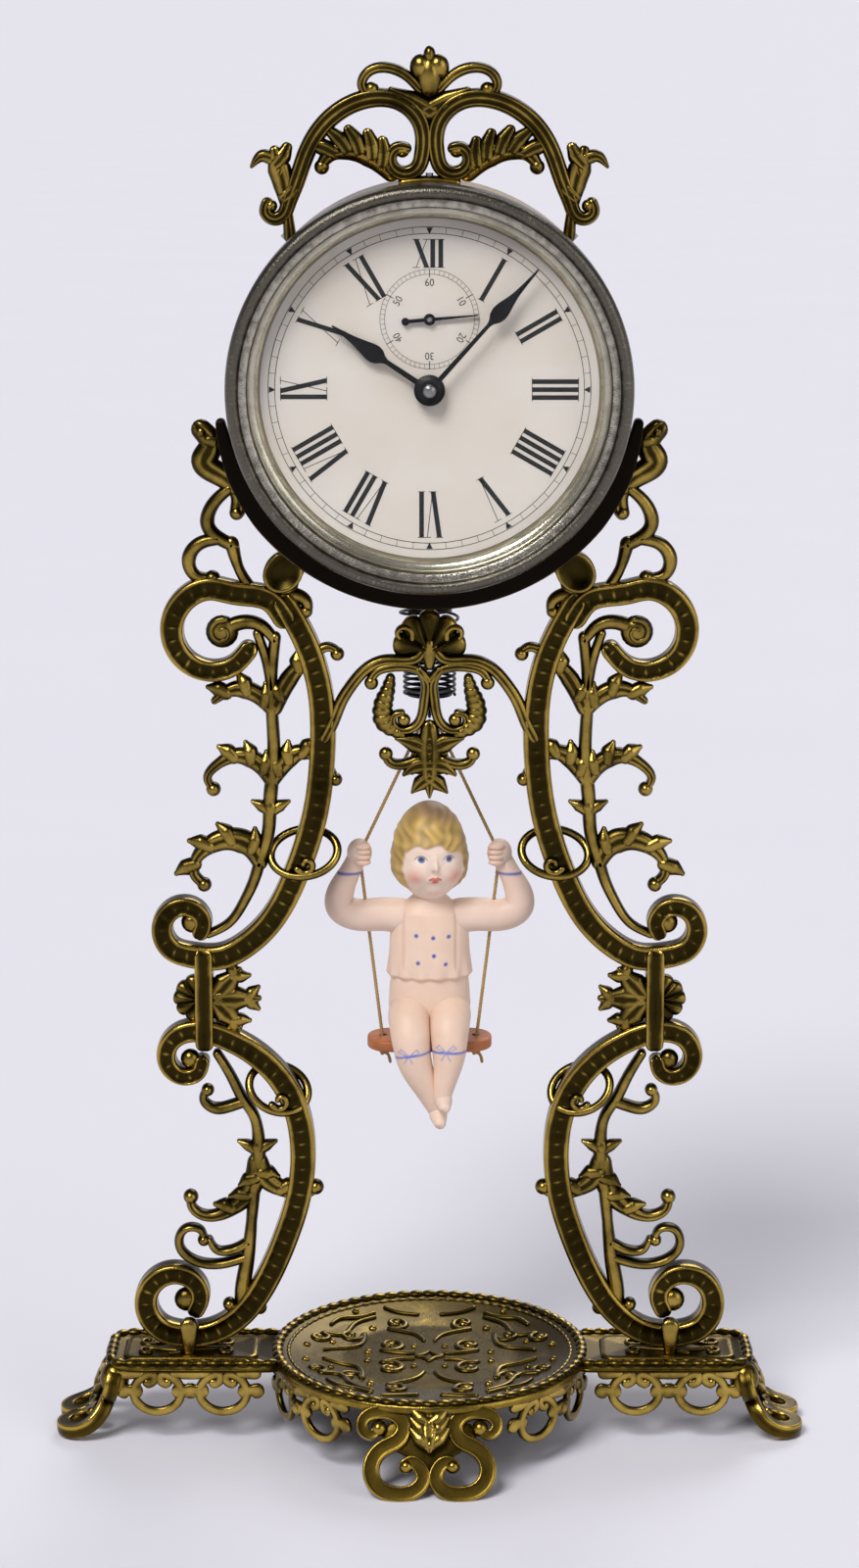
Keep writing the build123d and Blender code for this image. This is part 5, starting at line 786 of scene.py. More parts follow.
leg.strip(LUG_TONGUE, (5.6, 6.2, 8.6), 2.6, VINE, LUG_Y + 0.9)
disc = turned(LUG_FACE, (0, 0, 0), columns=40)[:, ::-1] * (LUG_LONG, 1, 1)
disc_x = LUG[0] + disc[..., 0] * np.cos(LUG_TURN) - disc[..., 2] * np.sin(LUG_TURN)
disc_z = LUG[1] + disc[..., 0] * np.sin(LUG_TURN) + disc[..., 2] * np.cos(LUG_TURN)
leg.skin(np.stack([disc_x, LUG_Y + disc[..., 1], disc_z], axis=-1), LUG_SHINE[:, None])

for name, flip in (("right_leg", (1, 1, 1)), ("left_leg", MIRROR)):
    casting = Casting()
    casting.merge(leg, flip)
    casting.piece(name + "_casting", cast_brass, "stand", "cast_brass", name)

# %% [markdown]
# ## Crest
#
# Over the drum stand two arches that end in volutes, with an acanthus leaf inside each, a forked leaf
# outside, and a bud on top. The arches have two grooves along them. Their points are x and the height over
# the table.

# %% Crest
CREST_Y = 3.0
CREST_DEPTH = 5.0
CREST_ARCH = (spiral((6.8, 346.6), (2.4, 4.9), (105, -185), 8)
              + [(2.6, 356.0), (8.0, 360.9), (15.0, 361.6), (22.4, 358.9), (28.0, 354.0), (31.8, 347.6),
                 (34.4, 340.4), (36.6, 334.6)] + spiral((40.2, 333.6), (2.9, 2.2), (215, 395), 4))
ARCH_WIDTHS = (3.2, 4.2, 4.8, 5.0, 4.8, 4.4, 3.2)
CREST_VINES = [
    ([(10.0, 342.6), (14.5, 346.6), (20.2, 348.6), (25.4, 347.6), (28.0, 344.6)],
     (4.6, 6.4, 5.4, 2.8), (5, 1, 4.4)),
    ([(37.0, 334.8), (38.0, 341.0), (39.4, 345.6), (39.9, 348.2)], (3.6, 5.6, 6.2, 3.0), (2, 1, 3.4)),
    ([(39.6, 345.8), (43.2, 346.9), (45.9, 344.3)], (4.0, 3.4, 1.1), None),
    ([(38.6, 343.0), (37.4, 346.2), (36.2, 348.4)], (2.6, 2.2, 0.8), None),
    ([(2.6, 364.0), (6.6, 367.8), (11.8, 369.4), (16.0, 368.0), (17.4, 365.0), (16.0, 362.4)],
     (2.6, 3.0, 2.8, 2.4), None),
    ([(0.0, 358.4), (5.2, 361.2), (9.8, 363.6)], (5.6, 5.4, 2.0), None),
    ([(37.2, 336.0), (36.6, 331.0), (36.2, 326.4)], (2.6, 2.8, 3.4), None),
]
CREST_LOBE = ((4.2, 4.6, 3.0), (4.8, 4.6, 3.2))  # widths and depths
CREST_BUDS = [(27.8, 344.2, 2.0), (14.9, 363.8, 2.0), (7.0, 348.4, 1.9), (41.0, 334.2, 1.7)]
CREST_PETAL = ((2.2, CREST_Y - 0.3, 369.4), (2.9, 2.7, 3.4), 28)
CREST_TOP = [((0, CREST_Y - 0.4, 366.8), (3.3, 3.0, 5.6), 28),
             ((0, CREST_Y - 0.3, 372.4), (1.6, 1.9, 2.5), 24)]
CREST_BAR = [(-7.0, 340.2), (0, 340.8), (7.0, 340.2)]

half_crest = Casting()
half_crest.strip(CREST_ARCH, ARCH_WIDTHS, CREST_DEPTH, grooved(), CREST_Y, 0.5)
for points, widths, lobing in CREST_VINES:
    half_crest.strip(points, widths, CREST_DEPTH * 0.9, RIB, CREST_Y, 0.4)
    half_crest.leaf(points, lobing, *CREST_LOBE, RIB, CREST_Y - 0.3)
for x, z, radius in CREST_BUDS:
    half_crest.skin(*ball((x, CREST_Y - 0.4, z), (radius, 2.1, radius)))
half_crest.skin(*ball(*CREST_PETAL))
crest = Casting()
crest.pair(half_crest)
for bud in CREST_TOP:
    crest.skin(*ball(*bud))
crest.strip(CREST_BAR, 2.4, CREST_DEPTH, VINE, CREST_Y)
crest.piece("crest_casting", cast_brass, "stand", "cast_brass", "crest")

# %% [markdown]
# ## Apron
#
# Between the legs hangs a pierced ornament. A shell is screwed to the collar, two arms run to the legs, and
# under them are scrolls, a pair of ribbed horns of plenty and a leaf of five points.

# %% Apron
APRON_Y = -1.5
APRON_DEPTH = 5.0
APRON_FULLNESS = 1.25
APRON_VINES = [
    ([(1.2, 219.0), (3.4, 216.2), (8.0, 215.6), (12.5, 215.4), (16.8, 213.2), (20.4, 209.2), (23.4, 204.4),
      (25.6, 199.0), (27.6, 195.0)], (2.4, 2.6, 2.8)),
    ([(0.4, 210.2), (2.6, 212.8), (6.5, 214.0), (10.6, 213.8), (14.2, 212.4), (15.6, 210.2)],
     (2.0, 2.4, 2.0)),
    ([(2.6, 213.0), (1.0, 209.4), (1.2, 205.4), (1.8, 201.4), (3.6, 198.0), (7.0, 196.8), (9.6, 198.4),
      (9.4, 200.8), (7.4, 201.4)], (2.0, 2.4, 2.0, 1.6)),
    ([(3.6, 188.6), (8.0, 187.4), (10.8, 188.4), (11.6, 190.0)], (2.4, 2.4, 2.0)),
    ([(0.0, 191.4), (4.4, 193.4), (8.8, 194.6)], (3.4, 4.4, 0.9)),
    ([(0.0, 187.4), (3.8, 187.0), (6.8, 184.8)], (3.4, 4.0, 0.9)),
]
HORN = [(7.6, 195.8), (11.4, 198.4), (12.4, 203.0), (11.2, 207.2), (10.4, 210.6)]
HORN_WIDTHS, HORN_BEADS = (3.0, 6.2, 5.2, 3.0), (1.9, 0.16)
APRON_BUDS = [(15.4, 209.6, 1.9), (6.8, 199.6, 1.8), (11.6, 190.4, 1.9)]
APRON_ROLL = spiral((7.0, 222.6), (1.2, 2.6), (-40, 200), 8)
PENDANT_RIB = [(0, 197.0), (0, 191.0), (0, 184.0), (0, 178.6)]
PENDANT_SIZE = ((5.0, 7.4, 5.4, 0.9), (4.0, 4.8, 4.0, 2.0))  # widths and depths
PENDANT_LEAF = [(0, 196.0), (0, 189.0), (0, 180.6)]
PENDANT_LOBE = ((4.0, 4.4, 0.9), (4.4, 4.0, 1.6))
SHELL_FOOT = [(0, 214.6), (0, 217.4), (0, 220.2)]

half_apron = Casting()
for points, widths in APRON_VINES:
    half_apron.strip(points, APRON_FULLNESS * np.array(widths), APRON_DEPTH * 0.86, RIB, APRON_Y, 0.5)
half_apron.strip(HORN, HORN_WIDTHS, APRON_DEPTH, VINE, APRON_Y, 0.3, beads=HORN_BEADS)
for x, z, radius in APRON_BUDS:
    half_apron.skin(*ball((x, APRON_Y - 0.6, z), (radius, 1.9, radius)))
half_apron.strip(APRON_ROLL, (1.4, 1.8, 2.0), 3.4, VINE, APRON_Y - 0.8, 0.4)

apron = Casting()
apron.pair(half_apron)
apron.strip(PENDANT_RIB, *PENDANT_SIZE, RIB, APRON_Y, 0.4)
for side in (-1, 1):
    apron.leaf(PENDANT_LEAF, (3, side, 4.6), *PENDANT_LOBE, RIB, APRON_Y + 0.2)
apron.skin(*fan((0, APRON_Y, 218.4), (9.8, 10.8), (-10, 190), 5, 0.16, 4.8))
apron.strip(SHELL_FOOT, (3.0, 5.0, 3.4), APRON_DEPTH, VINE, APRON_Y, 0.4)
apron.piece("apron_casting", cast_brass, "stand", "cast_brass", "apron")

# %% [markdown]
# ## Base
#
# The base is one casting: a round dish with a beaded rim, a wing on each side with a beaded edge, a fret of
# open rings under the edge, and four feet, each a pair of S scrolls with a leaf between. The dish and the
# wings are made first.

# %% Dish and wings
PLATE_UNDER = 20.1
DISH_FLOOR = 19.9
DISH_SLOPE = ([0, 24.0, 33.0, 40.0], [DISH_FLOOR, DISH_FLOOR, 21.0, 22.6])
DISH_EDGE = [(0.05, 17.5), (23.9, 17.5), (39.5, PLATE_UNDER), (43.1, PLATE_UNDER), (43.5, 20.6), (43.5, 22.2),
             (42.8, 22.7), (40.6, 22.7)]
DISH_SHINE = ([0, 22, 34, 40, 43], [0.62, 0.66, 0.58, 0.5, 0.8])
WING_CENTRE = 64.0
WING_HALF = (24.0, 12.5)
WING_CORNER = 5.0
WING_LAYERS = [  # inset, height, how rubbed
    (12.3, PLATE_UNDER, 0.3), (0.5, PLATE_UNDER, 0.3), (0.0, 20.6, 0.6), (0.0, 22.0, 0.8), (0.4, 22.4, 0.8),
    (2.4, 22.5, 0.66), (2.8, 22.3, 0.5), (12.3, 22.3, 0.58)]
PANEL_HALF, PANEL_CORNER = (18.5, 8.6), 3.4
PANEL_LAYERS = [(8.4, 22.0, 0.3), (0.0, 22.0, 0.3), (0.0, 22.5, 0.5), (0.8, 23.1, 0.8), (1.8, 22.8, 0.54),
                (8.4, 22.8, 0.6)]
RIM_RADIUS, RIM_HEIGHT, RIM_BEADS = 41.9, 22.75, 70
INNER_RADIUS, INNER_DROP, INNER_BEADS = 38.9, 0.55, 90
EDGE_HEIGHT, EDGE_INSET, EDGE_BEAD = 22.5, 0.7, 3.8
EDGE_START = 41.6


def box_loop(half_x, half_y, corner, per_corner=12):
    """A rounded rectangle about the origin as points that turn left: quarter circles about the corners'
    middles."""
    turn = around(4 * per_corner) + np.pi / (4 * per_corner)
    arm_x, arm_y = np.sign(np.cos(turn)) * (half_x - corner), np.sign(np.sin(turn)) * (half_y - corner)
    return np.column_stack([arm_x + corner * np.cos(turn), arm_y + corner * np.sin(turn)])


def slab(centre_x, half, corner, layers):
    """Rings of a rounded plate, from the middle of its underside to the middle of its top, and how rubbed
    it is."""
    loops = [lying(box_loop(half[0] - inset, half[1] - inset, max(corner - inset, 0.2)), height)
             for inset, height, _ in layers]
    return np.stack(loops) + (centre_x, 0, 0), np.array([shine for *_, shine in layers])[:, None]


def dish_height(radius):
    """The height of the dish's upper side: flat in the middle, then a slope up to the rim."""
    return np.interp(radius, *DISH_SLOPE)


base = Casting()
dish_profile = DISH_EDGE + [(r, dish_height(r)) for r in np.linspace(39.6, 0.05, 40)]
dish_shine = np.interp([r for r, _ in dish_profile], *DISH_SHINE)[:, None]
dish = turned(dish_profile, (0, 0, 0), "z", 144)
dish_reach = np.hypot(dish[..., 0], dish[..., 1])
ripple = np.cos(8 * np.arctan2(dish[..., 1], dish[..., 0])) * np.exp(-(((dish_reach - 31) / 6) ** 2))
base.skin(dish, dish_shine + 0.1 * ripple)
for wing in (-1, 1):
    base.skin(*slab(wing * WING_CENTRE, WING_HALF, WING_CORNER, WING_LAYERS))
    base.skin(*slab(wing * (WING_CENTRE + 1.5), PANEL_HALF, PANEL_CORNER, PANEL_LAYERS))
rim_turn = around(12 * RIM_BEADS)
rim = lying(np.column_stack([RIM_RADIUS * np.cos(rim_turn), RIM_RADIUS * np.sin(rim_turn)]), RIM_HEIGHT)
base.hoop(rim, 3.2, 2.2, UP, ROPE, beads=(2 * np.pi * RIM_RADIUS / RIM_BEADS, 0.4))
inner = rim * (INNER_RADIUS / RIM_RADIUS, INNER_RADIUS / RIM_RADIUS, 1) - (0, 0, INNER_DROP)
base.hoop(inner, 1.3, 1.1, UP, THREAD, beads=(2 * np.pi * INNER_RADIUS / INNER_BEADS, 0.4))
edge = box_loop(WING_HALF[0], WING_HALF[1] - EDGE_INSET, WING_CORNER, 40)
edge = lying(np.column_stack([edge[:, 0] + WING_CENTRE - EDGE_INSET, edge[:, 1]]), EDGE_HEIGHT)
edge = edge[edge[:, 0] > EDGE_START]
edge = run(edge[np.argsort(np.arctan2(edge[:, 1], edge[:, 0] - WING_CENTRE))], 0.4)
half_base = Casting()
half_base.skin(*ribbon(edge, 3.0, 2.5, UP, ROPE, beads=(EDGE_BEAD, 0.42)))
half_base.skin(*ribbon(edge - (0, 0, 2.0), 1.5, 1.2, UP, rounded(2.4, 10)))
print("base surfaces", len(base.points))

# %% [markdown]
# The dish and the wings carry low scrolls, as if drawn with a rope half sunk in the metal. Each is drawn
# once and mirrored into the four quarters, at the height of the surface below it. They are hardly brighter
# than the ground.

# %% Relief scrolls
QUARTER_SCROLLS = [
    spiral((11.0, 8.6), (1.2, 4.4), (-60, 300), 10) + [(8.6, 2.6), (4.6, 2.2)],
    spiral((22.0, 15.4), (1.2, 3.8), (120, -200), 9) + [(19.0, 9.4), (24.4, 5.8), (29.0, 3.4)],
    spiral((9.6, 24.6), (1.2, 3.8), (-40, 300), 9) + [(6.0, 18.2), (3.0, 15.4), (1.6, 12.0)],
    spiral((31.0, 12.0), (1.0, 3.2), (60, -250), 8) + [(26.4, 14.6), (21.6, 21.6), (15.6, 27.6)],
    [(16.0, 30.0), (20.4, 27.0), (24.6, 25.4), (27.6, 21.0)],
    [(3.6, 30.6), (8.4, 31.6), (12.6, 33.4)],
]
WING_SCROLLS = [
    spiral((56.5, 3.4), (0.9, 2.8), (0, 300), 8) + [(60.4, 1.6), (66.4, 3.0), (71.0, 5.6)],
    spiral((77.5, 3.6), (0.9, 2.6), (180, -120), 8) + [(73.6, 2.4), (69.6, 3.4)],
]
RELIEF_BUDS = [(11.0, 8.6, 1.5), (22.0, 15.4, 1.4), (9.6, 24.6, 1.4), (31.0, 12.0, 1.3), (4.2, 7.4, 1.0),
               (17.0, 3.2, 1.1), (27.0, 9.6, 1.0), (16.0, 21.0, 1.2), (34.0, 5.6, 1.1), (21.0, 30.0, 1.1)]
SCROLL_WIDTH, SCROLL_DEPTH = 1.7, 1.5
WING_SCROLL_WIDTH, WING_SCROLL_HEIGHT = 1.2, 22.8
LOZENGE = [(0, 3.6), (1.4, 1.4), (3.6, 0), (1.4, -1.4), (0, -3.6), (-1.4, -1.4), (-3.6, 0), (-1.4, 1.4)]


def sunk(points, width, height):
    """A low round ribbon on the base, at the height of the surface below it."""
    path = run(points, 0.6)
    line = np.column_stack([path, height(np.hypot(*path.T))])
    surface, rubbed = ribbon(line, (width, width * 1.2, width * 0.8), SCROLL_DEPTH, UP, rounded(2.0, 10))
    return surface, 0.94 * rubbed


quarter = Casting()
for points in QUARTER_SCROLLS:
    quarter.skin(*sunk(points, SCROLL_WIDTH, dish_height))
for x, y, radius in RELIEF_BUDS:
    quarter.skin(ball((x, y, dish_height(np.hypot(x, y))), (radius, radius, 0.9), 12)[0], 0.8)
for points in WING_SCROLLS:
    quarter.skin(*sunk(points, WING_SCROLL_WIDTH, lambda radius: np.full(len(radius), WING_SCROLL_HEIGHT)))
for flip in ((1, 1, 1), (-1, 1, 1), (1, -1, 1), (-1, -1, 1)):
    base.merge(quarter, flip)
base.hoop(lying(run(LOZENGE, 0.4, True), DISH_FLOOR), 1.3, 1.3, UP, THREAD)
print("base surfaces", len(base.points))

# %% [markdown]
# The fret hangs under the edge: open rings whose ends curl inwards at the top, joined by short bars. Its
# rounded front is the brightest brass on the clock, and so are the leaves between the scrolls of the feet.
# The scrolls of the feet are drawn flat and laid on slopes that lean outwards: straight ones at front and
# back, and at the sides ones that sweep down and flatten out, so the two loops of a side foot lie on the
# table. All are cut level there.

# %% Fret
FRET_MIDDLE = 14.1
FRET_BAND = 2.5
FRET_DEPTH = 1.8
FRET_SECTION = rounded(2.6, 16)
FRET_CURL = [(-2.4, 2.4), (-0.9, 3.4), (-1.0, 5.0)]
FRET_HALF = (6.45, 5.55)
FRET_BALL = ((2.8, 2.7), (1.3, 1.0, 1.3))
FRET_BARS = [([(6.4, 0.4), (8.0, 0.6), (9.0, 0.4)], (5.0, 3.2, 4.6)),
             ([(4.6, 5.4), (7.0, 5.4), (8.8, 5.4)], (2.2, 3.2, 3.4))]
ring_turn = np.radians(np.linspace(118, 422, 18))
FRET_RING = (FRET_CURL + list(zip(FRET_HALF[0] * np.cos(ring_turn), FRET_HALF[1] * np.sin(ring_turn)))
             + [(-x, z) for x, z in FRET_CURL[::-1]])


def on_plane(points, origin, across, up):
    """Points of a flat drawing set on a plane, from its origin and its two directions."""
    flat = np.asarray(points, float)
    return np.asarray(origin) + np.outer(flat[:, 0], across) + np.outer(flat[:, 1], up)


def fret(casting, out, along, reach):
    """A fret ring that faces out, with a ball in each curl, and the bars that tie it to its neighbours."""
    across = np.array([-out[1], out[0], 0])
    plane = (out * reach + across * along + (0, 0, FRET_MIDDLE), across, UP)
    casting.skin(*ribbon(on_plane(run(FRET_RING, 0.5), *plane), FRET_BAND, FRET_DEPTH, out, FRET_SECTION))
    (ball_x, ball_z), radii = FRET_BALL
    for side in (-1, 1):
        casting.skin(*ball(on_plane([(side * ball_x, ball_z)], *plane)[0], radii, 12))
        for points, widths in FRET_BARS:
            bar = run([(side * x, z) for x, z in points], 0.5)
            casting.skin(*ribbon(on_plane(bar, *plane), widths, FRET_DEPTH, out, FRET_SECTION))


print("points of a fret ring", len(run(FRET_RING, 0.5)))

# %% Feet
FOOT_SCROLL = [(13.8, -5.4), (15.2, -7.2), (17.6, -5.8), (17.4, -2.6), (13.6, -0.6), (9.0, -1.4), (6.8, -4.8),
               (8.2, -8.6), (11.8, -10.8), (14.8, -14.2), (15.4, -18.6), (13.6, -22.4), (8.9, -24.5),
               (3.8, -23.4), (1.7, -20.4), (2.4, -17.0), (4.6, -15.2), (6.4, -16.2)]
FOOT_WIDTHS = np.array((2.4, 4.0, 4.5, 4.6, 4.4, 3.6))
FOOT_BUDS = ((6.2, -16.4, 1.9), (13.4, -5.2, 2.2))
FOOT_RIB = (-11.6, -7.0, -2.6)
FOOT_RIB_SIZE = ((2.4, 4.6, 5.6, 3.2), (3.6, 5.0, 4.6, 3.0))  # widths and depths
FOOT_LOBE = ((3.6, 4.2, 1.6), (4.0, 3.8, 2.0))
FOOT_DRAWN = 25.8
FOOT_DEPTH = 4.4
FOOT_SECTION = lipped(0.2, 0.7, 4, 28)
WEB_DEPTH, WEB_SINK = 2.6, -0.6


def on_slope(points, line, across):
    """Points of a flat drawing laid on a surface that runs down a line and straight across, and the way it
    faces."""
    flat = np.asarray(points, float)
    along = lengths(line)
    facing = unit(np.cross(np.gradient(line, axis=0), across))
    places, facing = (np.column_stack([np.interp(-flat[:, 1], along, column) for column in rows.T])
                      for rows in (line, facing))
    return places + np.outer(flat[:, 0], across), facing


def foot(casting, leaves, angle, slope, wide, web, web_widths):
    """A foot at an angle about the middle: two mirrored scrolls, a leaf and a web behind them, laid on its
    slope."""
    out = np.array([np.cos(np.radians(angle)), np.sin(np.radians(angle)), 0])
    across = np.array([-out[1], out[0], 0])
    slope = run(slope, 0.4)
    line = np.outer(slope[:, 0], out) + np.outer(slope[:, 1], UP)
    tall = lengths(line)[-1] / FOOT_DRAWN
    size = 0.5 + 0.5 * wide

    def laid(drawn, rise, widths, depths, section):
        places, facing = on_slope(drawn, line, across)
        return ribbon(places + rise * facing, widths, depths, facing, section)

    for side in (-1, 1):
        scroll = run([(side * wide * x, tall * y) for x, y in FOOT_SCROLL], 0.5)
        casting.skin(*laid(scroll, 0, FOOT_WIDTHS * size, FOOT_DEPTH, FOOT_SECTION))
        for bud_x, bud_y, radius in FOOT_BUDS:
            places, facing = on_slope([(side * wide * bud_x, tall * bud_y)], line, across)
            casting.skin(*ball(places[0] + 0.5 * facing[0], radius * size))
    rib = [(0, y * tall) for y in FOOT_RIB]
    leaves.skin(*laid(run(rib, 0.4), 2.5, *FOOT_RIB_SIZE, RIB))
    for side in (-1, 1):
        for lobe in lobes(rib, 3, side, 4.8 * wide):
            leaves.skin(*laid(lobe, 2.3, *FOOT_LOBE, VINE))
    points, _ = laid(run([(0, y) for y in web], 0.2), WEB_SINK, web_widths, WEB_DEPTH, rounded(4, 24))
    casting.skin(points, 0.36)


FRONT_FOOT = (  # slope, width, and the web's heights and widths
    [(40.1, PLATE_UNDER), (45.85, PLATE_UNDER / 2), (51.6, 0.0)], 1.0,
    (-1.8, -7.5, -13.6), (6.0, 22.0, 25.0, 25.0, 23.0, 19.0, 13.0, 6.0))
SIDE_FOOT = (
    [(86.0, PLATE_UNDER), (87.6, 13.2), (90.4, 7.2), (95.4, 3.4), (102.0, 2.2)], 0.74,
    (-1.6, -7.0, -13.0), (5.0, 19.5, 20.5, 20.0, 18.5, 16.0, 12.0, 5.0))
CORNER_BALL = ((86.2, 9.6, 17.2), (4.0, 3.8, 4.9))
feet, frets = Casting(), Casting()
for angle, shape in ((-90, FRONT_FOOT), (90, FRONT_FOOT), (0, SIDE_FOOT), (180, SIDE_FOOT)):
    foot(feet, frets, angle, *shape)
corner, radii = CORNER_BALL
for flip in ((-1, -1, 1), (-1, 1, 1), (1, -1, 1), (1, 1, 1)):
    feet.skin(*ball(np.multiply(corner, flip), radii))
grounded = np.vstack(feet.points)
grounded[:, 2] = np.clip(grounded[:, 2], 0.0, None)
feet.points = [grounded]
feet.rubbed = [np.concatenate(feet.rubbed)]
feet.paint = [np.vstack(feet.paint)]
print("feet points", feet.count, "leaf surfaces", len(frets.points))

# %% The whole base
WING_FRETS = (-74.4, -56.4, 56.4, 74.4)
DISH_FRETS = (-70, -44, 44, 70)
WING_FRET_REACH, DISH_FRET_REACH = 11.6, 41.7

for facing in (-1, 1):
    for x in WING_FRETS:
        fret(frets, np.array([0.0, facing, 0.0]), x, WING_FRET_REACH)
    for turn in DISH_FRETS:
        angle = np.radians(facing * 90 + turn)
        fret(frets, np.array([np.cos(angle), np.sin(angle), 0.0]), 0.0, DISH_FRET_REACH)
base.pair(half_base)
base.merge(feet)
base.piece("base_casting", base_brass, "stand", "cast_brass", "base_plate")
frets.piece("base_fret", fret_brass, "stand", "cast_brass", "base_plate")

# %% [markdown]
# ## Collar, bezel and sight ring
#
# The collar is almost black: dark patina with painted shade, and its outer edge carries a painted highlight,
# bright as brass. The bezel is turned: a rounded outer roll with worn milling, then a flat band, then the
# fillet that holds the glass. Inside the glass a second ring frames the paper.

# %% Collar, bezel and sight ring
CENTRE = (0, 0, 288.5)
COLLAR_MID = 55.1
COLLAR_Y = -6.0
COLLAR_WIDTHS, COLLAR_DEPTH = (2.6, 5.4) + (6.8,) * 8 + (5.4, 2.6), 4.0
COLLAR_HIGHLIGHT_FROM = 57.9
BEZEL_PROFILE = [(51.55, 9.2), (52.4, 9.2), (52.4, 19.6), (52.36, 20.4), (52.2, 21.2), (51.8, 21.9),
                 (51.2, 22.4), (50.5, 22.6), (49.8, 22.5), (49.3, 22.1), (49.0, 21.6), (48.7, 21.45),
                 (47.6, 21.3), (47.0, 21.15), (46.75, 20.9), (46.7, 20.6), (49.2, 20.6), (49.2, 14.3),
                 (51.55, 14.3)]
BEZEL_SHINE = np.array([0.3, 0.35, 0.45, 0.6, 0.5, 0.55, 0.6, 0.62, 0.5, 0.3, 0.1, 0.75, 0.9, 0.85, 0.3, 0.1,
                        0.2, 0.2, 0.2])[:, None]
MILLING = 240
SIGHT_PROFILE = [(48.9, 19.0), (48.1, 18.95), (47.4, 18.2), (46.9, 17.2), (46.3, 16.9), (45.6, 16.8),
                 (44.9, 16.3), (44.3, 15.5), (43.9, 14.6), (43.7, 13.7), (44.5, 13.65), (48.9, 17.6)]
SIGHT_SHINE = np.array([0.2, 0.5, 0.3, 0.1, 0.8, 0.95, 0.95, 0.8, 0.5, 0.1, 0.2, 0.2])[:, None]

collar_turn = np.radians(np.linspace(-170, -10, 240))
collar_path = upright(np.column_stack([COLLAR_MID * np.cos(collar_turn),
                                       CENTRE[2] + COLLAR_MID * np.sin(collar_turn)]), COLLAR_Y)
collar = Casting()
collar_points, _ = ribbon(collar_path, COLLAR_WIDTHS, COLLAR_DEPTH, FRONT, rounded(7, 40))
collar_reach = np.hypot(collar_points[..., 0], collar_points[..., 2] - CENTRE[2])
# Painted highlight: the rubbed value rises to brass only on the collar's outer edge, where light catches it
collar.skin(collar_points, np.clip((collar_reach - COLLAR_HIGHLIGHT_FROM) / 0.5, 0, 1))
collar.piece("collar_crescent", collar_patina_and_shade, "stand", "dark_brass", "collar")

bezel = Casting()
bezel_points = turned(BEZEL_PROFILE, CENTRE, columns=720)[:, ::-1]
bezel_turn = np.arctan2(bezel_points[..., 2] - CENTRE[2], bezel_points[..., 0])
milling = np.cos(MILLING * bezel_turn) * (BEZEL_SHINE < 0.65) * (BEZEL_SHINE > 0.4)
bezel.skin(bezel_points, np.clip(BEZEL_SHINE + 0.06 * milling, 0, 1), loop=True)
bezel.piece("bezel_ring", old_nickel, "stand", "nickel", "bezel")

sight = Casting()
sight.skin(turned(SIGHT_PROFILE, CENTRE, columns=180), SIGHT_SHINE, loop=True)
sight.piece("sight_frame", sight_metal, "stand", "nickel", "sight_ring")

# %% [markdown]
# ## Dial
#
# The dial is paper. Its print is thin black meshes a hair above it: a ring of minutes, Roman hours with
# hairline serifs, and a small dial of seconds. Each stroke of a numeral is one four-sided face, drawn with
# its foot to the middle and then turned to its hour.

# %% Dial print
INK_Y = -13.64
TRACK, TRACK_LINE, MINUTE_LINE = (39.8, 41.5), 0.18, 0.12
HOUR_WEDGE = [(-0.05, 39.7), (0.05, 39.7), (0.85, 41.3), (-0.85, 41.3)]
NUMERAL = (26.4, 38.3)
TWELVE_FOOT = 31.2
NUMERALS = ["XII", "I", "II", "III", "IIII", "V", "VI", "VII", "VIII", "IX", "X", "XI"]
STROKES = {  # (foot, top, width) of each stroke, and the letter's width
    "I": ([(0.0, 0.0, 1.22)], 2.05),
    "V": ([(0.1, -1.55, 1.25), (0.25, 1.6, 0.2)], 4.1),
    "X": ([(1.35, -1.35, 1.25), (-1.35, 1.35, 0.2)], 3.7),
}
SERIF = 2.0
SECONDS_RISE = 18.0
SECONDS_RING, SECONDS_LINE, SECOND_LINE, TENTH_LINE = (11.5, 12.7), 0.12, 0.1, 0.22

ink_faces = []


def on_dial(sideways, outwards, turn, rise):
    """Places on the paper at distances sideways and outwards, turned clockwise from twelve about a raised
    middle."""
    return np.stack([outwards * np.sin(turn) + sideways * np.cos(turn), np.full(sideways.shape, INK_Y),
                     CENTRE[2] + rise + outwards * np.cos(turn) - sideways * np.sin(turn)], axis=-1)


def ink(corners, angle=0.0, rise=0.0):
    """Four-sided faces on the dial from corners (sideways, outwards), turned by degrees."""
    corners = np.asarray(corners, float).reshape(-1, 4, 2)
    turn = np.broadcast_to(np.radians(angle), (len(corners), 1))
    ink_faces.append(on_dial(corners[..., 0], corners[..., 1], turn, rise))


def ink_round(corners, count, rise=0.0):
    """One face repeated evenly round the dial."""
    ink([corners] * count, (np.arange(count) * 360 / count)[:, None], rise)


def bar(foot, top, low, high, width):
    """The corners of a stroke from its foot to its top, as wide at both."""
    half = width / 2
    return [(foot - half, low), (foot + half, low), (top + half, high), (top - half, high)]


def circle(radius, width, rise, count=180):
    """A thin ring as short bars, each across its own share of the turn."""
    share = 2 * np.pi * (radius + width) / count
    ink_round(bar(0, 0, radius - width / 2, radius + width / 2, share), count, rise)


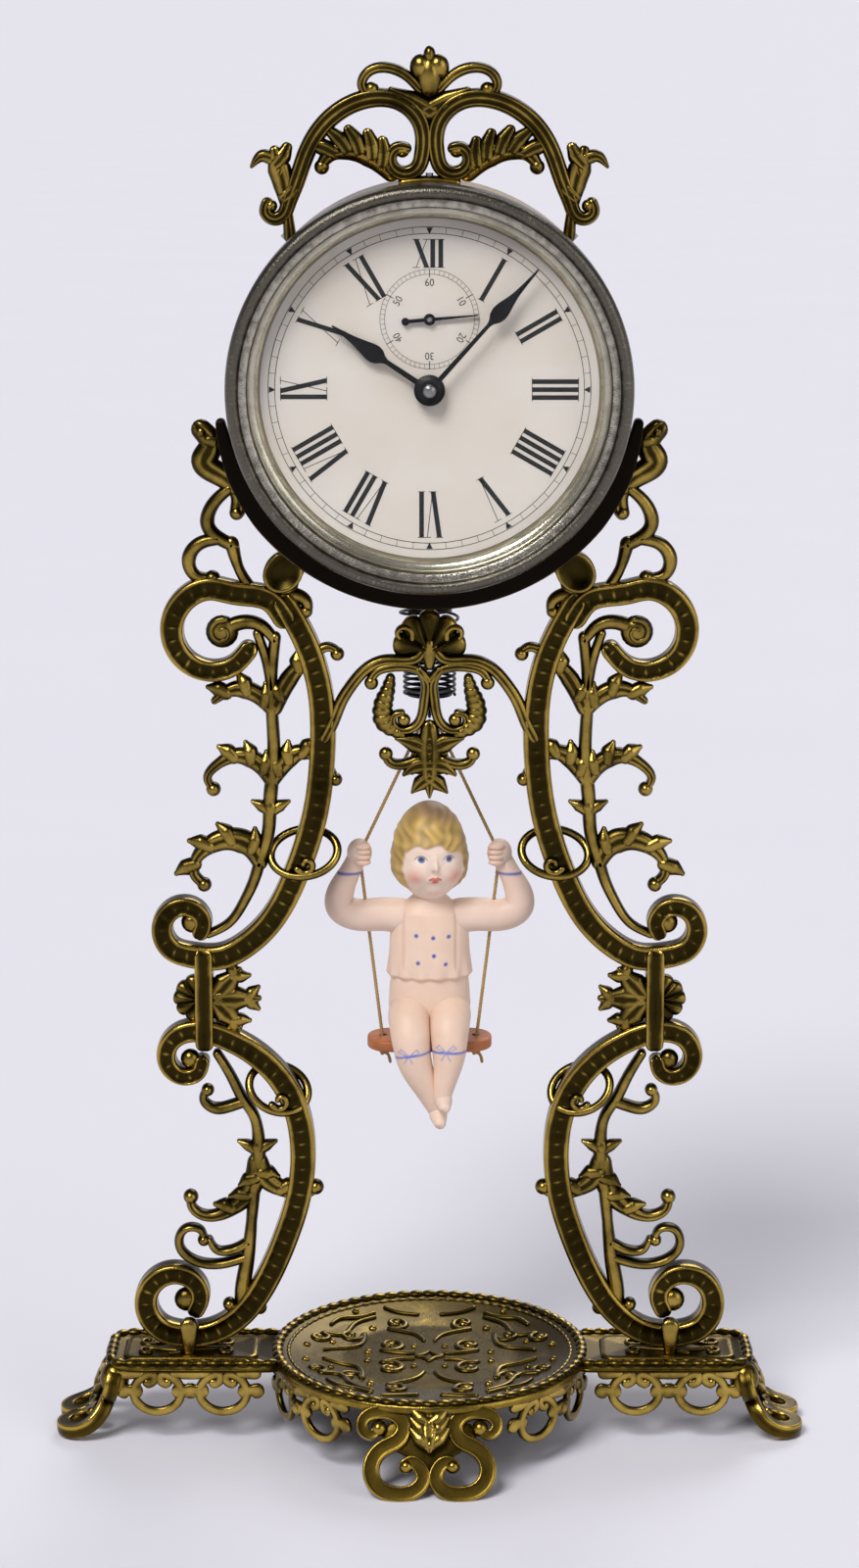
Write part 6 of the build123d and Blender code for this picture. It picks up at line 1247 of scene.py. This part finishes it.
for radius in TRACK:
    circle(radius, TRACK_LINE, 0.0)
ink_round(bar(0, 0, *TRACK, MINUTE_LINE), 60)
ink_round(HOUR_WEDGE, 12)
for hour, numeral in enumerate(NUMERALS):
    start = -sum(STROKES[letter][1] for letter in numeral) / 2
    low, high = (TWELVE_FOOT if hour == 0 else NUMERAL[0]), NUMERAL[1]
    for letter in numeral:
        strokes, advance = STROKES[letter]
        for foot_u, top_u, width in strokes:
            foot_at, top_at = start + advance / 2 + foot_u, start + advance / 2 + top_u
            ink(bar(foot_at, top_at, low, high, width), 30 * hour)
            ink(bar(foot_at, foot_at, low - 0.1, low + 0.08, SERIF), 30 * hour)
            ink(bar(top_at, top_at, high - 0.08, high + 0.1, SERIF), 30 * hour)
        start += advance
for radius in SECONDS_RING:
    circle(radius, SECONDS_LINE, SECONDS_RISE, 120)
ink_round(bar(0, 0, *SECONDS_RING, SECOND_LINE), 60, SECONDS_RISE)
ink_round(bar(0, 0, SECONDS_RING[0] - 0.8, SECONDS_RING[1], TENTH_LINE), 6, SECONDS_RISE)
strokes = np.concatenate(ink_faces)
print("dial strokes", len(strokes))

# %% [markdown]
# The figures of the seconds are text made into a mesh, because digits are round and a font has them already.

# %% Seconds figures and the finished print
FIGURE_SIZE = 2.7
FIGURE_NARROW = 0.9
FIGURE_RADIUS = 9.3
figure_points, figure_faces, figure_count = [], [], 0
for place, figure in enumerate(("60", "10", "20", "30", "40", "50")):
    text = bpy.data.curves.new("figure", "FONT")
    text.body, text.size, text.align_x, text.align_y = figure, FIGURE_SIZE, "CENTER", "CENTER"
    text_piece = in_scene("figure", text)
    shape = bpy.data.meshes.new_from_object(text_piece)
    flat = np.zeros(len(shape.vertices) * 3)
    shape.vertices.foreach_get("co", flat)
    u, r = flat.reshape(-1, 3)[:, 0] * FIGURE_NARROW, flat.reshape(-1, 3)[:, 1] + FIGURE_RADIUS
    figure_points.append(on_dial(u, r, np.radians(60.0 * place), SECONDS_RISE))
    figure_faces += [np.array([list(face.vertices)]) + figure_count for face in shape.polygons]
    figure_count += len(u)
    bpy.data.objects.remove(text_piece)
dial_print = Casting()
dial_print.add(strokes.reshape(-1, 3), 0.0, (0, 0, 0), [np.arange(len(strokes) * 4).reshape(-1, 4)])
dial_print.add(np.vstack(figure_points), 0.0, (0, 0, 0), figure_faces)
dial_print.piece("dial_print", dial_ink, "stand", "dial_paper")

# %% [markdown]
# ## Spring and nut
#
# The doll hangs on a black steel spring, close wound below and drawn open above. Its last turn is wider,
# which leaves the cap of the lift wire room to rock, and its end turns in over that cap. The top stays with
# the case and the foot moves with the doll; here the mesh is taken off its body and kept fixed where it is
# made. The hands are held by a small domed nut.

# %% Spring and nut
SPRING_FOOT = 203.6
SPRING_WIRE = 0.84
COIL_TURNS = (0, 8, 10.2, 11.2, 11.6, 12, 12.35)
COIL_RADII = (6.8, 6.8, 6.8, 7.85, 7.85, 7.85, 2.4)
COIL_RISE = (0, 11.6, 18.42, 21.52, 22.76, 25.4, 25.4)
NUT_PROFILE = [(1.25, 17.2), (1.85, 17.2), (1.85, 17.6), (1.6, 18.0), (1.1, 18.4), (0.5, 18.55), (0.05, 18.6)]

turns = np.linspace(0, COIL_TURNS[-1], 500)
coil_radius = np.interp(turns, COIL_TURNS, COIL_RADII)
coil = np.column_stack([
    coil_radius * np.cos(2 * np.pi * turns),
    SWING_Y + coil_radius * np.sin(2 * np.pi * turns),
    SPRING_FOOT + np.interp(turns, COIL_TURNS, COIL_RISE)])
spring = Casting()
spring.skin(*ribbon(coil, SPRING_WIRE, SPRING_WIRE, UP, THREAD))
spring_mesh = spring.piece("bob_coil", spring_black, "bob", "spring_steel", "bob_spring")
spring_mesh.parent = None
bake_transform(spring_mesh)

nut = Casting()
nut.skin(turned(NUT_PROFILE, CENTRE, columns=32)[:, ::-1], 0.8)
nut.piece("hand_nut_dome", bright_steel, "centre", "train_steel", "hand_nut")

# %% [markdown]
# ## Hands
#
# The two hands are cut from thin sheet: a slim neck, a blade with round shoulders, and a long point. Each
# is a flat strip whose width changes with the distance from the middle, on a hub that fits its arbor.

# %% Hands
HAND_THICK = 0.6
HANDS = {  # node, body, angle from twelve, front, hub's bore and rim, distances out, widths there
    "minute_pointer": ("minute_hand", "centre", 42.0, 17.2, 1.22, 3.6,
                       (3.0, 22.5, 23.6, 25.0, 26.6, 28.4, 30.4, 33.0, 36.0, 41.3),
                       (1.35, 1.0, 1.6, 3.5, 4.3, 3.9, 2.8, 1.7, 1.1, 0.4)),
    "hour_pointer": ("hour_hand", "hour", 303.5, 15.8, 2.42, 4.0,
                     (3.3, 13.2, 14.2, 15.4, 16.8, 18.4, 20.6, 23.6, 26.6, 29.8),
                     (1.5, 1.3, 2.0, 3.9, 4.7, 4.4, 3.3, 2.0, 1.2, 0.4)),
}
for name, (node, body, angle, front, bore, rim, stations, widths) in HANDS.items():
    reach = np.linspace(stations[0], stations[-1], 140)
    way = np.array((np.sin(np.radians(angle)), 0, np.cos(np.radians(angle))))
    middle = np.array(CENTRE) + (0, HAND_THICK / 2 - front, 0)
    hand = Casting()
    hand.skin(*ribbon(middle + np.outer(reach, way), np.interp(reach, stations, widths), HAND_THICK, FRONT,
                      rounded(6, 16)))
    hub = [(bore, front - HAND_THICK), (rim, front - HAND_THICK), (rim, front), (bore, front)]
    hand.skin(turned(hub, CENTRE, columns=64)[:, ::-1], loop=True)
    hand.piece(name, hand_black, body, "hand_black", node)

# %% [markdown]
# ## Doll
#
# The doll is unglazed bisque, tinted and then painted by hand. Head, body and limbs are smooth grids, and
# the paint is a colour at each point, worked out from soft spots and lines: cheeks, eyes, lips, the dots on
# the shirt and the ribbon round the knees. The face looks a little to the side, as dolls of this kind do.

# %% Doll paint
SKIN = np.array((0.80, 0.605, 0.49))
BLUSH = np.array((0.72, 0.20, 0.13))
HAIR = np.array((0.50, 0.325, 0.075))
BLUE = np.array((0.02, 0.07, 0.42))
SEAT_TOP = 108.7


def spot(places, centre, radii, soft=0.35):
    """How much of a soft oval spot covers each place: 1 inside, falling to 0 over a share of its radius."""
    away = np.linalg.norm((places - np.asarray(centre)) / np.asarray(radii), axis=-1)
    return np.clip((1 + soft - away) / (2 * soft), 0, 1)


def stroke(places, line, width):
    """How much of a painted line covers each place: 1 within half the width of any of its straight parts."""
    starts, ends = np.asarray(line[:-1], float), np.asarray(line[1:], float)
    way = ends - starts
    to = places[..., None, :] - starts
    share = np.clip((to * way).sum(-1) / (way * way).sum(-1), 0, 1)
    away = np.linalg.norm(to - share[..., None] * way, axis=-1).min(-1)
    return np.clip((width * 0.75 - away) / (width * 0.5), 0, 1)


def tint(colours, colour, cover):
    """Lays a colour over others, as much as the cover says."""
    return colours + (np.asarray(colour) - colours) * np.asarray(cover)[..., None]


# %% Doll head
HEAD_CENTRE = np.array((0.0, SWING_Y - 1.0, 160.1))
HEAD_TURN = 9.0
HEAD_HALF = (9.7, 10.6, 14.2)
FACE_RELIEF = [  # rise, middle, half sizes, softness: nose, bridge, cheeks, lips, chin, hollows of the eyes
    (1.5, (0, -1.7), (0.7, 0.9), 0.9), (0.6, (0, -0.4), (0.5, 1.8), 0.9),
    (1.1, (-5.0, -4.6), (2.4, 2.4), 0.9), (1.1, (5.0, -4.6), (2.4, 2.4), 0.9),
    (0.8, (0, -5.4), (1.4, 0.9), 0.8), (1.0, (0, -9.6), (2.2, 1.6), 0.9),
    (-0.5, (-3.8, 0.6), (1.6, 1.1), 0.9), (-0.5, (3.8, 0.6), (1.6, 1.1), 0.9)]

rise = np.linspace(-89, 89, 190)[:, None]
about = np.linspace(-180, 180, 300, endpoint=False)[None]
# About 0 looks at the viewer: x to the side, front towards the viewer, up
unit_side = np.cos(np.radians(rise)) * np.sin(np.radians(about))
unit_front = np.cos(np.radians(rise)) * np.cos(np.radians(about))
unit_up = np.sin(np.radians(rise)) + 0 * about
chin = np.clip(-unit_up, 0, 1)
side = HEAD_HALF[0] * unit_side * (1 - 0.04 * chin**2 + 0.10 * np.exp(-(((chin - 0.42) / 0.28) ** 2)))
ahead = HEAD_HALF[1] * unit_front * (1 - 0.05 * chin)
up = HEAD_HALF[2] * np.sign(unit_up) * np.abs(unit_up) ** 1.08 * np.where(unit_up < 0, 0.9, 1.0)
face = np.stack([side, up], axis=-1)
before = np.clip(unit_front * 3, 0, 1)
fringe = 3.6 + 0.5 * np.sin(1.1 * side + 0.6) - 0.045 * side**2 - 0.12 * side
temple = np.clip((np.abs(about) - 50 + 1.6 * np.sin(0.8 * up)) / 5, 0, 1) * np.clip((up + 9.5) / 1.5, 0, 1)
hair = np.maximum(np.clip((up - fringe) / 0.8, 0, 1), temple)
strands = (np.sin(1.5 * side + 1.4 * np.sin(0.9 * up))
           * np.sin(1.1 * up + 1.2 * np.sin(0.8 * side) + 0.5 * ahead))
ahead = ahead + before * sum(amount * spot(face, *where) for amount, *where in FACE_RELIEF)
swell = 1 + hair * (0.055 + 0.03 * strands)
head = np.stack([side * swell, -ahead * swell, up * (1 + 0.02 * hair)], axis=-1)
print("head points", head.shape)

# %% Doll face
EYES = (-3.8, 3.8)
EYE_WHITE, IRIS, PUPIL, LASH = (0.86, 0.82, 0.78), (0.07, 0.13, 0.34), (0.01, 0.01, 0.02), (0.10, 0.045, 0.03)
UPPER_LIP, LOWER_LIP, MOUTH = (0.56, 0.08, 0.06), (0.60, 0.11, 0.08), (0.30, 0.03, 0.03)
NOSTRIL, CROWN = (0.50, 0.14, 0.09), (0.60, 0.36, 0.24)
LIP_LINE = [(-1.5, -5.15), (-0.6, -4.7), (0, -5.0), (0.6, -4.7), (1.5, -5.15)]
MOUTH_LINE = [(-1.2, -5.2), (0, -5.25), (1.2, -5.2)]

face_paint = [(BLUSH, 0.7, spot(face, (cheek, -4.6), (1.5, 1.4), 0.95)) for cheek in (-5.4, 5.6)]
face_paint += [(BLUSH, 0.3, spot(face, (0, -9.4), (1.3, 0.8), 0.9))]
for eye in EYES:
    lash = [(eye - 1.6, 0.4), (eye - 0.9, 1.2), (eye, 1.5), (eye + 0.9, 1.2), (eye + 1.6, 0.4)]
    face_paint += [(EYE_WHITE, 1.0, spot(face, (eye, 0.4), (1.5, 0.9), 0.15)),
                   (IRIS, 1.0, spot(face, (eye + 0.1, 0.45), (0.95, 0.9), 0.15)),
                   (PUPIL, 1.0, spot(face, (eye + 0.1, 0.5), (0.45, 0.45), 0.2)),
                   (LASH, 0.7, stroke(face, lash, 0.3))]
face_paint += [(UPPER_LIP, 1.0, stroke(face, LIP_LINE, 0.6)),
               (LOWER_LIP, 1.0, spot(face, (0, -5.75), (0.95, 0.6), 0.3)),
               (MOUTH, 0.8, stroke(face, MOUTH_LINE, 0.18))]
face_paint += [(NOSTRIL, 0.7, spot(face, (x, -2.65), (0.28, 0.22), 0.5)) for x in (-0.55, 0.55)]

colours = np.broadcast_to(SKIN * (1.06, 1.1, 1.12), head.shape)
for colour, amount, cover in face_paint:
    colours = tint(colours, colour, amount * before * cover)
# Painted shade on the hair: darker where the strands sink, lighter where they rise, and lighter towards the
# top
hair_painted_shade = HAIR * (1 + 0.34 * strands[..., None]) * (0.86 + 0.14 * np.clip(up / 10, 0, 1))[..., None]
colours = colours + (hair_painted_shade - colours) * hair[..., None]
crown = 0.75 * np.clip((up - 9.6 + 0.25 * side) / 2.4, 0, 1) * (0.7 + 0.3 * strands)
colours = tint(colours, CROWN, crown)

turn = np.radians(HEAD_TURN)
turn_about = np.array([[np.cos(turn), -np.sin(turn), 0], [np.sin(turn), np.cos(turn), 0], [0, 0, 1]])
doll = Casting()
doll.skin(HEAD_CENTRE + head @ turn_about.T, paint=np.clip(colours, 0, 1))
print("layers of face paint", len(face_paint))

# %% [markdown]
# The body is a shirt with a scalloped hem over the hips, and the limbs are ribbons with a round profile.
# The doll sits with its knees forward and its feet crossed, and holds the cord in both fists.

# %% Doll body and limbs
TORSO_Z = [7.0, 9.0, 14.0, 17.0, 18.0, 24.0, 31.0, 35.0, 37.2, 39.5, 41.5]
TORSO_WIDE = [10.9, 11.2, 10.9, 10.6, 11.5, 11.0, 10.6, 9.6, 7.2, 4.6, 4.4]
TORSO_DEEP = [8.0, 8.1, 7.9, 7.7, 8.5, 7.9, 7.2, 6.4, 5.4, 4.4, 4.4]
ARM = [(8.0, 0.4, 33.6), (14.0, 0.2, 34.0), (20.0, 0.0, 34.0), (24.2, -0.2, 36.4), (23.6, -0.3, 42.0),
       (20.8, -0.2, 47.6), (19.4, 0.0, 50.6)]
ARM_WIDTHS = (9.6, 9.2, 8.8, 8.4, 7.4, 5.8, 5.2)
FIST, FIST_HALF = (19.0, -0.4, 51.4), (3.4, 3.5, 3.9)
FINGERS, FINGER_HALF, FINGER_STEP = 4, (2.3, 1.5, 0.95), 1.45
DOTS = [(-3.6, 29.7), (1.0, 29.2), (5.2, 29.4), (1.2, 24.3), (-3.1, 22.3), (4.4, 21.9)]
BIB_CREASE_SHADE, HEM = (0.62, 0.37, 0.25), (0.66, 0.42, 0.30)
BIB_EDGE_X, HEM_Z, SCALLOPS = 7.4, 17.2, 14
ON_SEAT = np.array((0, SWING_Y, SEAT_TOP))

height = np.linspace(TORSO_Z[0], TORSO_Z[-1], 110)[:, None]
about = around(240)[None]
fold = np.clip((height - 16.5) / 0.8, 0, 1) * np.clip((24 - height) / 7, 0, 1)
scallop = 0.35 * fold * np.cos(SCALLOPS * about)
wide = np.interp(height, TORSO_Z, TORSO_WIDE) + scallop
deep = np.interp(height, TORSO_Z, TORSO_DEEP) + scallop
bib = (np.exp(-((np.abs(wide * np.cos(about)) - BIB_EDGE_X) / 0.5) ** 2) * (np.sin(about) < 0)
       * np.clip((height - 19) / 2, 0, 1))
body = np.stack([(wide - 0.3 * bib) * np.cos(about), (deep - 0.3 * bib) * np.sin(about), height + 0 * about],
                axis=-1)
flat = np.stack([body[..., 0], body[..., 2]], axis=-1)
ahead = body[..., 1] < 0
# Painted shade darkens the sunk edge lines of the bib
colours = tint(np.broadcast_to(SKIN * (1.0, 0.98, 0.94), body.shape), BIB_CREASE_SHADE, 0.3 * bib)
for dot in DOTS:
    colours = tint(colours, BLUE, ahead * spot(flat, dot, (0.55, 0.55), 0.25))
colours = tint(colours, HEM, 0.5 * np.exp(-((height - HEM_Z) / 0.5) ** 2) + 0 * about)
doll.skin(body + ON_SEAT, paint=colours)


def limb(points, widths, paint=None):
    """A limb of the doll: a round ribbon along a run over the seat, in skin or in the colours that a rule
    gives."""
    surface, _ = ribbon(run(points, 0.3) + ON_SEAT, widths, widths, (0.05, 1.0, 0.12), rounded(2.0, 96))
    doll.skin(surface, paint=paint(surface - ON_SEAT) if paint else SKIN)


def sleeve(places):
    """The arm's colours: skin, with a blue band at the wrist."""
    wrist = np.exp(-(((places[..., 2] - 46.0) / 0.42) ** 4)) * (np.abs(places[..., 0]) < 25)
    return tint(np.broadcast_to(SKIN, places.shape), BLUE, 0.9 * wrist)


for side in (-1, 1):
    limb([(side * x, y, z) for x, y, z in ARM], ARM_WIDTHS, sleeve)
    fist = np.array(FIST) * (side, 1, 1) + ON_SEAT
    doll.skin(ball(fist, FIST_HALF, 28)[0], paint=SKIN)
    for knuckle in range(FINGERS):
        curl = fist + (side * -0.9, -2.5, 2.2 - FINGER_STEP * knuckle)
        doll.skin(ball(curl, FINGER_HALF, 16)[0], paint=SKIN * (1.0, 0.93, 0.9))
print("doll surfaces", len(doll.points))

# %% [markdown]
# The legs are crossed at the ankles, the viewer's right one in front. A ribbon is painted round both knees,
# with a bow on each: a few thin brush lines that cross.

# %% Doll legs
RIGHT_LEG = [(5.4, 1.0, 7.4), (5.6, -5.0, 7.0), (5.4, -11.2, 3.6), (5.2, -13.1, -3.0), (4.2, -13.5, -9.0),
             (3.4, -13.7, -13.6)]
LEFT_LEG = [(-5.4, 1.0, 7.4), (-5.6, -5.0, 7.0), (-5.2, -11.2, 3.6), (-4.0, -12.6, -4.0),
            (-0.6, -12.0, -12.0), (2.2, -11.6, -18.0)]
LEG_WIDTHS = (11.0, 11.4, 10.6, 9.2, 7.0, 5.0)
RIGHT_SHOE = ([(3.4, -13.2, -12.6), (3.9, -15.2, -14.8), (4.1, -17.0, -15.4)], (4.6, 4.8, 3.4))
LEFT_SHOE = ([(2.0, -11.4, -17.0), (2.5, -13.2, -19.4), (2.8, -15.2, -20.4)], (4.6, 5.0, 3.4))
RIBBON_BLUE, BOW_BLUE = (0.025, 0.12, 0.55), (0.10, 0.20, 0.58)
RIBBON = [(-10.5, -2.6), (-6.0, -1.3), (-1.0, -0.7), (4.0, -0.2), (10.5, -0.6)]
BOWS = [[(-5.6, -1.2), (-7.6, 0.6), (-8.4, -0.4), (-5.6, -1.2), (-3.4, 0.7), (-2.8, -0.3), (-5.6, -1.2),
         (-6.8, -3.2)],
        [(-5.6, -1.2), (-4.6, -3.2)],
        [(4.4, -0.1), (2.6, 1.8), (1.8, 0.8), (4.4, -0.1), (6.4, 1.8), (7.2, 0.9), (4.4, -0.1), (3.2, -2.4)],
        [(4.4, -0.1), (5.6, -2.4)]]


def stocking(places):
    """The leg's colours: skin, with the ribbon and the bows on the side towards the viewer."""
    colours = np.broadcast_to(SKIN * (1.0, 0.97, 0.93), places.shape)
    flat = np.stack([places[..., 0], places[..., 2]], axis=-1)
    ahead = np.clip((-9.0 - places[..., 1]) / 1.5, 0, 1)
    colours = tint(colours, RIBBON_BLUE, ahead * stroke(flat, RIBBON, 0.6))
    for bow in BOWS:
        colours = tint(colours, BOW_BLUE, 0.75 * ahead * stroke(flat, bow, 0.32))
    return colours


limb(LEFT_LEG, LEG_WIDTHS, stocking)
limb(RIGHT_LEG, LEG_WIDTHS, stocking)
limb(*LEFT_SHOE)
limb(*RIGHT_SHOE)
doll.piece("doll_figure", bisque, "swing", "bisque", "doll")

# %% [markdown]
# ## Materials for the CAD pieces
#
# The pieces whose CAD shape is right keep it and only get a finish: the drum, its cover, the movement, the
# seconds hand, the glass, the dial, the seat and the screws.

# %% Materials for the CAD pieces
FINISHES = {
    drum_brass: ["case_drum", "back_cover"],
    clock_glass: ["glass"],
    dial_paper: ["dial"],
    hand_black: ["seconds_hand"],
    seat_wood: ["seat"],
    spring_black: ["lift_wire", "spring_hook"],
    train_brass: ["dial_posts", "front_plate", "back_plate", "centre_wheel", "set_knob", "hour_wheel",
                  "minute_wheel", "third_wheel", "escape_wheel", "great_wheel", "winding_key"],
    bright_steel: ["leg_nuts", "collar_screws", "crest_screws", "pillars", "motion_stud", "mainspring",
                   "centre_arbor", "centre_pinion", "cannon_pinion", "minute_pinion", "third_arbor",
                   "third_pinion", "escape_arbor", "escape_pinion", "click", "winding_arbor", "ratchet",
                   "lever_arbor", "lever"],
}
for finish, names in FINISHES.items():
    for name in names:
        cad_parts[name].data.materials.clear()
        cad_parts[name].data.materials.append(finish)
print("CAD pieces with a finish", sum(len(names) for names in FINISHES.values()))

# %% [markdown]
# ## Floor and light
#
# The photograph has one even pale ground with no horizon, so the floor is very large and a soft sun from
# the upper left lights all of it alike. The sky goes on in the floor's colour and is dim overhead, which
# lets the brass show dark and bright sides. A weaker sun at the right opens the shadows, and one behind
# draws the edges.

# %% Floor and light
FLOOR_HALF = 200
FLOOR_COLOUR, FLOOR_TONE = (0.80, 0.785, 0.85), (0.775, 0.76, 0.83)
SKY_LOW, SKY_HIGH = (0.80, 0.785, 0.86, 1), (0.16, 0.16, 0.175, 1)
SUNS = {  # where it comes from, how wide it is in degrees, power
    "key": ((-0.75, -1.25, 1.7), 26.0, 2.3),
    "fill": ((1.6, -1.2, 0.9), 40.0, 0.6),
    "rim": ((0.5, 1.6, 1.3), 30.0, 0.9),
}

bpy.context.scene.view_settings.view_transform = "Standard"
floor_mesh = bpy.data.meshes.new("floor")
corners = [(x * FLOOR_HALF, y * FLOOR_HALF, 0) for x, y in ((-1, -1), (1, -1), (1, 1), (-1, 1))]
floor_mesh.from_pydata(corners, [], [(0, 1, 2, 3)])
floor_paper, _ = mottled("floor_paper", FLOOR_TONE, 0.5, 6.0, 0.9, colour=FLOOR_COLOUR, bump=0.0)
floor_mesh.materials.append(floor_paper)
floor = in_scene("floor", floor_mesh)

for name, (at, angle, power) in SUNS.items():
    light = bpy.data.lights.new(name, "SUN")
    light.angle, light.energy = radians(angle), power
    lamp = in_scene(name, light)
    lamp.rotation_euler = (np.arctan2(np.hypot(at[0], at[1]), at[2]), 0,
                           np.arctan2(-at[1], -at[0]) - np.pi / 2)
world = bpy.data.worlds.new("studio")
world.use_nodes = True
tree = world.node_tree
sky_way = add_node(tree, "SeparateXYZ", Vector=add_node(tree, "TexCoord").outputs["Generated"])
sky_rise = add_node(tree, "MapRange", SMOOTH, Value=sky_way.outputs["Z"], From_Min=0.03, From_Max=0.3)
sky = add_node(tree, "MixRGB", Fac=sky_rise.outputs[0], Color1=SKY_LOW, Color2=SKY_HIGH)
tree.links.new(sky.outputs[0], tree.nodes["Background"].inputs["Color"])
bpy.context.scene.world = world
print("lights", list(SUNS))
